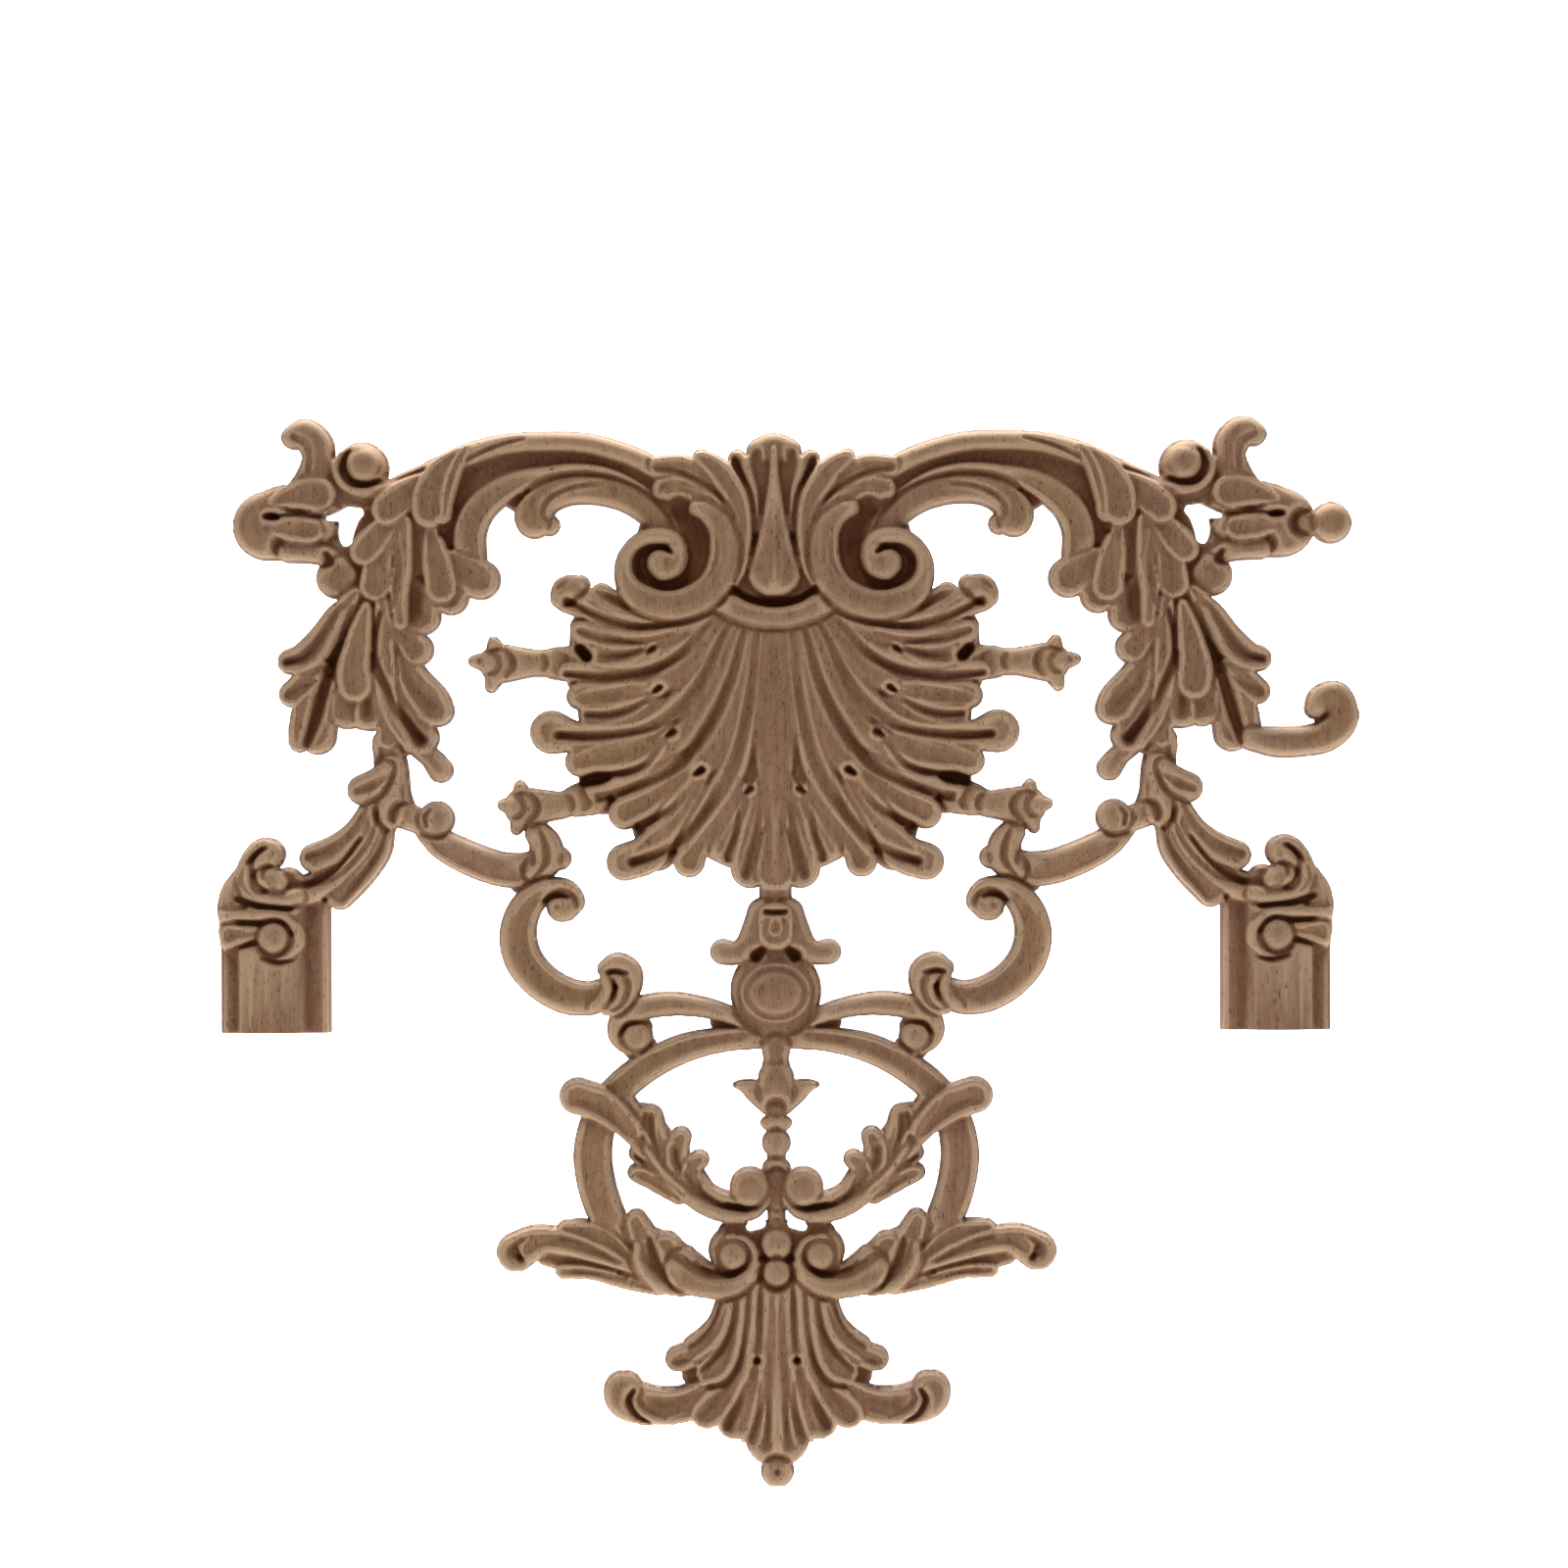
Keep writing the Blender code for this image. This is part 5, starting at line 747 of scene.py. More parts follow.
def boss_arms(b):
    """The arm from the boss over the frame, with the rolled leaf at its end."""
    b.ground([(8, -85.0, 2.6), (18, -85.0, 2.0)], top=7)
    b.ground([(43.4, -89.6, 5.6), (43.0, -93.8, 3)], top=8)
    b.ground([(38.4, -91.6, 1.6)], top=7)
    b.ground([(40.6, -86.4, 2.6)], top=8)
    b.rib([(42.6, -93.6, 1.4), (46.8, -91.8, 2.1), (49.2, -88.2, 2.3), (47.6, -83.6, 2.9),
           (41.4, -80.6, 3.6), (33, -79.3, 3.6), (25.4, -79.8, 3.2), (17.4, -81.6, 2.8),
           (10, -84.4, 2.2)], top=12, edge=8.5)
    b.bead(42.8, -89.2, 4.5, top=13, edge=9)
    b.gouge([(47.6, -88.4, 0.7), (45.4, -85.4, 1.0), (41, -84.6, 0.8)], 7, 11.5)


def c_scroll(b):
    """The C-shaped scroll, with its eye and its rolled lower end."""
    b.ground([(75, -42, 4.5), (79, -43, 2)], top=7)
    b.ground([(49.6, -74.2, 3)], top=7.5)
    b.scroll([(63.4, -52.0, 1.6), (60.8, -48, 2.2), (64.2, -43.9, 2.8), (71.2, -44.6, 3.8),
              (76.6, -49.6, 4.8), (79.0, -57.4, 5.5), (77.4, -65.4, 5.7), (72.2, -72.0, 5.6),
              (65.0, -76.4, 5.5), (58, -77.6, 5.1), (53.4, -76.4, 4.7)], top=13, edge=8.5, flip=True)
    b.bead(65.4, -49.3, 4.7, top=12.5, edge=8.5)
    b.gouge([(70.6, -47.6, 1.0), (67, -45.6, 1.1), (63.6, -46.4, 0.6)], 7, 12)
    # The rolled lower end
    b.rib([(52.0, -68.4, 2.6), (48.6, -66.8, 3.2), (44.8, -69.4, 3.6), (44.8, -74.4, 3.4),
           (48.4, -79.8, 2.6), (52, -81, 1.6)], top=13, edge=9)
    b.rib([(50, -70.6, 1.6), (47, -73, 1.8), (48, -77.6, 1.8), (51.4, -80, 1.4)], top=12.5, edge=9)
    b.rib([(52.6, -70.6, 1.2), (51.6, -73.6, 1.8), (53.2, -77.6, 2.4), (55.6, -79.6, 2)], top=14, edge=10)


oval_frame(half)
boss_arms(half)
c_scroll(half)
print("Frame and scrolls without their rims:", half.measure())

# %% [markdown]
# Where a band rolls up, the tip of the tool leaves a dark pit between its turns. Narrow creases draw
# the pits, and two welts draw the edges of the rolls.

# %% Pits and rims of the scrolls
def curl_rims(b):
    """The dark pits of the C-scroll's ends and the curl of the arm below it."""
    b.crease([(45.4, -69.6, 0.7), (48.2, -69.0, 1.1), (51.4, -69.6, 0.8)], depth=3)
    b.crease([(50.6, -71, 0.6), (49.2, -73.6, 0.9), (50, -77.8, 0.7)], depth=3)
    b.crease([(66, -46.4, 0.7), (69.2, -46, 1.2), (70.4, -48.6, 0.8)], depth=1.6)
    b.gouge([(66.8, -49.2, 0.8)], 10.5, 12.4)
    b.welt([(45.6, -71), (48, -70.8), (48.6, -73), (47.8, -76.4), (50, -80)])
    b.welt([(62.6, -44.6), (66, -43.2), (71.2, -43.6), (76.4, -46.8), (79.6, -51.4)], rise=0.5)


curl_rims(half)
print("With the frame and scrolls:", half.measure())

# %% [markdown]
# ## The boss and the hanging bud
# A domed oval boss with a thin border sits on the middle line, under a husk with two curled sides. A
# bud on a string of beads hangs below it, inside the oval frame.

# %% The boss and the hanging bud
def boss_and_husk(b):
    """The boss with its border, and the husk above it."""
    b.rib([(0, -42, 4.8), (0, -47, 4.8), (0, -51, 5.0)], top=10.5, edge=8)
    b.ground([(0, -60, 8), (0, -68, 10.4)], top=7)
    b.rib([(0, -75.5, 13.8)], top=10.5, edge=8)
    b.rib([(4, -51.6, 4.6), (5.4, -56, 4.6), (8.6, -61.6, 3.8), (12.4, -63.8, 3.4), (16.2, -63.4, 3.8)],
          top=12, edge=8.5)
    b.lobe([(0, -53.8, 5.6), (0, -57.2, 5.6)], top=13.5)
    b.lobe([(0, -53.6, 1.6), (0, -56.2, 2.6)], top=14)
    b.gouge([(3, -51.0, 0.9), (0, -51.3, 1.0)], 9, 12)
    b.gouge([(4.2, -62.8, 1.2), (6, -64.6, 2.0)], 4.5, 9)
    b.oval(0, -75.9, 11.2, 9.6, top=13.4, edge=9.5)
    b.oval(0, -75.9, 9.5, 7.9, top=10.6, edge=10.6)
    b.oval(0, -75.9, 8.7, 7.1, top=15.6, edge=10.8)


def hanging_bud(b):
    """The bud inside the oval frame, and the string of beads that it hangs on."""
    b.rib([(0, -92.5, 4.4), (0, -96, 3.8), (0, -99, 4.2)], top=9.5, edge=7.5)
    b.rib([(1.5, -109, 4.6), (6, -106.4, 3.4), (9.6, -104.6, 1.9), (12.4, -104.2, 0.8)], top=10, edge=7.5)
    b.rib([(0, -102.2, 5.4), (0, -107, 5.6), (0, -111.4, 3.4)], top=12, edge=8.5)
    b.rib([(0, -112, 2.8), (0, -148, 2.6)], top=9, edge=7.5)
    b.oval(0, -116.0, 4.6, 2.7, top=11, edge=8)
    b.bead(0, -122, 4.3, top=12, edge=8)
    b.oval(0, -129.8, 4.2, 3.2, top=11, edge=8)
    b.rib([(0, -133, 3.4), (0, -140, 3.0)], top=9.5, edge=7.5)


boss_and_husk(half)
hanging_bud(half)
print("With the boss and bud:", half.measure())

# %% [markdown]
# ## The pendant
# The foot is a fluted leaf. Its flutes fan out from under the scrolls, and soft ridges run down
# between them. The ridges rise out of the ground instead of lying on it, so they meet in soft valleys.

# %% The pendant
def pendant_palmette(b):
    """The fluted leaf at the foot, with its curled side arms and end bead."""
    b.ground([(0, -172, 18), (0, -186, 18), (0, -198, 16), (0, -207, 11)], top=10)
    b.ground([(0, -172, 8), (0, -186, 9), (0, -198, 9), (0, -207, 8)], top=11.6)
    b.ground([(25.4, -193, 3.6)], top=8.5)
    b.lobe([(12, -190, 2.4), (20, -198, 5.0), (29, -202, 5.4), (37.4, -202.4, 5.8), (42.6, -201, 5.8)],
           top=12.5)
    b.rib([(36, -206.4, 1.6), (42, -205, 3.0), (47, -201.6, 4.6), (48, -197.4, 5.0), (46, -196.4, 4.4)],
          top=13, edge=9.5)
    b.gouge([(43.9, -197.2, 0.8), (45.4, -200.6, 1.2), (43.2, -204.8, 1.2), (38.8, -207.2, 0.8)], 8, 12.5)
    b.lobe([(15.6, -166, 1.8), (18.2, -176, 2.4), (22, -181, 2.7), (26.4, -183.6, 2.2)], top=11.6, dip=0.8)
    b.lobe([(13.0, -166, 1.8), (16.4, -177.6, 2.8), (22, -184.8, 3.6), (30.2, -188, 3.9)], top=12.4,
           dip=1.0)
    b.lobe([(10.4, -166, 1.6), (13.0, -179, 2.8), (16.8, -187, 3.4), (21.4, -191.6, 3.4)], top=12.8,
           dip=1.0)
    b.lobe([(8, -167, 1.8), (9.8, -182, 3.2), (14.6, -195, 4.3), (21.6, -204.4, 4.9)], top=13.2, dip=1.2)
    b.lobe([(5.6, -178, 1.8), (7.6, -194, 3.6), (13.2, -207.6, 5.0)], top=13, dip=1.2)
    b.lobe([(0, -192, 4), (0, -206, 7.8), (0, -211.4, 9.8)], top=12.6, dip=1.0)
    for path in (
        [(13.4, -163, 1.4), (14.4, -174, 1.8), (17.3, -181, 1.8), (23, -186.6, 1.4), (29, -190.2, 0.8)],
        [(9.6, -163, 1.6), (10.8, -178, 2.0), (13.0, -187.4, 1.9), (17.4, -192.8, 1.5),
         (22.6, -194.8, 0.8)],
        [(6.4, -163, 1.8), (7.6, -180, 2.4), (9.2, -191, 1.8), (12.4, -199, 1.6), (18.4, -207, 0.8)],
        [(2.9, -163, 1.6), (3.2, -180, 2.2), (4.4, -192, 1.9), (6.0, -201, 1.6), (10.2, -213, 0.8)],
    ):
        b.swell(path, top=(13.2, 13.8, 13.6, 13.2), edge=11)
    b.swell([(0, -163, 1.6), (0, -184, 1.9), (0, -204, 2.4), (0, -218, 2.2)], top=(13.4, 13.8, 14.2, 13),
            edge=11.4)
    for path, depth in (
        ([(4.9, -164, 0.9), (5.4, -176, 1.2), (5.6, -184, 1.0)], (1.4, 1.4, 0.6)),
        ([(8.6, -164, 0.8), (9.2, -176, 1.0), (10.5, -184, 1.3), (12.2, -190.5, 1.5), (15.4, -194.8, 1.5),
          (20.4, -196.2, 1.4)], (1.4, 1.6, 2.4, 3)),
        ([(12.4, -165, 0.9), (13.4, -175.6, 1.2), (15.6, -182.6, 1.4), (19.6, -187.8, 1.5),
          (23, -191, 1.3)], (1.4, 2, 2.4, 2)),
        ([(17.0, -168, 0.9), (18.4, -174.4, 1.2), (20.8, -179.4, 1.3), (24, -182.6, 1.3),
          (26.6, -184, 1.1)], (1, 2, 2.4, 3)),
        ([(19.6, -184.8, 0.9), (25, -188.2, 1.5), (32.4, -188.8, 1.4)], (0.8, 1.6, 1.2)),
        ([(9.6, -194.6, 1.0), (12.4, -202, 2.2), (15.4, -208.6, 2.6)], (1, 2.4, 3)),
        ([(13.4, -194.6, 1.2), (18.7, -200.4, 2.4), (23.0, -205.6, 2.6)], (0.8, 1.6, 1.4)),
        ([(5.2, -194.6, 1.0), (5.6, -203, 1.9), (7.2, -210, 2.6), (8.4, -213.4, 2.4)], (1, 2.4, 3)),
        ([(2.2, -199, 0.8), (2.6, -207, 1.3), (3.6, -214, 1.6)], (0.6, 1.6, 1.4)),
        ([(24.1, -197.4, 1.6), (30.5, -200.6, 2.8), (36.6, -201.6, 3.2)], (0.6, 1.4, 1.2)),
    ):
        b.crease(path, depth)
    b.ring(6.1, -188.2, 1.8)
    b.gouge([(6.1, -188.2, 1.2)], 7, 13)
    b.bead(0, -222.6, 4.9, top=12, edge=9)


pendant_palmette(half)
print("Pendant without its rims:", half.measure())

# %% [markdown]
# The flutes get thin rims as the lobes above did, and two touches of the drill mark the side arm and
# the end bead.

# %% Rims of the pendant
def pendant_rims(b):
    """Rims of the flutes, and the small marks of the drill."""
    for places in (
        [(5.1, -189.4), (5.5, -194.5), (6.4, -200.8), (7.8, -207.6), (10.5, -213)],
        [(8.7, -189.4), (9.2, -192.6), (11.4, -197.6), (15, -203), (18.7, -207.1)],
        [(11.0, -181.8), (11.9, -186.3), (15, -191.3), (18.7, -194), (22.8, -194.9), (24.6, -192.6)],
        [(15.5, -175), (17.3, -180), (20.5, -184), (25, -187.7), (29.6, -190.8)],
        [(41.4, -196.3), (43.2, -199.4), (42.3, -203.5), (36.8, -206.2), (27.7, -204)],
    ):
        b.welt(places)
    b.gouge([(36.6, -200.4, 0.9)], 9.5, 12)
    b.gouge([(0, -222.4, 1.0)], 9.5, 12)


pendant_rims(half)
print("With the pendant:", half.measure())

# %% [markdown]
# ## The leaf scrolls
# Two pairs of leaves lap over the oval frame. Each leaf is a fan of lobes on one curved spine, and the
# spine rolls up in a bead at its inner end.

# %% The upper leaf scroll
def upper_leaf_scroll(b):
    """The pair of leaves that rise from the middle and lap over the oval frame."""
    b.ground([(22, -139.6, 2.6), (30, -132, 4.6), (36, -123, 5.6), (41, -114.6, 4.8)], top=8)
    b.lobe([(35, -130, 2.2), (40, -126.8, 3.0), (42.6, -125.0, 2.6)], top=11)
    b.lobe([(30, -138.6, 2.2), (37, -134.0, 2.8), (43, -131.0, 2.6)], top=11)
    b.lobe([(38, -126, 2), (42, -118, 3.2), (44.4, -112.4, 3.2), (45.4, -110, 2.8)], top=12.5)
    b.lobe([(30, -137, 2.2), (34.6, -128, 3.6), (37.4, -119.6, 4.2), (38.6, -114, 3.9)], top=12.5)
    b.lobe([(26, -138.6, 2.2), (29.4, -131, 3.4), (30.4, -124, 3.6), (29.2, -120, 3.1)], top=12.5)
    b.lobe([(20.6, -139.4, 2.4), (25, -134.4, 3.2), (25.8, -129.4, 3.2), (23.6, -127, 2.9)], top=12)
    b.lobe([(34, -133, 1.2), (40, -123.6, 2.6), (46.6, -115.4, 4.0), (53.6, -109.8, 5.1),
            (60.8, -107.4, 5.5)], top=15)
    b.rib([(3.0, -133.4, 1.0), (2.9, -138, 1.2), (6, -143.0, 1.6), (13, -144.4, 2.0), (21, -142.2, 2.4),
           (29, -136.6, 2.2), (36, -129, 1.6), (41, -121, 1.0)], top=13, edge=9)
    b.rib([(8, -138, 2), (15, -138.8, 2.1), (20.4, -136.4, 2.0), (23.2, -131.6, 1.4)], top=12, edge=9)
    b.ground([(8, -140, 3.4), (16, -140.6, 2.4)], top=7)
    b.gouge([(15.4, -140.4, 0.6), (10, -141.8, 1.3), (5, -139.4, 0.9)], 7, 11.5)
    b.bead(8.2, -135.4, 6.0, top=15, edge=10)


upper_leaf_scroll(half)
print("With the upper leaves:", half.measure())

# %% [markdown]
# The lower pair sweeps outwards from two small scrolls on the middle line. Its ground is laid first, so
# that the leaves have board behind them, and the beads come near the end, since they lie on top.

# %% The lower leaf scroll
def lower_leaf_scroll(b):
    """The pair of leaves and scrolls at the foot of the oval frame."""
    b.ground([(0, -149, 4), (8, -152, 3.6), (12.8, -146.5, 2.6)], top=8.5)
    b.ground([(14, -150, 4), (14, -158, 5), (17.4, -160, 3)], top=8.5)
    b.ground([(24, -163, 5.5), (32, -160, 8), (42, -155, 8), (50, -155, 5)], top=9.5)
    b.ground([(50, -159.4, 2.4), (62, -158.6, 3), (70.6, -156.6, 2.8)], top=9)
    b.rib([(0, -148, 3.0), (0, -152, 5.4)], top=9, edge=7.5)
    b.rib([(4, -158, 5), (0, -160, 5)], top=8, edge=7.5)
    b.lobe([(44, -158, 2), (52, -151.4, 3.4), (59, -148.8, 3.4), (64.4, -148.6, 3.0)], top=11.5)
    b.lobe([(36, -167, 1.6), (46, -164.4, 2.2), (57, -161.2, 2.4), (65.4, -161.0, 2.4)], top=11)
    b.lobe([(44, -160, 1.4), (54, -155.6, 3.0), (64, -152.4, 3.8), (73, -151.8, 4.8),
            (79.8, -155.2, 5.9)], top=12.5)
    b.rib([(43, -160.4, 1.0), (54, -157.6, 1.2), (64, -154.4, 1.3), (71, -153.8, 1.5),
           (75.6, -156.6, 1.6)], top=13, edge=11)
    b.gouge([(46, -161.2, 0.6), (58, -158.2, 1.0), (70, -156.0, 0.9)], 8.5, 12.4)
    b.gouge([(79.6, -153.6, 0.9), (78.4, -157.0, 1.3)], 8.5, 12.5)
    b.lobe([(36, -165, 2.4), (39.6, -157, 4.6), (40.6, -151, 4.2), (43, -145.2, 3.0)], top=12.5)
    b.rib([(29, -167.6, 1.4), (36.5, -165, 2.2), (42, -158.6, 2.6), (42.6, -153, 1.6)], top=13, edge=9.5)
    b.gouge([(39, -151.2, 1.3), (37, -158.4, 1.9), (32.0, -165.4, 1.0)], 8.6, 12.5)
    b.lobe([(27, -163, 4), (30.6, -157.4, 4.6), (33.6, -152.6, 3.6)], top=12)
    b.rib([(29.5, -158, 4), (28.0, -156.8, 3.4)], top=12, edge=9)
    # Rolled inner end
    b.bead(13.8, -154.8, 7.0, top=10.5, edge=8.5)
    b.rib([(14.6, -150.8, 0.9), (9.6, -151.6, 1.0), (6.4, -156.4, 1.4), (8, -162, 2.4),
           (14, -165.8, 3.2), (22, -165.6, 3.8), (28.6, -162.4, 4.6), (30.6, -159.6, 3.8)], top=14.5,
          edge=10)
    b.gouge([(23, -160.0, 0.6), (19, -161.4, 1.2), (14, -161.9, 1.4), (9.8, -159.6, 1.1)], 7.5, 13)
    b.bead(13.2, -156.0, 4.6, top=14.5, edge=10)
    b.gouge([(4.0, -157, 1.7)], 5, 9)
    b.bead(0, -152.8, 4.9, top=13.5, edge=9)
    b.bead(0, -161.6, 4.6, top=13.5, edge=9)
    b.pierce([(4.8, -146.9, 1.7), (8.0, -147.9, 1.6)])


lower_leaf_scroll(half)
print("With the lower leaves:", half.measure())

# %% [markdown]
# The lobes of these leaves are only a few millimetres wide, so their valleys and rims are added last,
# as lines that lower or lift what is there by a millimetre or less.

# %% Valleys and rims of the leaf scrolls
def scroll_rims(b):
    """Valleys and rims of both pairs of leaf scrolls."""
    for path, depth in (
        ([(5.4, -141.5, 0.9), (10.7, -141.8, 1.3), (16.5, -140.3, 1.5), (21.2, -138, 1.4),
          (25.3, -135, 1.3), (28, -130.9, 0.9)], 1.2),
        ([(29.4, -129.6, 0.7), (30.6, -127, 1.2), (31, -123.6, 1.3)], 1.6),
        ([(36, -125, 0.8), (38.4, -118, 1.5), (38.6, -113.4, 1.3)], 1.4),
        ([(40.8, -122, 0.6), (40.6, -116.4, 0.9), (40, -112.4, 1.0)], 1.8),
        ([(36.4, -130.4, 0.7), (39.6, -127.4, 1.2), (43.6, -126, 1.1)], 1.6),
        ([(46, -119, 0.7), (49.6, -114.6, 1.2), (53.6, -111.4, 1.4), (59.8, -108.6, 1.5)], 1.2),
        ([(10, -159.7, 0.9), (13.6, -161.8, 1.3), (18.3, -162.8, 1.6), (22.4, -161.8, 1.8),
          (26.5, -159.2, 1.8), (31.2, -156.4, 1.4)], 1.6),
        ([(44.4, -153.6, 1.2), (45.9, -150.9, 1.7), (47, -147.5, 1.5)], 1.8),
        ([(47.6, -159, 0.8), (55.4, -154.4, 1.4), (62.6, -151.4, 1.6), (66, -150.6, 1.2)], 1.4),
        ([(46, -163.2, 0.7), (54, -161.6, 1.1), (62, -160.8, 1.2)], 0.9),
        ([(77.4, -150.8, 0.7), (80.2, -152.8, 1.2), (80.8, -155.4, 1.2), (77.6, -157.2, 0.8)], 2),
    ):
        b.crease(path, depth)
    for places in (
        [(23.6, -127.4), (27.7, -128.6), (29.4, -132.1), (28.8, -135), (26.5, -138.5), (23.6, -139.7)],
        [(30, -121.5), (32.4, -121.8), (33.5, -123.9), (33, -127.4), (31.2, -130.3), (29.4, -132.7)],
        [(37, -113), (36.8, -116.8), (36.5, -121.5), (34.7, -126.2), (31.2, -132.1), (28.8, -135.6)],
        [(44.1, -123), (41.2, -123.3), (38.2, -125), (35.9, -128.6), (33.5, -130.9), (30.6, -134.4)],
        [(45.3, -130.3), (42.3, -130), (39.4, -130.3), (36.5, -132.7), (31.2, -136.8), (26.5, -139.7)],
        [(62.3, -110.4), (59.3, -111), (55.8, -113.3), (52.3, -115.7), (48.8, -118), (45.9, -120.4)],
        [(48.4, -107), (50.5, -108), (48.8, -111.6), (46.4, -114.5), (44.7, -117.4)],
        [(41.2, -151.4), (37.6, -152), (35.3, -153.8), (34.1, -156.7), (34, -160), (31.4, -164.6)],
        [(42.6, -150.9), (42.9, -155), (42.3, -157.9), (39.4, -162.6), (35.9, -166.1)],
        [(44.7, -159), (48.8, -156.1), (52.3, -153.2), (54.7, -149.7)],
        [(45.3, -159.6), (50, -157), (56, -153.8), (62, -152.6), (67, -152)],
        [(43.5, -165), (48.8, -163.2), (54.7, -160.8), (60.5, -159.7), (66, -159.7)],
        [(75.6, -150.6), (78.0, -152.6), (78.2, -155.6), (76.4, -157.9)],
    ):
        b.welt(places)


scroll_rims(half)
print("With the rims of the leaves:", half.measure())

# %% [markdown]
# ## The shell
# The scallop is the centrepiece. Its lobes are laid from the rim inwards, then broad smooth leaves run
# from under the collar over their roots. A drilled eye marks each place where a leaf parts into lobes,
# as it does on much carving of this kind, because the drill stops the gouge from running on.

# %% Lobes and ridges of the shell
def shell(b):
    """The scallop: broad ridges run out from behind the collar, and each one parts into lobes at an eye."""
    b.ground([(0, 10, 46), (0, 0, 40)], top=11)
    b.ground([(48, 30, 12), (46, 10, 14), (40, -8, 12), (30, -24, 8)], top=11.4)
    b.ground([(22, -20, 8), (10, -24, 9), (0, -26, 9)], top=12)
    b.ground([(57.6, 36, 5), (59, 26, 4), (60, 20, 3.6)], top=9)
    b.ground([(56, -10.4, 4), (52.6, -17, 4)], top=6.5)
    b.ground([(39.6, -24.0, 4.4), (36, -33, 5.4)], top=9)
    # The lobes, each of which comes out from under its ridge
    for path, top in (
        ([(30, 41, 1.0), (38, 41, 2.2), (48, 43.2, 3.4), (53, 46.4, 3.3)], 12.4),
        ([(24, 39.4, 1.4), (36, 37.8, 2.2), (48, 39, 3.5), (57, 43, 4.4), (62.8, 46.4, 5.7)], 13.4),
        ([(30, 34, 1.4), (40, 33, 2.6), (48, 32.8, 3.1), (58.6, 34.8, 3.5)], 12.8),
        ([(36, 29.6, 0.8), (44, 28, 2.8), (53.6, 27.8, 3.1)], 12.8),
        ([(32, 25.6, 1.2), (42, 23, 2.8), (54, 22.8, 2.8), (63, 22.6, 2.7)], 13),
        ([(30, 22.6, 1.0), (34, 18.8, 2.6), (42, 16.2, 3.6), (52, 15.2, 3.9), (59.8, 15, 3.9)], 13.2),
        ([(34, 13.4, 1.2), (40, 10.4, 2.7), (48, 8.8, 2.9), (57, 8.6, 3.0)], 12.8),
        ([(28, 14.6, 1.2), (33, 9.2, 2.4), (40, 5, 3.2), (50, 2.6, 3.5), (61, 2.8, 4.5),
          (68.4, 4.1, 6.5)], 13.4),
        ([(29, 4.6, 1.2), (36, -0.4, 3.5), (47, -3.4, 4.3), (59.8, -5, 4.4)], 13.2),
        ([(29, -1.6, 1.2), (34, -5.8, 2.7), (43, -10, 3.0), (55, -14, 2.7)], 12.8),
        ([(22, 0.6, 1.4), (28, -7.2, 3.4), (37, -14.8, 4.4), (46.2, -21, 4.7)], 13.2),
        ([(21, -8.4, 1.4), (26, -15.6, 2.8), (32.6, -24.6, 3.8), (39, -33, 5.6), (46, -35.8, 5.6)], 13.4),
        ([(13.4, -2, 1.4), (16.4, -10.6, 2.8), (20.4, -20, 3.7), (24.2, -28.6, 4.2),
          (26.4, -35.8, 4.6)], 13.2),
        ([(9.6, -12.4, 1.0), (12.0, -20, 2.6), (16, -31.4, 3.9)], 12.8),
        ([(5.0, -11, 1.2), (6.2, -19, 3.0), (7.4, -28, 4.2), (7.6, -37.8, 6.0)], 13),
    ):
        b.lobe(path, top=top, dip=0.3, fall=0.8)
    b.lobe([(0, -28, 4), (0, -38.6, 6.4)], top=12.4, dip=0.3)
    b.swell([(0, -8, 1.0), (0, -20, 2.0), (0, -32, 2.6), (0, -39, 3.6)], top=(13.6, 13.6, 13.2), edge=11)
    # The ridges, broad and smooth, up to the eyes
    for path in (
        [(19, 41.6, 2.0), (27, 39.6, 2.8), (38, 39.0, 2.8), (48, 40.6, 1.4)],
        [(17.6, 40, 2.0), (26, 36, 3.0), (36, 33.4, 2.8), (46, 33, 1.2)],
        [(16.4, 38.6, 2.0), (23, 33.4, 3.2), (32, 28.4, 3.2), (42, 25.4, 2.4), (52, 24.4, 1.0)],
        [(14.6, 37.4, 2.2), (20, 30.4, 3.6), (28, 23.0, 4.0), (36, 18.6, 3.0), (46, 16.8, 1.2)],
        [(12.6, 36.6, 2.2), (17.4, 28.4, 3.8), (24, 18.6, 4.4), (31, 11.4, 3.6), (39, 6.8, 2.2),
         (48, 4.6, 1.0)],
        [(10.2, 36, 2.2), (14.4, 26, 3.8), (20, 13.4, 4.7), (26.4, 4.2, 4.2), (34, -2.0, 2.6),
         (44, -6.6, 1.0)],
        [(7.4, 35.6, 2.2), (11, 24, 3.8), (15, 9, 4.8), (19.6, -1.6, 4.8), (26, -10.4, 3.2),
         (33, -20, 1.8), (37, -27, 1)],
        [(4.4, 35.2, 2.2), (7.2, 22, 3.8), (9.6, 8, 4.6), (12.8, -6, 4.6), (16.6, -17, 3.2),
         (20.6, -27, 1.2)],
        [(0, 35.2, 3.2), (0, 24, 4.8), (0, 8, 6.2), (0, -6, 5.8), (0, -16, 3.6), (0, -26, 1.0)],
    ):
        b.swell(path, top=(13.2, 14.4, 14.8, 14.4, 13.2), edge=12)
    # Rolled tips
    b.rib([(65.6, 45.2, 3.0), (60.8, 48.8, 3.1), (59.2, 49.4, 2.6)], top=12.6, edge=9.5)


shell(half)
print("Lobes and ridges:", half.measure())

# %% [markdown]
# Now the gouge goes between the ridges. Five long valleys run from the collar to the edge, and shorter
# ones part the lobes. Most ridges end at an eye, which is a small drilled pit with a low lip round it.

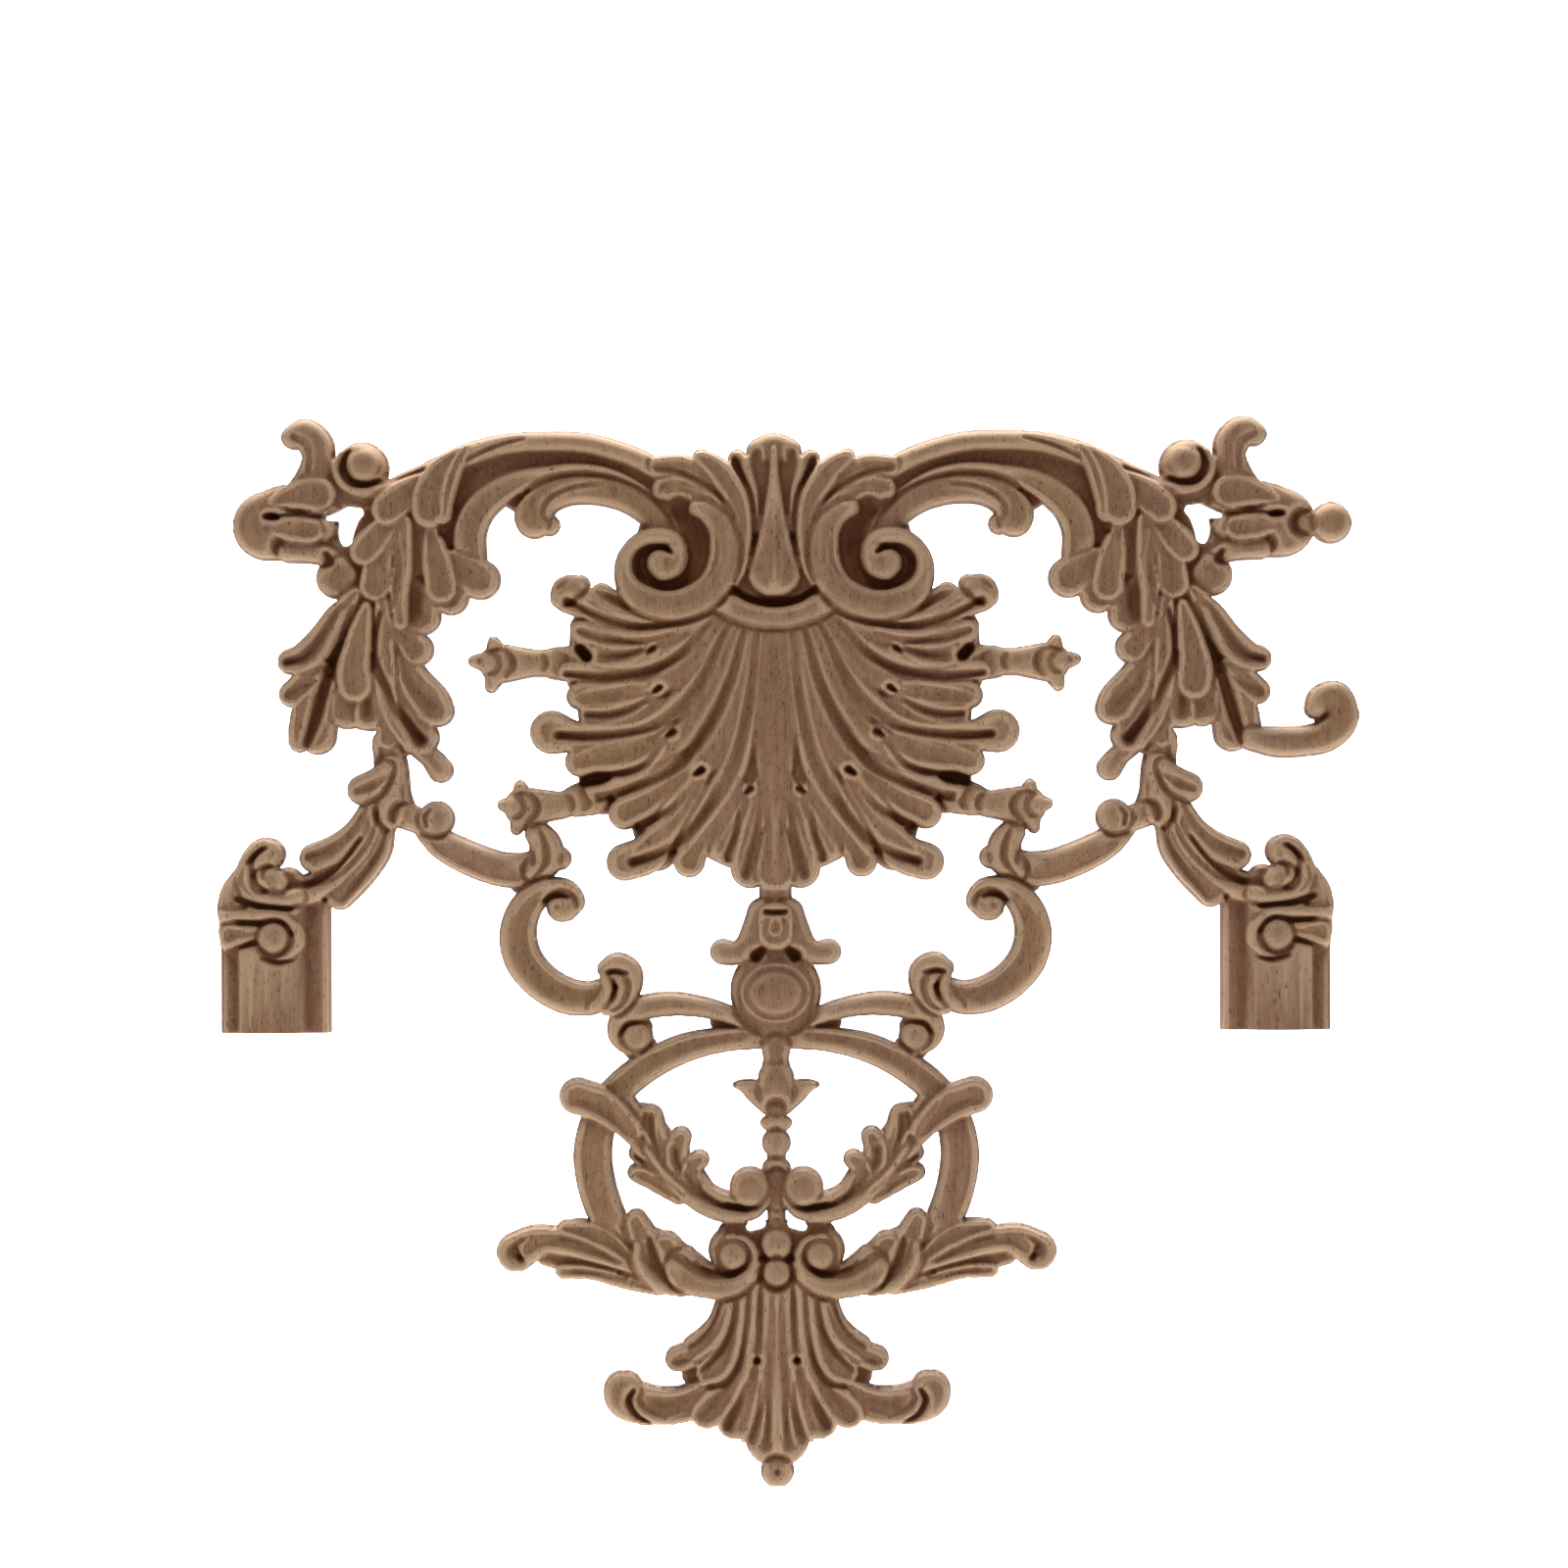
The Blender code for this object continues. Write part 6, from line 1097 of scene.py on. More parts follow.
# %% Valleys and eyes of the shell
def shell_cuts(b):
    """The valleys between the ridges and the lobes, the drilled eyes and the deepest cuts."""
    # The five long valleys, which deepen towards the edge and stop short of a rolled tip
    for path in (
        [(5.2, 34.6, 0.9), (5.9, 29.3, 1.5), (6.8, 20.5, 2.0), (8.2, 11.1, 2.4), (10.4, 0.5, 2.8),
         (13.9, -8.9, 3.0), (18.2, -16.4, 2.8), (23.3, -23.3, 2.8), (28.6, -29, 2.6),
         (34.9, -33, 2.6), (43.4, -35.8, 2.2)],
        [(9.2, 35.4, 0.9), (10.5, 30.6, 1.5), (13, 21.2, 2.1), (16.6, 12.4, 2.6), (21.1, 4.3, 3.0),
         (26.1, -2.6, 2.9), (31.7, -7.7, 2.5), (38.6, -11.4, 2.4), (46.1, -14, 2.2), (54.0, -15.7, 2.0)],
        [(13.8, 37, 0.9), (16.4, 32.1, 1.5), (20.8, 22.4, 2.3), (25.8, 14.9, 2.8), (31.1, 9.9, 2.8),
         (37, 6.1, 2.7), (43.9, 3.9, 2.4), (51.1, 3, 2.3), (58.7, 2.7, 2.3), (66, 3.1, 2.0)],
        [(19.5, 37.5, 1.2), (23.6, 33.1, 1.7), (28.6, 28.1, 2.1), (33.9, 24.8, 2.3), (39.9, 22.4, 2.2),
         (46.1, 21.2, 2.1), (52.4, 20.9, 2.0), (58.7, 21.2, 2.0), (64, 21.8, 1.8)],
        [(19.8, 40.6, 1.1), (24.8, 38.4, 1.5), (31.1, 37, 1.7), (37.4, 36.3, 1.8), (43.6, 36.5, 1.8),
         (49.9, 37.8, 1.9), (56.2, 40.3, 2.0), (63.4, 44, 1.9)],
    ):
        b.crease(path, depth=(1, 2.2, 2.6, 2.6, 3, 4.2))
    # Shorter ones between the lobes
    for path, depth in (
        ([(35.2, -0.1, 1.0), (39.2, -5.1, 1.6), (44.9, -8, 1.9), (50.5, -8.9, 2.0)], (1, 3, 4.5)),
        ([(27.3, -13.9, 1.0), (31.7, -18.9, 1.7), (37.4, -22.7, 2.0), (42.4, -24.6, 1.9)], (1, 3, 4)),
        ([(39.2, 14, 1.0), (44.3, 11.1, 1.5), (50.5, 9.3, 1.8), (57.4, 9.3, 1.6)], (1, 2.4, 2.4)),
        ([(31.1, 34, 1.1), (38.6, 32.1, 1.4), (46.1, 31.8, 1.5), (53.7, 32.5, 1.5),
          (59.9, 35, 1.4)], (1, 2, 1.4)),
        ([(40.5, 29, 1.0), (46.1, 27.3, 1.9), (52.4, 27.1, 1.9)], (0.8, 2, 1.6)),
        ([(26.1, 43.1, 1.0), (34.9, 41.1, 1.7), (43.6, 41.9, 2.1), (51.1, 45.6, 2.0)], (1, 2, 1.4)),
        ([(4.5, -17.7, 1.1), (5.4, -26.5, 1.9), (7.6, -34.6, 2.4), (8.8, -39.6, 2.2)], (1, 2.6, 3)),
        ([(10.7, -20.2, 1.0), (12, -27.1, 1.4), (14.8, -34.6, 1.8)], (1, 2.6, 3.2)),
        ([(15.4, -18.9, 1.2), (20.4, -27.1, 2.4), (25.5, -35.9, 2.8)], (0.6, 1.3, 1.2)),
        ([(40.6, 0.4, 1.6), (50, -3.6, 2.8), (58, -5.4, 2.6)], (0.4, 1.2, 0.8)),
        ([(30, -8.6, 1.4), (38, -16.4, 2.8), (45, -20.8, 2.6)], (0.4, 1.2, 0.8)),
        ([(42.4, 16.4, 1.6), (50, 15.2, 2.4), (58, 14.6, 2.2)], (0.4, 1.2, 0.8)),
    ):
        b.crease(path, depth)
    # Drilled eyes, then the deep cuts between the outer lobes
    for x, z, radius in ((35.4, 17.5, 1.0), (31.4, 3.8, 1.2), (22.8, -7.8, 1.3), (7.6, -13.6, 1.0),
                         (37.2, 29.3, 0.8)):
        b.ring(x, z, radius + 0.7)
        b.gouge([(x + 1.4, z - 1.0, 0.6 * radius), (x - 0.4, z + 0.3, radius)], 9, 13.4)
    b.gouge([(58.6, -11.0, 2.0), (54, -10, 2.3), (51.0, -9.4, 1.4)], 1.8, 9)
    b.gouge([(59.6, 29.6, 1.6), (57.6, 27.2, 1.8)], 3, 9)


shell_cuts(half)
print("Shell without its rims:", half.measure())

# %% [markdown]
# The gouge leaves a thin raised rim along each lobe. In the photograph these rims catch the light, so
# they are drawn too, as narrow welts on top of what is there.

# %% Rims of the shell
def shell_rims(b):
    """Thin rims that the gouge left along the lobes of the shell."""
    for places in (
        [(36.7, 3.9), (43.6, 2.4), (51.1, 0.8), (57.4, -1.4), (61.5, -3.9), (62.6, -6.7)],
        [(35.2, 0.8), (38.6, -3.3), (43.6, -6.1), (49.3, -7.3), (54.3, -8)],
        [(33.6, -0.4), (36.7, -5.5), (41.1, -9.2), (46.1, -10.5), (49.9, -10.2)],
        [(23.6, -2.6), (27.3, -7), (32.3, -10.2), (38.6, -13.3), (45.5, -16.4), (51.1, -18.9)],
        [(26.1, -10.2), (29.2, -15.8), (34.9, -19.9), (39.9, -22.4), (43, -23.8)],
        [(25.1, -13.3), (29.2, -19.9), (34.2, -24.6), (38.6, -27.4), (43.6, -32.1)],
        [(39.2, 18.7), (44.9, 19), (51.1, 18), (57.4, 16.5), (61.8, 14.9)],
        [(39.2, 15), (43.6, 12.9), (49.9, 11.6), (56.2, 11.1), (60.5, 11.9)],
        [(39.2, 12.2), (43.6, 9), (49.9, 6.8), (56.2, 5.9), (60.5, 6.4)],
        [(31.1, 35.7), (37.4, 34.2), (44.3, 33.9), (51.1, 34.8), (61.5, 37.2)],
        [(39.9, 30.3), (46.1, 29.8), (52.4, 30.7), (58, 32.1)],
        [(39.9, 27.9), (44.3, 25.4), (49.9, 24.2), (54.3, 25.1), (56.5, 27.8)],
        [(21.1, 40.6), (28.6, 39.2), (36.7, 38.1), (44.9, 38.8), (51.1, 41.9), (58, 46.2)],
        [(7, -17.1), (9.5, -25.2), (11.7, -32.7), (12.4, -37.7)],
        [(17.6, -19.6), (23.6, -27.1), (29.2, -34)],
        [(10.4, -17.7), (14.2, -24.6), (18.6, -32.1), (23.6, -38.4)],
    ):
        b.welt(places)


shell_rims(half)
print("With the shell:", half.measure())

# %% [markdown]
# ## The crest
# Over the shell, two volutes roll in from feathered leaves, with a tongue between them and a collar
# under it. It is the highest part of the relief. The volute is one band from its eye outwards, and its
# height is given at several places along it, so that it rises as it unrolls.

# %% The crest
def crest(b):
    """The feathered leaves, volutes, tongue and collar at the top middle."""
    b.ground([(0, 84, 8), (8, 76, 11), (14, 72, 13), (18, 62, 16), (28, 56, 14)], top=9)
    b.ground([(30, 80, 7), (32.5, 54, 12.2)], top=8.5)
    # The fan of petals behind the tongue, with a rounded cap
    b.ground([(0, 86.9, 8.2), (4, 80, 8)], top=11)
    b.rib([(9.4, 64, 1.8), (9.8, 74, 2.6), (11.2, 82, 3.2), (11.2, 87.6, 2.8)], top=12.5, edge=10.5)
    b.gouge([(7.8, 70, 0.8), (9.6, 79, 1.5), (11.6, 87, 1.7)], 9.6, 12.6)
    b.rib([(-4.4, 89.9, 3.9), (0, 91.3, 4.2), (4.4, 89.9, 3.9)], top=14, edge=10.5)
    b.rib([(5, 66, 1.6), (6.6, 78, 1.8), (8.4, 87, 1.6)], top=13, edge=11.5)
    b.gouge([(3.4, 75, 0.5), (3.8, 77, 0.9), (4.6, 81.6, 1.7), (5.4, 86.4, 2.3), (5.6, 89.0, 1.9)],
            10.6, 13.4)
    # Feathers that run down into the volute
    b.lobe([(35, 85.2, 3.4), (28, 85, 3.8), (20.6, 80.8, 4.2), (15, 73, 3.8), (12.6, 62, 3.2),
            (14, 54, 2.6)], top=14, dip=1.0)
    b.lobe([(22.4, 88.2, 2.4), (17.2, 84.2, 3.6), (12.2, 76.6, 3.8), (9.8, 67, 3.4), (10.4, 57, 3.2),
            (14, 50, 3.0)], top=15.2, dip=0.8)
    b.lobe([(34, 78.4, 3.2), (27.6, 78.4, 3.6), (20.8, 74.6, 3.6), (16.2, 67.6, 3.2), (14.6, 59, 2.6)],
           top=14.6, dip=1.0)
    # The collar, then the volute over its end: one rolled band, from the eye outwards
    b.rib([(22, 48.6, 2.6), (15, 43.0, 3.6), (7, 40.2, 4.1), (0, 39.5, 4.2), (-7, 40.2, 4.1)], top=16,
          edge=11.5)
    b.gouge([(14, 49, 0.8), (9, 45.2, 1.3), (4.6, 43.8, 1.6), (0, 43.4, 1.7), (-5, 43.8, 1.6)], 6, 15.6)
    b.gouge([(29, 72, 4.2), (25.4, 66, 4.4), (24.4, 59, 4.0), (27, 52.6, 3.2)], 7.5, 11.5)
    b.rib([(34.6, 55.6, 3.6), (31.6, 57.2, 3.2), (29.6, 60.2, 2.6), (31.4, 63.2, 2.5), (36.4, 63.9, 2.7),
           (41.8, 61.2, 3.2), (44.8, 55.4, 3.9), (43.6, 48.6, 4.5), (38.6, 43.8, 4.7), (30.6, 42.6, 4.8),
           (22, 45.6, 5.0), (16.8, 51.4, 5.0), (15.0, 59, 4.8), (16.0, 66, 4.2), (19.8, 70.8, 3.3),
           (23.6, 72.4, 2.4)], top=(15.4, 16.4, 17, 17, 17.4, 17.4, 16.4), edge=(12, 12, 12, 12.6, 13))
    b.swell([(33.4, 55.0, 5.0), (30.6, 56.4, 4.2), (29.4, 60, 2.8)], top=16.4, edge=12)
    b.swell([(34.6, 55.6, 4.5)], top=16.8, edge=12)
    b.gouge([(31.2, 58.8, 0.4), (34.2, 60.4, 0.9), (38.2, 60.4, 1.3), (41.3, 58.2, 1.6),
             (42.1, 55.0, 1.8), (41, 51.8, 1.8), (38, 49.8, 1.8), (34, 49.0, 1.8), (29.6, 49.8, 2.2),
             (26, 51.8, 2.7), (24.2, 57, 3.0)], 7.5, 16)
    b.gouge([(23.4, 70.6, 0.5), (19.6, 66.6, 0.9), (17.8, 59, 1.0), (19.4, 53, 0.8), (24, 48.4, 0.4)],
            15.6, 17.4)
    # Tongue
    b.upright([(45.6, 0.1), (45.8, 2.6), (46.6, 4.8), (48.4, 6.9), (51, 8.1), (54, 7.9), (58, 6.6),
               (64, 4.9), (70, 3.6), (76, 2.5), (82, 1.6), (91, 1.2)], top=(17, 17.4, 16.8, 15.4),
              edge=(12.5, 13, 13, 12.6))
    b.swell([(0, 60, 0.6), (0, 68, 1.5), (0, 78, 1.4), (0, 90, 1.3)], top=(17.4, 17.4, 16.6, 15.2),
            edge=(17.2, 16, 14, 12.6))
    # Creases that part the feathers
    b.crease([(12.4, 88.4, 1.1), (12.0, 85.6, 1.5), (10, 82, 1.4), (8, 78.6, 1.3), (6.8, 74, 1.1),
              (6.4, 68, 1.0), (6.8, 62, 1.0), (7.8, 57.6, 0.8)], depth=(2.2, 2.2, 2, 1.6, 1))
    b.crease([(36, 84.4, 1.0), (32, 84, 1.3), (28, 82.8, 1.4), (24, 80.8, 1.4), (20, 78.4, 1.4),
              (16.8, 76, 1.3), (14, 73.2, 1.1), (12, 69, 0.9)], depth=(1.4, 2, 2, 1.6, 1))


crest(half)
print("Crest without its rims:", half.measure())

# %% [markdown]
# Last come the rims of the feathers, and the fine line that the volute keeps along its inner edge.

# %% Rims of the crest
def crest_rims(b):
    """Thin rims of the feathers and the volute."""
    b.welt([(24.8, 85.2), (28, 86.4), (34, 86.8), (38, 86), (40, 84)], rise=0.6)
    b.welt([(20.8, 76), (26, 78.4), (30.8, 78.6), (33.6, 77.6), (34.2, 76.4), (31.2, 74.4), (26.8, 73.6)])
    b.welt([(20.8, 74), (24, 73.6), (25.6, 72), (26, 70.4), (24, 68.8), (21.6, 66.4), (19.6, 64),
            (18.8, 60.8), (19.6, 56.8), (22, 52.8)], rise=0.6)
    b.welt([(14.0, 65), (13.8, 60), (14.4, 55), (16.4, 50)], rise=0.35, width=0.7)


crest_rims(half)
print("With the crest:", half.measure())

# %% [markdown]
# ## Both halves
# The ornament is symmetrical, so the left half is the mirror of the right. Only the right side keeps
# the end bead of its corner and a curled tendril, so a copy of the half board gets those two as well.
# Each half is then softened, rolled off towards its outline, and sawn across the moulding.

# %% Both halves
def right_extras(b):
    """Two pieces of ornament that only the right-hand side keeps."""
    b.rib([(162.5, 67.5, 3.6), (165.6, 67.5, 3.8)], top=10.5, edge=8)
    b.bead(170.7, 67.5, 6.2, top=13, edge=8.5)
    b.ground([(166.8, 7.2, 1.0), (168.8, 8.8, 1.2)], top=7.5)
    b.rib([(146, 1.5, 3.6), (154, 0.4, 4.6), (162, 0.6, 4.6), (169.2, 2.4, 4.9), (173.9, 7.4, 4.9),
           (172.2, 13.8, 4.8), (167.8, 13.6, 4.2), (165.6, 10.6, 3.0)], top=13, edge=8.5)


def saw_off(b):
    """The straight cut across the end of the moulding, which is all that there is near that corner."""
    corner = (b.x[None, :] > 130) & (b.z[:, None] < -70)
    cut = np.where(corner, b.z[:, None] - STUB_FOOT, NO_LIMIT)
    b.inside = np.minimum(b.inside, cut)


halves = [half, copy.deepcopy(half)]
right_extras(halves[1])
for side in halves:
    side.finish()
    saw_off(side)
x_places = np.concatenate([-half.x[:0:-1], half.x])
relief, inside = [
    np.hstack([getattr(halves[0], name)[:, :0:-1], getattr(halves[1], name)])
    for name in ("height", "inside")
]
print("Whole board:", relief.shape, "points, highest", round(float(relief.max()), 1), "mm")

# %% [markdown]
# ## Painted shade in the hollows, and painted highlight on the rims
# The material paints shade into the hollows and a highlight onto the rims. Both follow from the
# shape: a point that lies lower than the wood round it is in a hollow. So the height is compared with
# its own blurred copy, over a narrow and a wide circle, and the result is kept for the material.

# %% How deep each point lies in a hollow
NEAR_CIRCLE = 0.8  # mm
WIDE_CIRCLE = 4.0  # mm
SHADE_FADE = 1.5  # mm in from the outline, over which the painted shade of the hollows fades out


def above_neighbours(height, mask, reach):
    """How far each point lies above the mean of the wood round it, in mm; under 0 in a hollow."""
    weights = bell(reach, PITCH)
    total = smeared(smeared(height * mask, weights, 0), weights, 1)
    share = smeared(smeared(mask, weights, 0), weights, 1)
    return height - total / np.maximum(share, 1e-3)


def faded_near_outline(hollow):
    """Near the outline the measure of a hollow fades out towards it, and the painted shade with it."""
    return np.where(hollow < 0, hollow * np.clip(inside / SHADE_FADE, 0, 1), hollow)


on_piece = np.where(inside > 0, 1.0, 0.0)
fine = faded_near_outline(above_neighbours(relief, on_piece, NEAR_CIRCLE))
broad = faded_near_outline(above_neighbours(relief, on_piece, WIDE_CIRCLE))
print("Deepest hollows:", round(float(fine[inside > 0].min()), 2), round(float(broad[inside > 0].min()), 2))

# %% [markdown]
# ## Cutting along the outline
# A band saw or a long cutter goes round the ornament. On the grid this means that a cell inside the
# outline stays whole, and a cell that the outline crosses keeps only the part inside. There are 16
# ways in which the four corners of a cell can lie, so one loop over the 16 cases cuts all the cells.

# %% Cutting the sheet
LEAST_CUT = 0.12  # least part of a grid edge that the outline may leave
WALL_AND_BACK_HIGHLIGHT = 0.2  # mm; the wall and the back get a painted highlight, as pale as a rim that stands up by this much


def cut_sheet(x, z, layers, inside):
    """Cuts the grid along the outline. Gives x and z, each layer's values, and the faces."""
    least = LEAST_CUT * (x[1] - x[0])
    inside = np.where(np.abs(inside) < least, np.where(inside < 0, -least, least), inside)
    kept = inside > 0
    ids = np.arange(kept.size).reshape(kept.shape)
    grid_z, grid_x = np.meshgrid(z, x, indexing="ij")
    grids = [grid_x, grid_z, *layers]
    points = [np.stack(grids, axis=-1).reshape(-1, len(grids))]

    def crossings(first, second):
        """A point where the outline crosses each grid edge. Its height, the first layer, is that of the
        end inside but of the sawn wall at most. The other two layers give the wall a painted highlight and
        no painted shade."""
        a, b = inside[first], inside[second]
        crossed = (a > 0) != (b > 0)
        t = np.where(crossed, a / np.where(crossed, a - b, 1), 0)
        place = [grid[first] + t * (grid[second] - grid[first]) for grid in (grid_x, grid_z)]
        height = np.minimum(np.where(a > 0, layers[0][first], layers[0][second]), WALL)
        # The wall gets a painted highlight, and no painted shade
        values = [height, np.full(a.shape, WALL_AND_BACK_HIGHLIGHT), np.zeros(a.shape)]
        start = sum(len(group) for group in points)
        points.append(np.stack([*place, *values], axis=-1).reshape(-1, len(grids)))
        return start + np.arange(a.size).reshape(a.shape)

    across = crossings(np.s_[:, :-1], np.s_[:, 1:])
    upward = crossings(np.s_[:-1, :], np.s_[1:, :])
    # Round each cell: a corner, the edge after it, the next corner, and so on
    ring = [ids[:-1, :-1], across[:-1], ids[:-1, 1:], upward[:, 1:],
            ids[1:, 1:], across[1:], ids[1:, :-1], upward[:, :-1]]
    corners = [kept[:-1, :-1], kept[:-1, 1:], kept[1:, 1:], kept[1:, :-1]]
    code = sum(corner * 2**n for n, corner in enumerate(corners))
    faces = []
    for case in range(1, 16):
        has = [bool(case >> n & 1) for n in range(4)]
        around = []
        for corner in range(4):
            if has[corner]:
                around.append(2 * corner)
            if has[corner] != has[(corner + 1) % 4]:
                around.append(2 * corner + 1)
        faces += np.stack([ring[n][code == case] for n in around], axis=-1).tolist()
    points = np.concatenate(points)
    used, index = np.unique([corner for face in faces for corner in face], return_inverse=True)
    index = iter(index.tolist())
    faces = [[next(index) for corner in face] for face in faces]
    return points[used], faces


layers = [relief, fine, broad]
points, faces = cut_sheet(x_places, half.z, layers, inside)
print("Cut sheet:", len(points), "points,", len(faces), "faces")

# %% [markdown]
# The cut sheet becomes a flat mesh in the plane of the back. The heights ride along as an attribute
# that belongs to each point, and so do the two measures of the hollows.

# %% The flat sheet with its heights
def flat_sheet(name, points, faces):
    """A mesh in the plane of the back, which carries the relief and the hollows on its points."""
    mesh = bpy.data.meshes.new(name)
    places = np.stack([points[:, 0], 0 * points[:, 0], points[:, 1]], axis=-1) * MM
    mesh.from_pydata(places.tolist(), [], faces)
    for label, values in zip(("relief", "fine_hollow", "broad_hollow"), points[:, 2:].T):
        scale = MM if label == "relief" else 1
        mesh.attributes.new(label, "FLOAT", "POINT").data.foreach_set("value", values * scale)
    return mesh


applique = bpy.data.objects.new("carved_relief", flat_sheet("carved_relief", points, faces))
bpy.context.scene.collection.objects.link(applique)
print("Flat sheet:", len(applique.data.vertices), "points with", [a.name for a in applique.data.attributes])

# %% [markdown]
# ## Raising the relief
# Turning a flat sheet into a solid follows one rule, so Geometry Nodes do it. The tree extrudes the
# sheet by nothing, which gives a second layer and a wall of zero height. Then it moves the front layer
# out along -Y by each point's height. A flipped copy of the sheet closes the back, which has no hollows
# and gets the wall's painted highlight all over. The deep ground was left rough by the tip of the cutter,
# so a little noise is added where the hollows are deep. The height scale, the depth and the size of that
# roughness and the painted highlight of the back are named inputs.

# %% The node tree that raises the relief
ROUGH_DEPTH = 0.5  # mm
MARKS_FROM = -0.6  # mm under the wood round it, where the tool marks start
MARKS_FULL = -2.0  # mm, where they have their whole depth
ROUGH_GRAIN = 1.3  # mm from one tool mark to the next


def relief_tree():
    """Flat sheet in, closed relief out."""
    tree = bpy.data.node_groups.new("Raise relief", "GeometryNodeTree")
    face = tree.interface
    face.new_socket("Sheet", in_out="INPUT", socket_type="NodeSocketGeometry")
    for name, value in (("Height scale", 1.0), ("Rough depth", 0.0), ("Rough grain", 0.001),
                        ("Back highlight", 0.0)):
        face.new_socket(name, in_out="INPUT", socket_type="NodeSocketFloat").default_value = value
    face.new_socket("Wood", in_out="INPUT", socket_type="NodeSocketMaterial")
    face.new_socket("Relief", in_out="OUTPUT", socket_type="NodeSocketGeometry")
    given = add_node(tree, "NodeGroupInput")

    # Tool marks, only where the ground lies deep: noise * depth * rough depth
    frequency = add_node(tree, "ShaderNodeMath", {"operation": "DIVIDE"}, _0=1.0,
                         _1=given.outputs["Rough grain"])
    noise = add_node(tree, "ShaderNodeTexNoise", Scale=frequency.outputs[0], Detail=1.0)
    hollow = add_node(tree, "GeometryNodeInputNamedAttribute", Name="broad_hollow")
    depth = add_node(tree, "ShaderNodeMapRange", Value=hollow.outputs["Attribute"], From_Min=MARKS_FROM,
                     From_Max=MARKS_FULL)
    marks = given.outputs["Rough depth"]
    for factor in (noise.outputs[0], depth.outputs[0]):
        marks = add_node(tree, "ShaderNodeMath", {"operation": "MULTIPLY"}, _0=factor, _1=marks).outputs[0]
    # Height of the wood, out along -Y
    height = add_node(tree, "GeometryNodeInputNamedAttribute", Name="relief")
    scaled = add_node(tree, "ShaderNodeMath", {"operation": "MULTIPLY"}, _0=height.outputs["Attribute"],
                      _1=given.outputs["Height scale"])
    total = add_node(tree, "ShaderNodeMath", {"operation": "SUBTRACT"}, _0=marks, _1=scaled.outputs[0])
    height = total.outputs[0]
    raised = add_node(tree, "ShaderNodeCombineXYZ", Y=height)
    # The front and its wall, then the flipped sheet as the back
    wall = add_node(tree, "GeometryNodeExtrudeMesh", Mesh=given.outputs["Sheet"], Offset_Scale=0.0,
                    Individual=False)
    front = add_node(tree, "GeometryNodeSetPosition", Geometry=wall.outputs["Mesh"],
                     Selection=wall.outputs["Top"], Offset=raised.outputs[0])
    back = add_node(tree, "GeometryNodeFlipFaces", Mesh=given.outputs["Sheet"])
    # The back gets the same painted highlight as the wall, and no painted shade
    for label, value in (("fine_hollow", given.outputs["Back highlight"]), ("broad_hollow", 0.0)):
        back = add_node(tree, "GeometryNodeStoreNamedAttribute", Geometry=back.outputs[0], Name=label,
                        Value=value)
    joined = add_node(tree, "GeometryNodeJoinGeometry")
    tree.links.new(front.outputs[0], joined.inputs[0])
    tree.links.new(back.outputs[0], joined.inputs[0])
    closed = add_node(tree, "GeometryNodeMergeByDistance", Geometry=joined.outputs[0],
                      Distance=0.001 * MM)
    real = add_node(tree, "GeometryNodeRealizeInstances", Geometry=closed.outputs[0])
    finished = add_node(tree, "GeometryNodeSetMaterial", Geometry=real.outputs[0],
                        Material=given.outputs["Wood"])
    add_node(tree, "NodeGroupOutput", Relief=finished.outputs[0])
    return tree


wood_finish = bpy.data.materials.new("raw_rubberwood_carved")
tree = relief_tree()
print("Inputs of the tree:", [item.name for item in tree.interface.items_tree if item.in_out == "INPUT"])

# %% [markdown]
# The tree goes on the sheet as a modifier. Its inputs are set by their identifiers before anything is
# evaluated. Then the result is read back as a plain mesh, and the modifier is taken off again, so that
# the export finds finished geometry.

# %% Raise the relief
def set_inputs(modifier, values):
    """Sets a modifier's inputs by name, through the identifier that each socket has."""
    for item in modifier.node_group.interface.items_tree:
        if item.in_out == "INPUT" and item.name in values:
            modifier[item.identifier] = values[item.name]


def apply_modifiers(thing):
    """Puts the evaluated mesh in the place of the old one, and takes every modifier off."""
    graph = bpy.context.evaluated_depsgraph_get()
    result = bpy.data.meshes.new_from_object(thing.evaluated_get(graph))
    old, thing.data = thing.data, result
    thing.modifiers.clear()
    bpy.data.meshes.remove(old)
    result.name = thing.name


raise_relief = applique.modifiers.new("Raise relief", "NODES")
raise_relief.node_group = tree
set_inputs(raise_relief, {
    "Height scale": 1.0,
    "Rough depth": ROUGH_DEPTH * MM,
    "Rough grain": ROUGH_GRAIN * MM,
    "Back highlight": WALL_AND_BACK_HIGHLIGHT,
    "Wood": wood_finish,
})
apply_modifiers(applique)
print("Raised:", len(applique.data.vertices), "points,", len(applique.data.polygons), "faces")

# %% [markdown]
# A grid puts as many faces on the flat back as on the leaves. Decimate by collapse removes the ones
# that change nothing first, so the back becomes a few large faces and the carving keeps its rims. The
# flat back is then made exactly flat, and the piece is kept inside the box of the solid.

# %% Thin out the faces
MOST_TRIANGLES = 190_000
BACK_ZONE = 0.5  # mm; points nearer the back than this belong to it
ARRIS_ANGLE = 50  # degrees; a sharper edge is drawn as an edge


def in_triangles(mesh):
    """Splits every face into triangles, which is what the ratio of Decimate counts."""
    corners = bmesh.new()
    corners.from_mesh(mesh)
    bmesh.ops.triangulate(corners, faces=corners.faces)
    corners.to_mesh(mesh)
    corners.free()


in_triangles(applique.data)
thin_out = applique.modifiers.new("Thin out", "DECIMATE")
thin_out.ratio = MOST_TRIANGLES / len(applique.data.polygons)
apply_modifiers(applique)
mesh = applique.data
places = np.empty(len(mesh.vertices) * 3, np.float32)
mesh.vertices.foreach_get("co", places)
places = places.reshape(-1, 3)
places[places[:, 1] > -BACK_ZONE * MM, 1] = 0
places = np.clip(places, *solid_box)
mesh.vertices.foreach_set("co", places.ravel())
mesh.shade_smooth()
mesh.set_sharp_from_angle(angle=math.radians(ARRIS_ANGLE))
mesh.update()
print("Thinned:", len(mesh.polygons), "triangles")

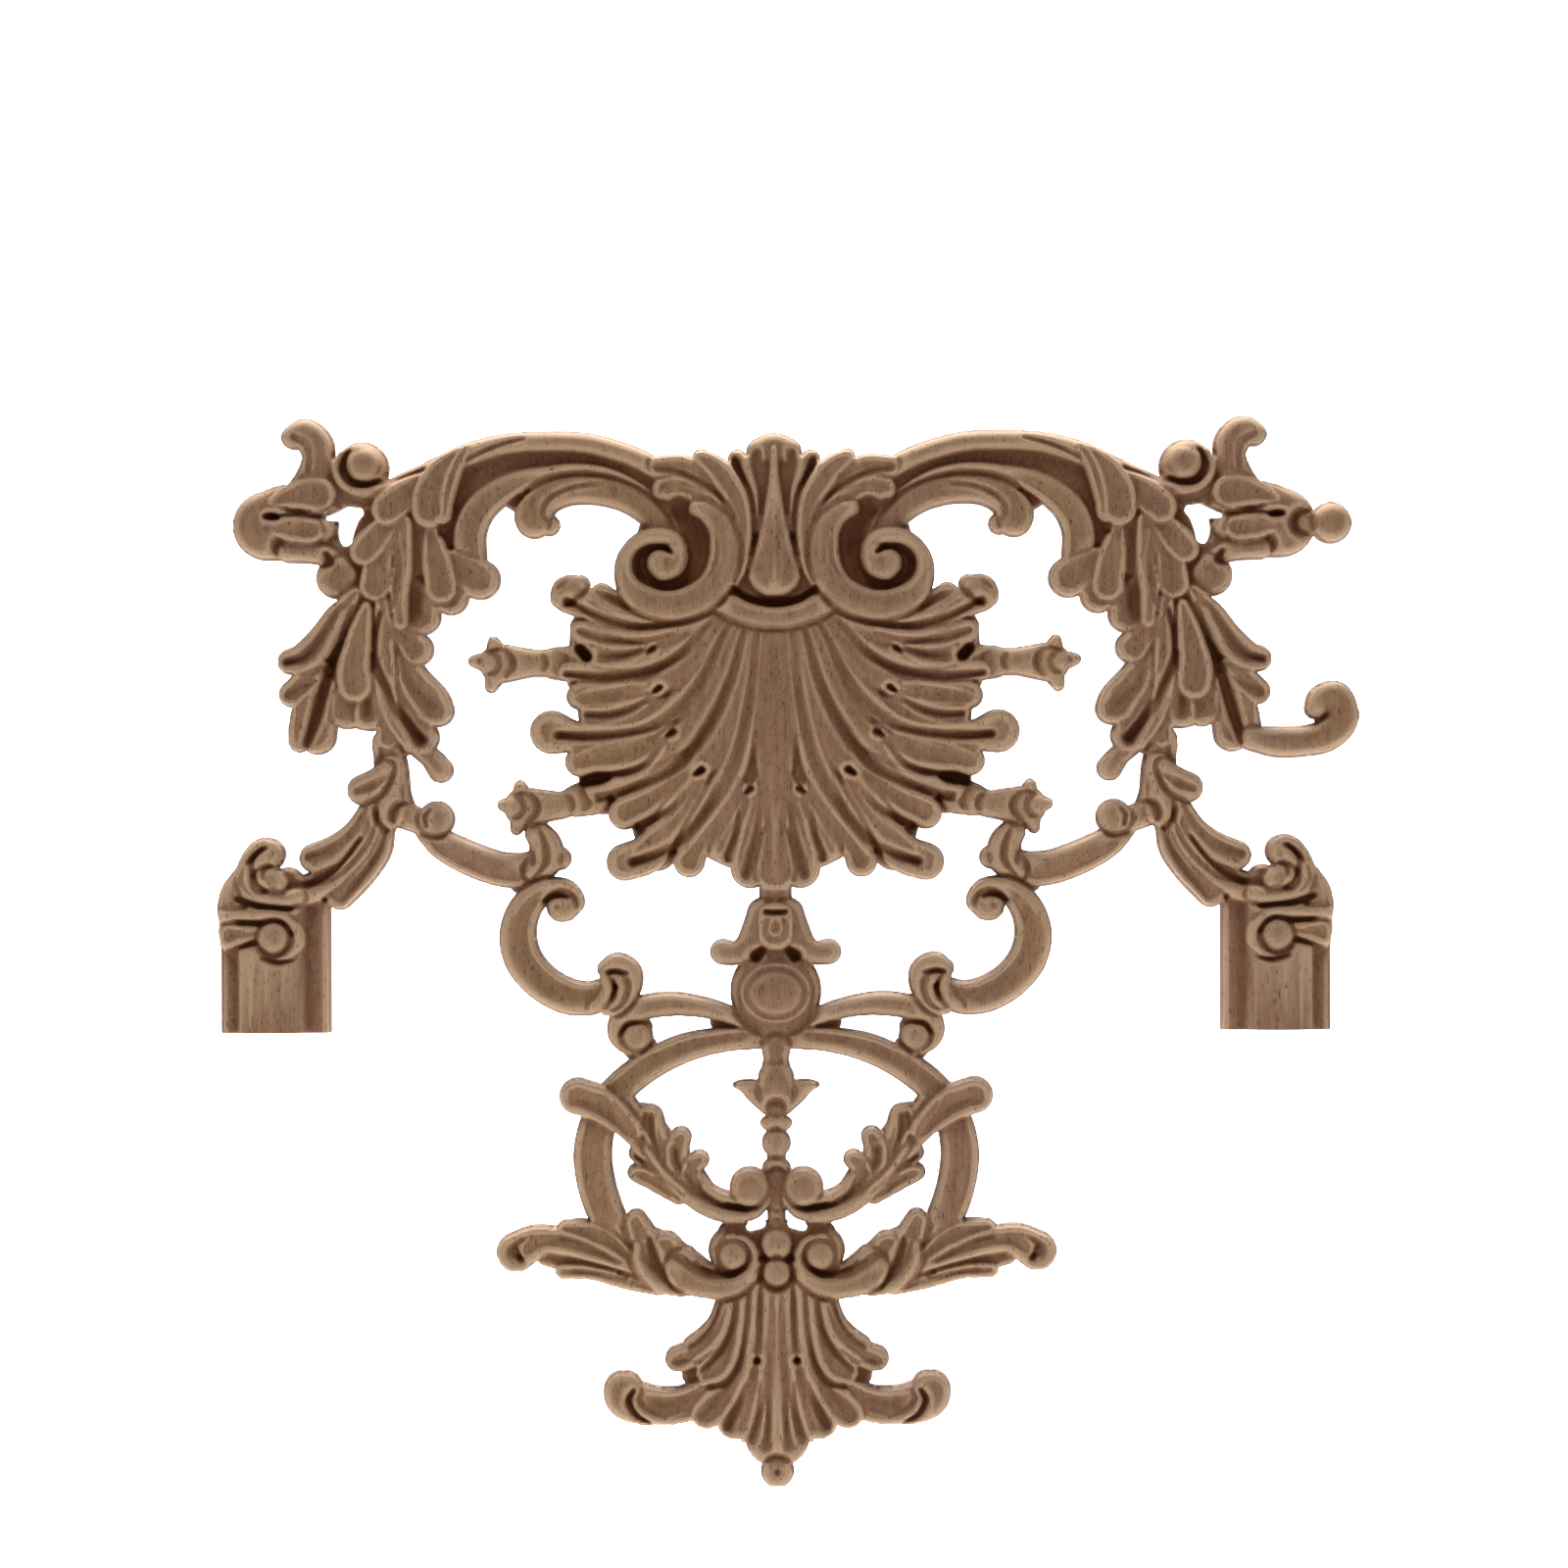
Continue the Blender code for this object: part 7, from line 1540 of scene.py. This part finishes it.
# %% [markdown]
# ## The wood
# Rubberwood, which is machine carved and left raw, is a pale tan hardwood with straight grain, a slight
# drift from pinkish to yellowish where boards were glued side by side, and short dark pores about a
# millimetre long. The grain runs up the piece, so every pattern is stretched along Z. Raw wood is
# matt: its roughness is high and its reflection is that of any dull solid, with an IOR of 1.5.

# %% Colours and sizes of the wood
TAN = "#95704F"
PINK = "#906A52"
PALE = "#B28D6A"
# The next colour is a painted highlight on the rims, the wall and the back
RIM_HIGHLIGHT = "#D0B08E"
# The next two are the painted shade of the hollows; SHADE also tints the fibres, spots and specks
SHADE = "#6E4421"
DEEP_SHADE = "#6A3510"
PORE = "#4C2C1A"
STAVE = 38.0  # mm, width of a glued board
STREAK = 2.4  # mm, width of a streak of the grain
FIBRE = 0.5  # mm, width of a fibre; real ones are finer, but would not show
PORE_WIDE = 0.5  # mm; real pores are 0.2 mm wide, drawn wider so that they show
PORE_LONG = 2.6  # mm between one pore and the next along the grain
SPECKLE = 0.8  # mm, the size of a fine speckle all over, which also breaks up the painted shade of the deep hollows
MOTTLE = 2.2  # mm, the size of the faint spots where the sander pressed more or less
FIBRE_RISE = 0.12  # mm
PORE_DEPTH = 0.15  # mm
DENSE, OPEN = 0.68, 0.8  # roughness of dense and of open wood
print("Pores:", PORE_WIDE, "mm wide,", PORE_LONG, "mm apart, in staves of", STAVE, "mm")

# %% [markdown]
# Object coordinates are metres from the mount, so a Mapping node that multiplies by one over a size
# gives a pattern with that size. Six patterns are noise, each with the size of its spots across and
# along the grain, and its detail. Two more are the measures of the hollows, which the piece carries on
# its points. So the colour has three sources: the drift of the boards, the streaks and pores of the
# grain, and the painted shade of the hollows and painted highlight of the rims.

# %% Patterns of the wood
wood_finish.use_nodes = True
wood = wood_finish.node_tree
shader = wood.nodes["Principled BSDF"]
place = add_node(wood, "ShaderNodeTexCoord").outputs["Object"]
patterns = []
for across, along, detail in (
    (STAVE, 40 * STAVE, 0.0),
    (STREAK, 30 * STREAK, 3.0),
    (FIBRE, 16 * FIBRE, 2.0),
    (SPECKLE, 1.3 * SPECKLE, 1.0),
    (MOTTLE, 2 * MOTTLE, 4.0),
    (PORE_WIDE, PORE_LONG, 1.0),
):
    scale = (1 / (across * MM), 1 / (across * MM), 1 / (along * MM))
    mapped = add_node(wood, "ShaderNodeMapping", Vector=place, Scale=scale)
    noise = add_node(wood, "ShaderNodeTexNoise", Vector=mapped.outputs[0], Scale=1.0, Detail=detail)
    patterns.append(noise.outputs[0])
stave, streak, fibre, speckle, mottle, pore = patterns
near = add_node(wood, "ShaderNodeAttribute", {"attribute_name": "fine_hollow"}).outputs["Fac"]
wide = add_node(wood, "ShaderNodeAttribute", {"attribute_name": "broad_hollow"}).outputs["Fac"]
print("Patterns of noise:", len(patterns))

# %% [markdown]
# Each layer of colour has a measure, the two values between which it fades in, how much of it there is
# at most, and a tint. The list below is read from the bottom layer up, like coats of paint. The painted
# shade of the deepest hollows lies in specks, so its measure is the depth of the hollow times a fine noise.

# %% Layers of colour
# The painted shade of the hollows, broken into specks
speckled_shade = add_node(wood, "ShaderNodeMath", {"operation": "MULTIPLY"}, _0=speckle, _1=wide).outputs[0]
colour = linear(TAN)
for measure, low, high, most, tint in (
    (stave, 0.38, 0.62, 1.0, PINK),
    (streak, 0.35, 0.7, 0.5, PALE),
    (fibre, 0.45, 0.75, 0.4, SHADE),
    (mottle, 0.5, 0.72, 0.35, SHADE),
    (speckle, 0.52, 0.72, 0.3, SHADE),
    # Painted highlight where a point stands above the wood round it: the rims, the wall and the back
    (near, 0.06, 0.32, 0.65, RIM_HIGHLIGHT),
    # Painted shade: the deeper a point lies in a hollow, the darker it is, and in specks where it is
    # deepest
    (wide, -0.3, -2.4, 0.7, SHADE),
    (near, -0.15, -0.8, 0.65, SHADE),
    (speckled_shade, -0.5, -1.7, 0.7, DEEP_SHADE),
    (wide, -2.4, -4.8, 0.8, DEEP_SHADE),
    (pore, 0.66, 0.71, 0.75, PORE),
):
    share = add_node(wood, "ShaderNodeMapRange", Value=measure, From_Min=low, From_Max=high, To_Max=most)
    layer = add_node(wood, "ShaderNodeMix", {"data_type": "RGBA"}, _0=share.outputs[0], _6=colour,
                     _7=linear(tint))
    colour = layer.outputs[2]
wood.links.new(colour, shader.inputs["Base Color"])
print("Nodes of the wood so far:", len(wood.nodes))

# %% [markdown]
# The fibres stand up a little and the pores are small pits, so both go into the surface as bumps. The
# streaks also vary the roughness, since dense wood is a little smoother.

# %% Fibres and pores in the surface
bump = add_node(wood, "ShaderNodeBump", Strength=0.7, Distance=FIBRE_RISE * MM, Height=fibre)
pore_share = share.outputs[0]  # of the last layer
pits = add_node(wood, "ShaderNodeBump", {"invert": True}, Strength=0.6, Distance=PORE_DEPTH * MM,
                Height=pore_share, Normal=bump.outputs[0])
wood.links.new(pits.outputs[0], shader.inputs["Normal"])
sheen = add_node(wood, "ShaderNodeMapRange", Value=streak, From_Min=0.3, From_Max=0.7, To_Min=DENSE,
                 To_Max=OPEN)
wood.links.new(sheen.outputs[0], shader.inputs["Roughness"])
shader.inputs["IOR"].default_value = 1.5
print("Nodes of the wood:", len(wood.nodes))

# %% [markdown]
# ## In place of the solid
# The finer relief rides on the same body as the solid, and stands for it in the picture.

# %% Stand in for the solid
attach(applique, "root")
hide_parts("carved_applique")

# %% [markdown]
# ## Floor, light and camera
# The applique is shown as on a product page: upright in front of a seamless pale sheet, in soft light.
# The sheet is one strip that runs along the floor and curves up behind, so there is no horizon. It
# stands well behind the piece, so no shadow falls on it.

# %% Seamless floor and backdrop
FLOOR = -0.3  # metres, as are the next five
FRONT = -3.0
BEHIND = 2.7
BEND = 0.5
HALF_WIDE = 3.0
HIGH = 3.0
PAPER = "#F6F6F6"


def sweep_profile(steps=24):
    """Rows of y and z: along the floor, round the bend and up."""
    rows = [(FRONT, FLOOR)]
    for n in range(steps + 1):
        turn = math.radians(90 * n / steps)
        rows.append((BEHIND - BEND + BEND * math.sin(turn), FLOOR + BEND - BEND * math.cos(turn)))
    return rows + [(BEHIND, HIGH)]


rows = sweep_profile()
sides = [Vector((side, y, z)) for y, z in rows for side in (-HALF_WIDE, HALF_WIDE)]
strips = [(2 * n, 2 * n + 1, 2 * n + 3, 2 * n + 2) for n in range(len(rows) - 1)]
backdrop = bpy.data.objects.new("backdrop", bpy.data.meshes.new("backdrop"))
backdrop.data.from_pydata(sides, [], strips)
backdrop.data.shade_smooth()
bpy.context.scene.collection.objects.link(backdrop)
paper = bpy.data.materials.new("white_paper")
paper.use_nodes = True
paper_shader = paper.node_tree.nodes["Principled BSDF"]
paper_shader.inputs["Base Color"].default_value = linear(PAPER)
paper_shader.inputs["Roughness"].default_value = 0.9
backdrop.data.materials.append(paper)
print("Backdrop:", len(strips), "strips")

# %% [markdown]
# The light is soft and comes from the front and a little from above, which fills the relief and still
# darkens its hollows. A large lamp makes it soft: the wider a lamp is, the softer its shadows. Two more
# light the sheet: one its floor, which throws the light up into the hollows, and one its far end.

# %% Lamps and surroundings
ROOM_LIGHT = 0.19  # strength of the light from all round


def soft_lamp(name, place, target, size, power):
    """A round lamp that faces its target. The size is in metres, the power in watts."""
    data = bpy.data.lights.new(name, "AREA")
    data.shape = "DISK"
    data.size = size
    data.energy = power
    lamp = bpy.data.objects.new(name, data)
    lamp.location = place
    lamp.rotation_euler = (Vector(target) - Vector(place)).to_track_quat("-Z", "Y").to_euler()
    bpy.context.scene.collection.objects.link(lamp)


soft_lamp("key", (-0.25, -0.95, 1.45), (0, 0, -0.05), 0.6, 8.8)
soft_lamp("fill", (0.5, -2.2, 0.0), (0, 0, -0.05), 1.6, 2.5)
soft_lamp("floor_lamp", (0, 0.5, 1.3), (0, 1.3, -0.2), 1.2, 50)
soft_lamp("backdrop_lamp", (0, BEHIND - 0.8, 1.3), (0, BEHIND, -0.2), 1.6, 90)
world = bpy.data.worlds.new("studio")
bpy.context.scene.world = world
world.use_nodes = True
surroundings = world.node_tree.nodes["Background"]
surroundings.inputs["Color"].default_value = linear("#FFFFFF")
surroundings.inputs["Strength"].default_value = ROOM_LIGHT
bpy.context.scene.view_settings.view_transform = "Standard"

# %% [markdown]
# The photograph was taken from straight in front, with the piece turned by a fifth of a degree. The
# camera is turned instead, and the piece stays level. A long lens from two metres keeps the relief
# from spreading.

# %% Camera
DISTANCE = 2.008  # metres
LENS = 150  # mm
SENSOR = 36  # mm wide
AIM_X, AIM_Z = 0.00273, -0.0120  # metres
ROLL_OF_CAMERA = 0.2  # degrees

camera = bpy.data.objects.new("camera", bpy.data.cameras.new("camera"))
camera.data.lens = LENS
camera.data.sensor_width = SENSOR
camera.location = (AIM_X, -DISTANCE, AIM_Z)
camera.rotation_euler = (math.radians(90), math.radians(ROLL_OF_CAMERA), 0)
bpy.context.scene.collection.objects.link(camera)
bpy.context.scene.camera = camera
print("The picture is", round(SENSOR / LENS * DISTANCE, 2), "m wide at the piece")

# %% [markdown]
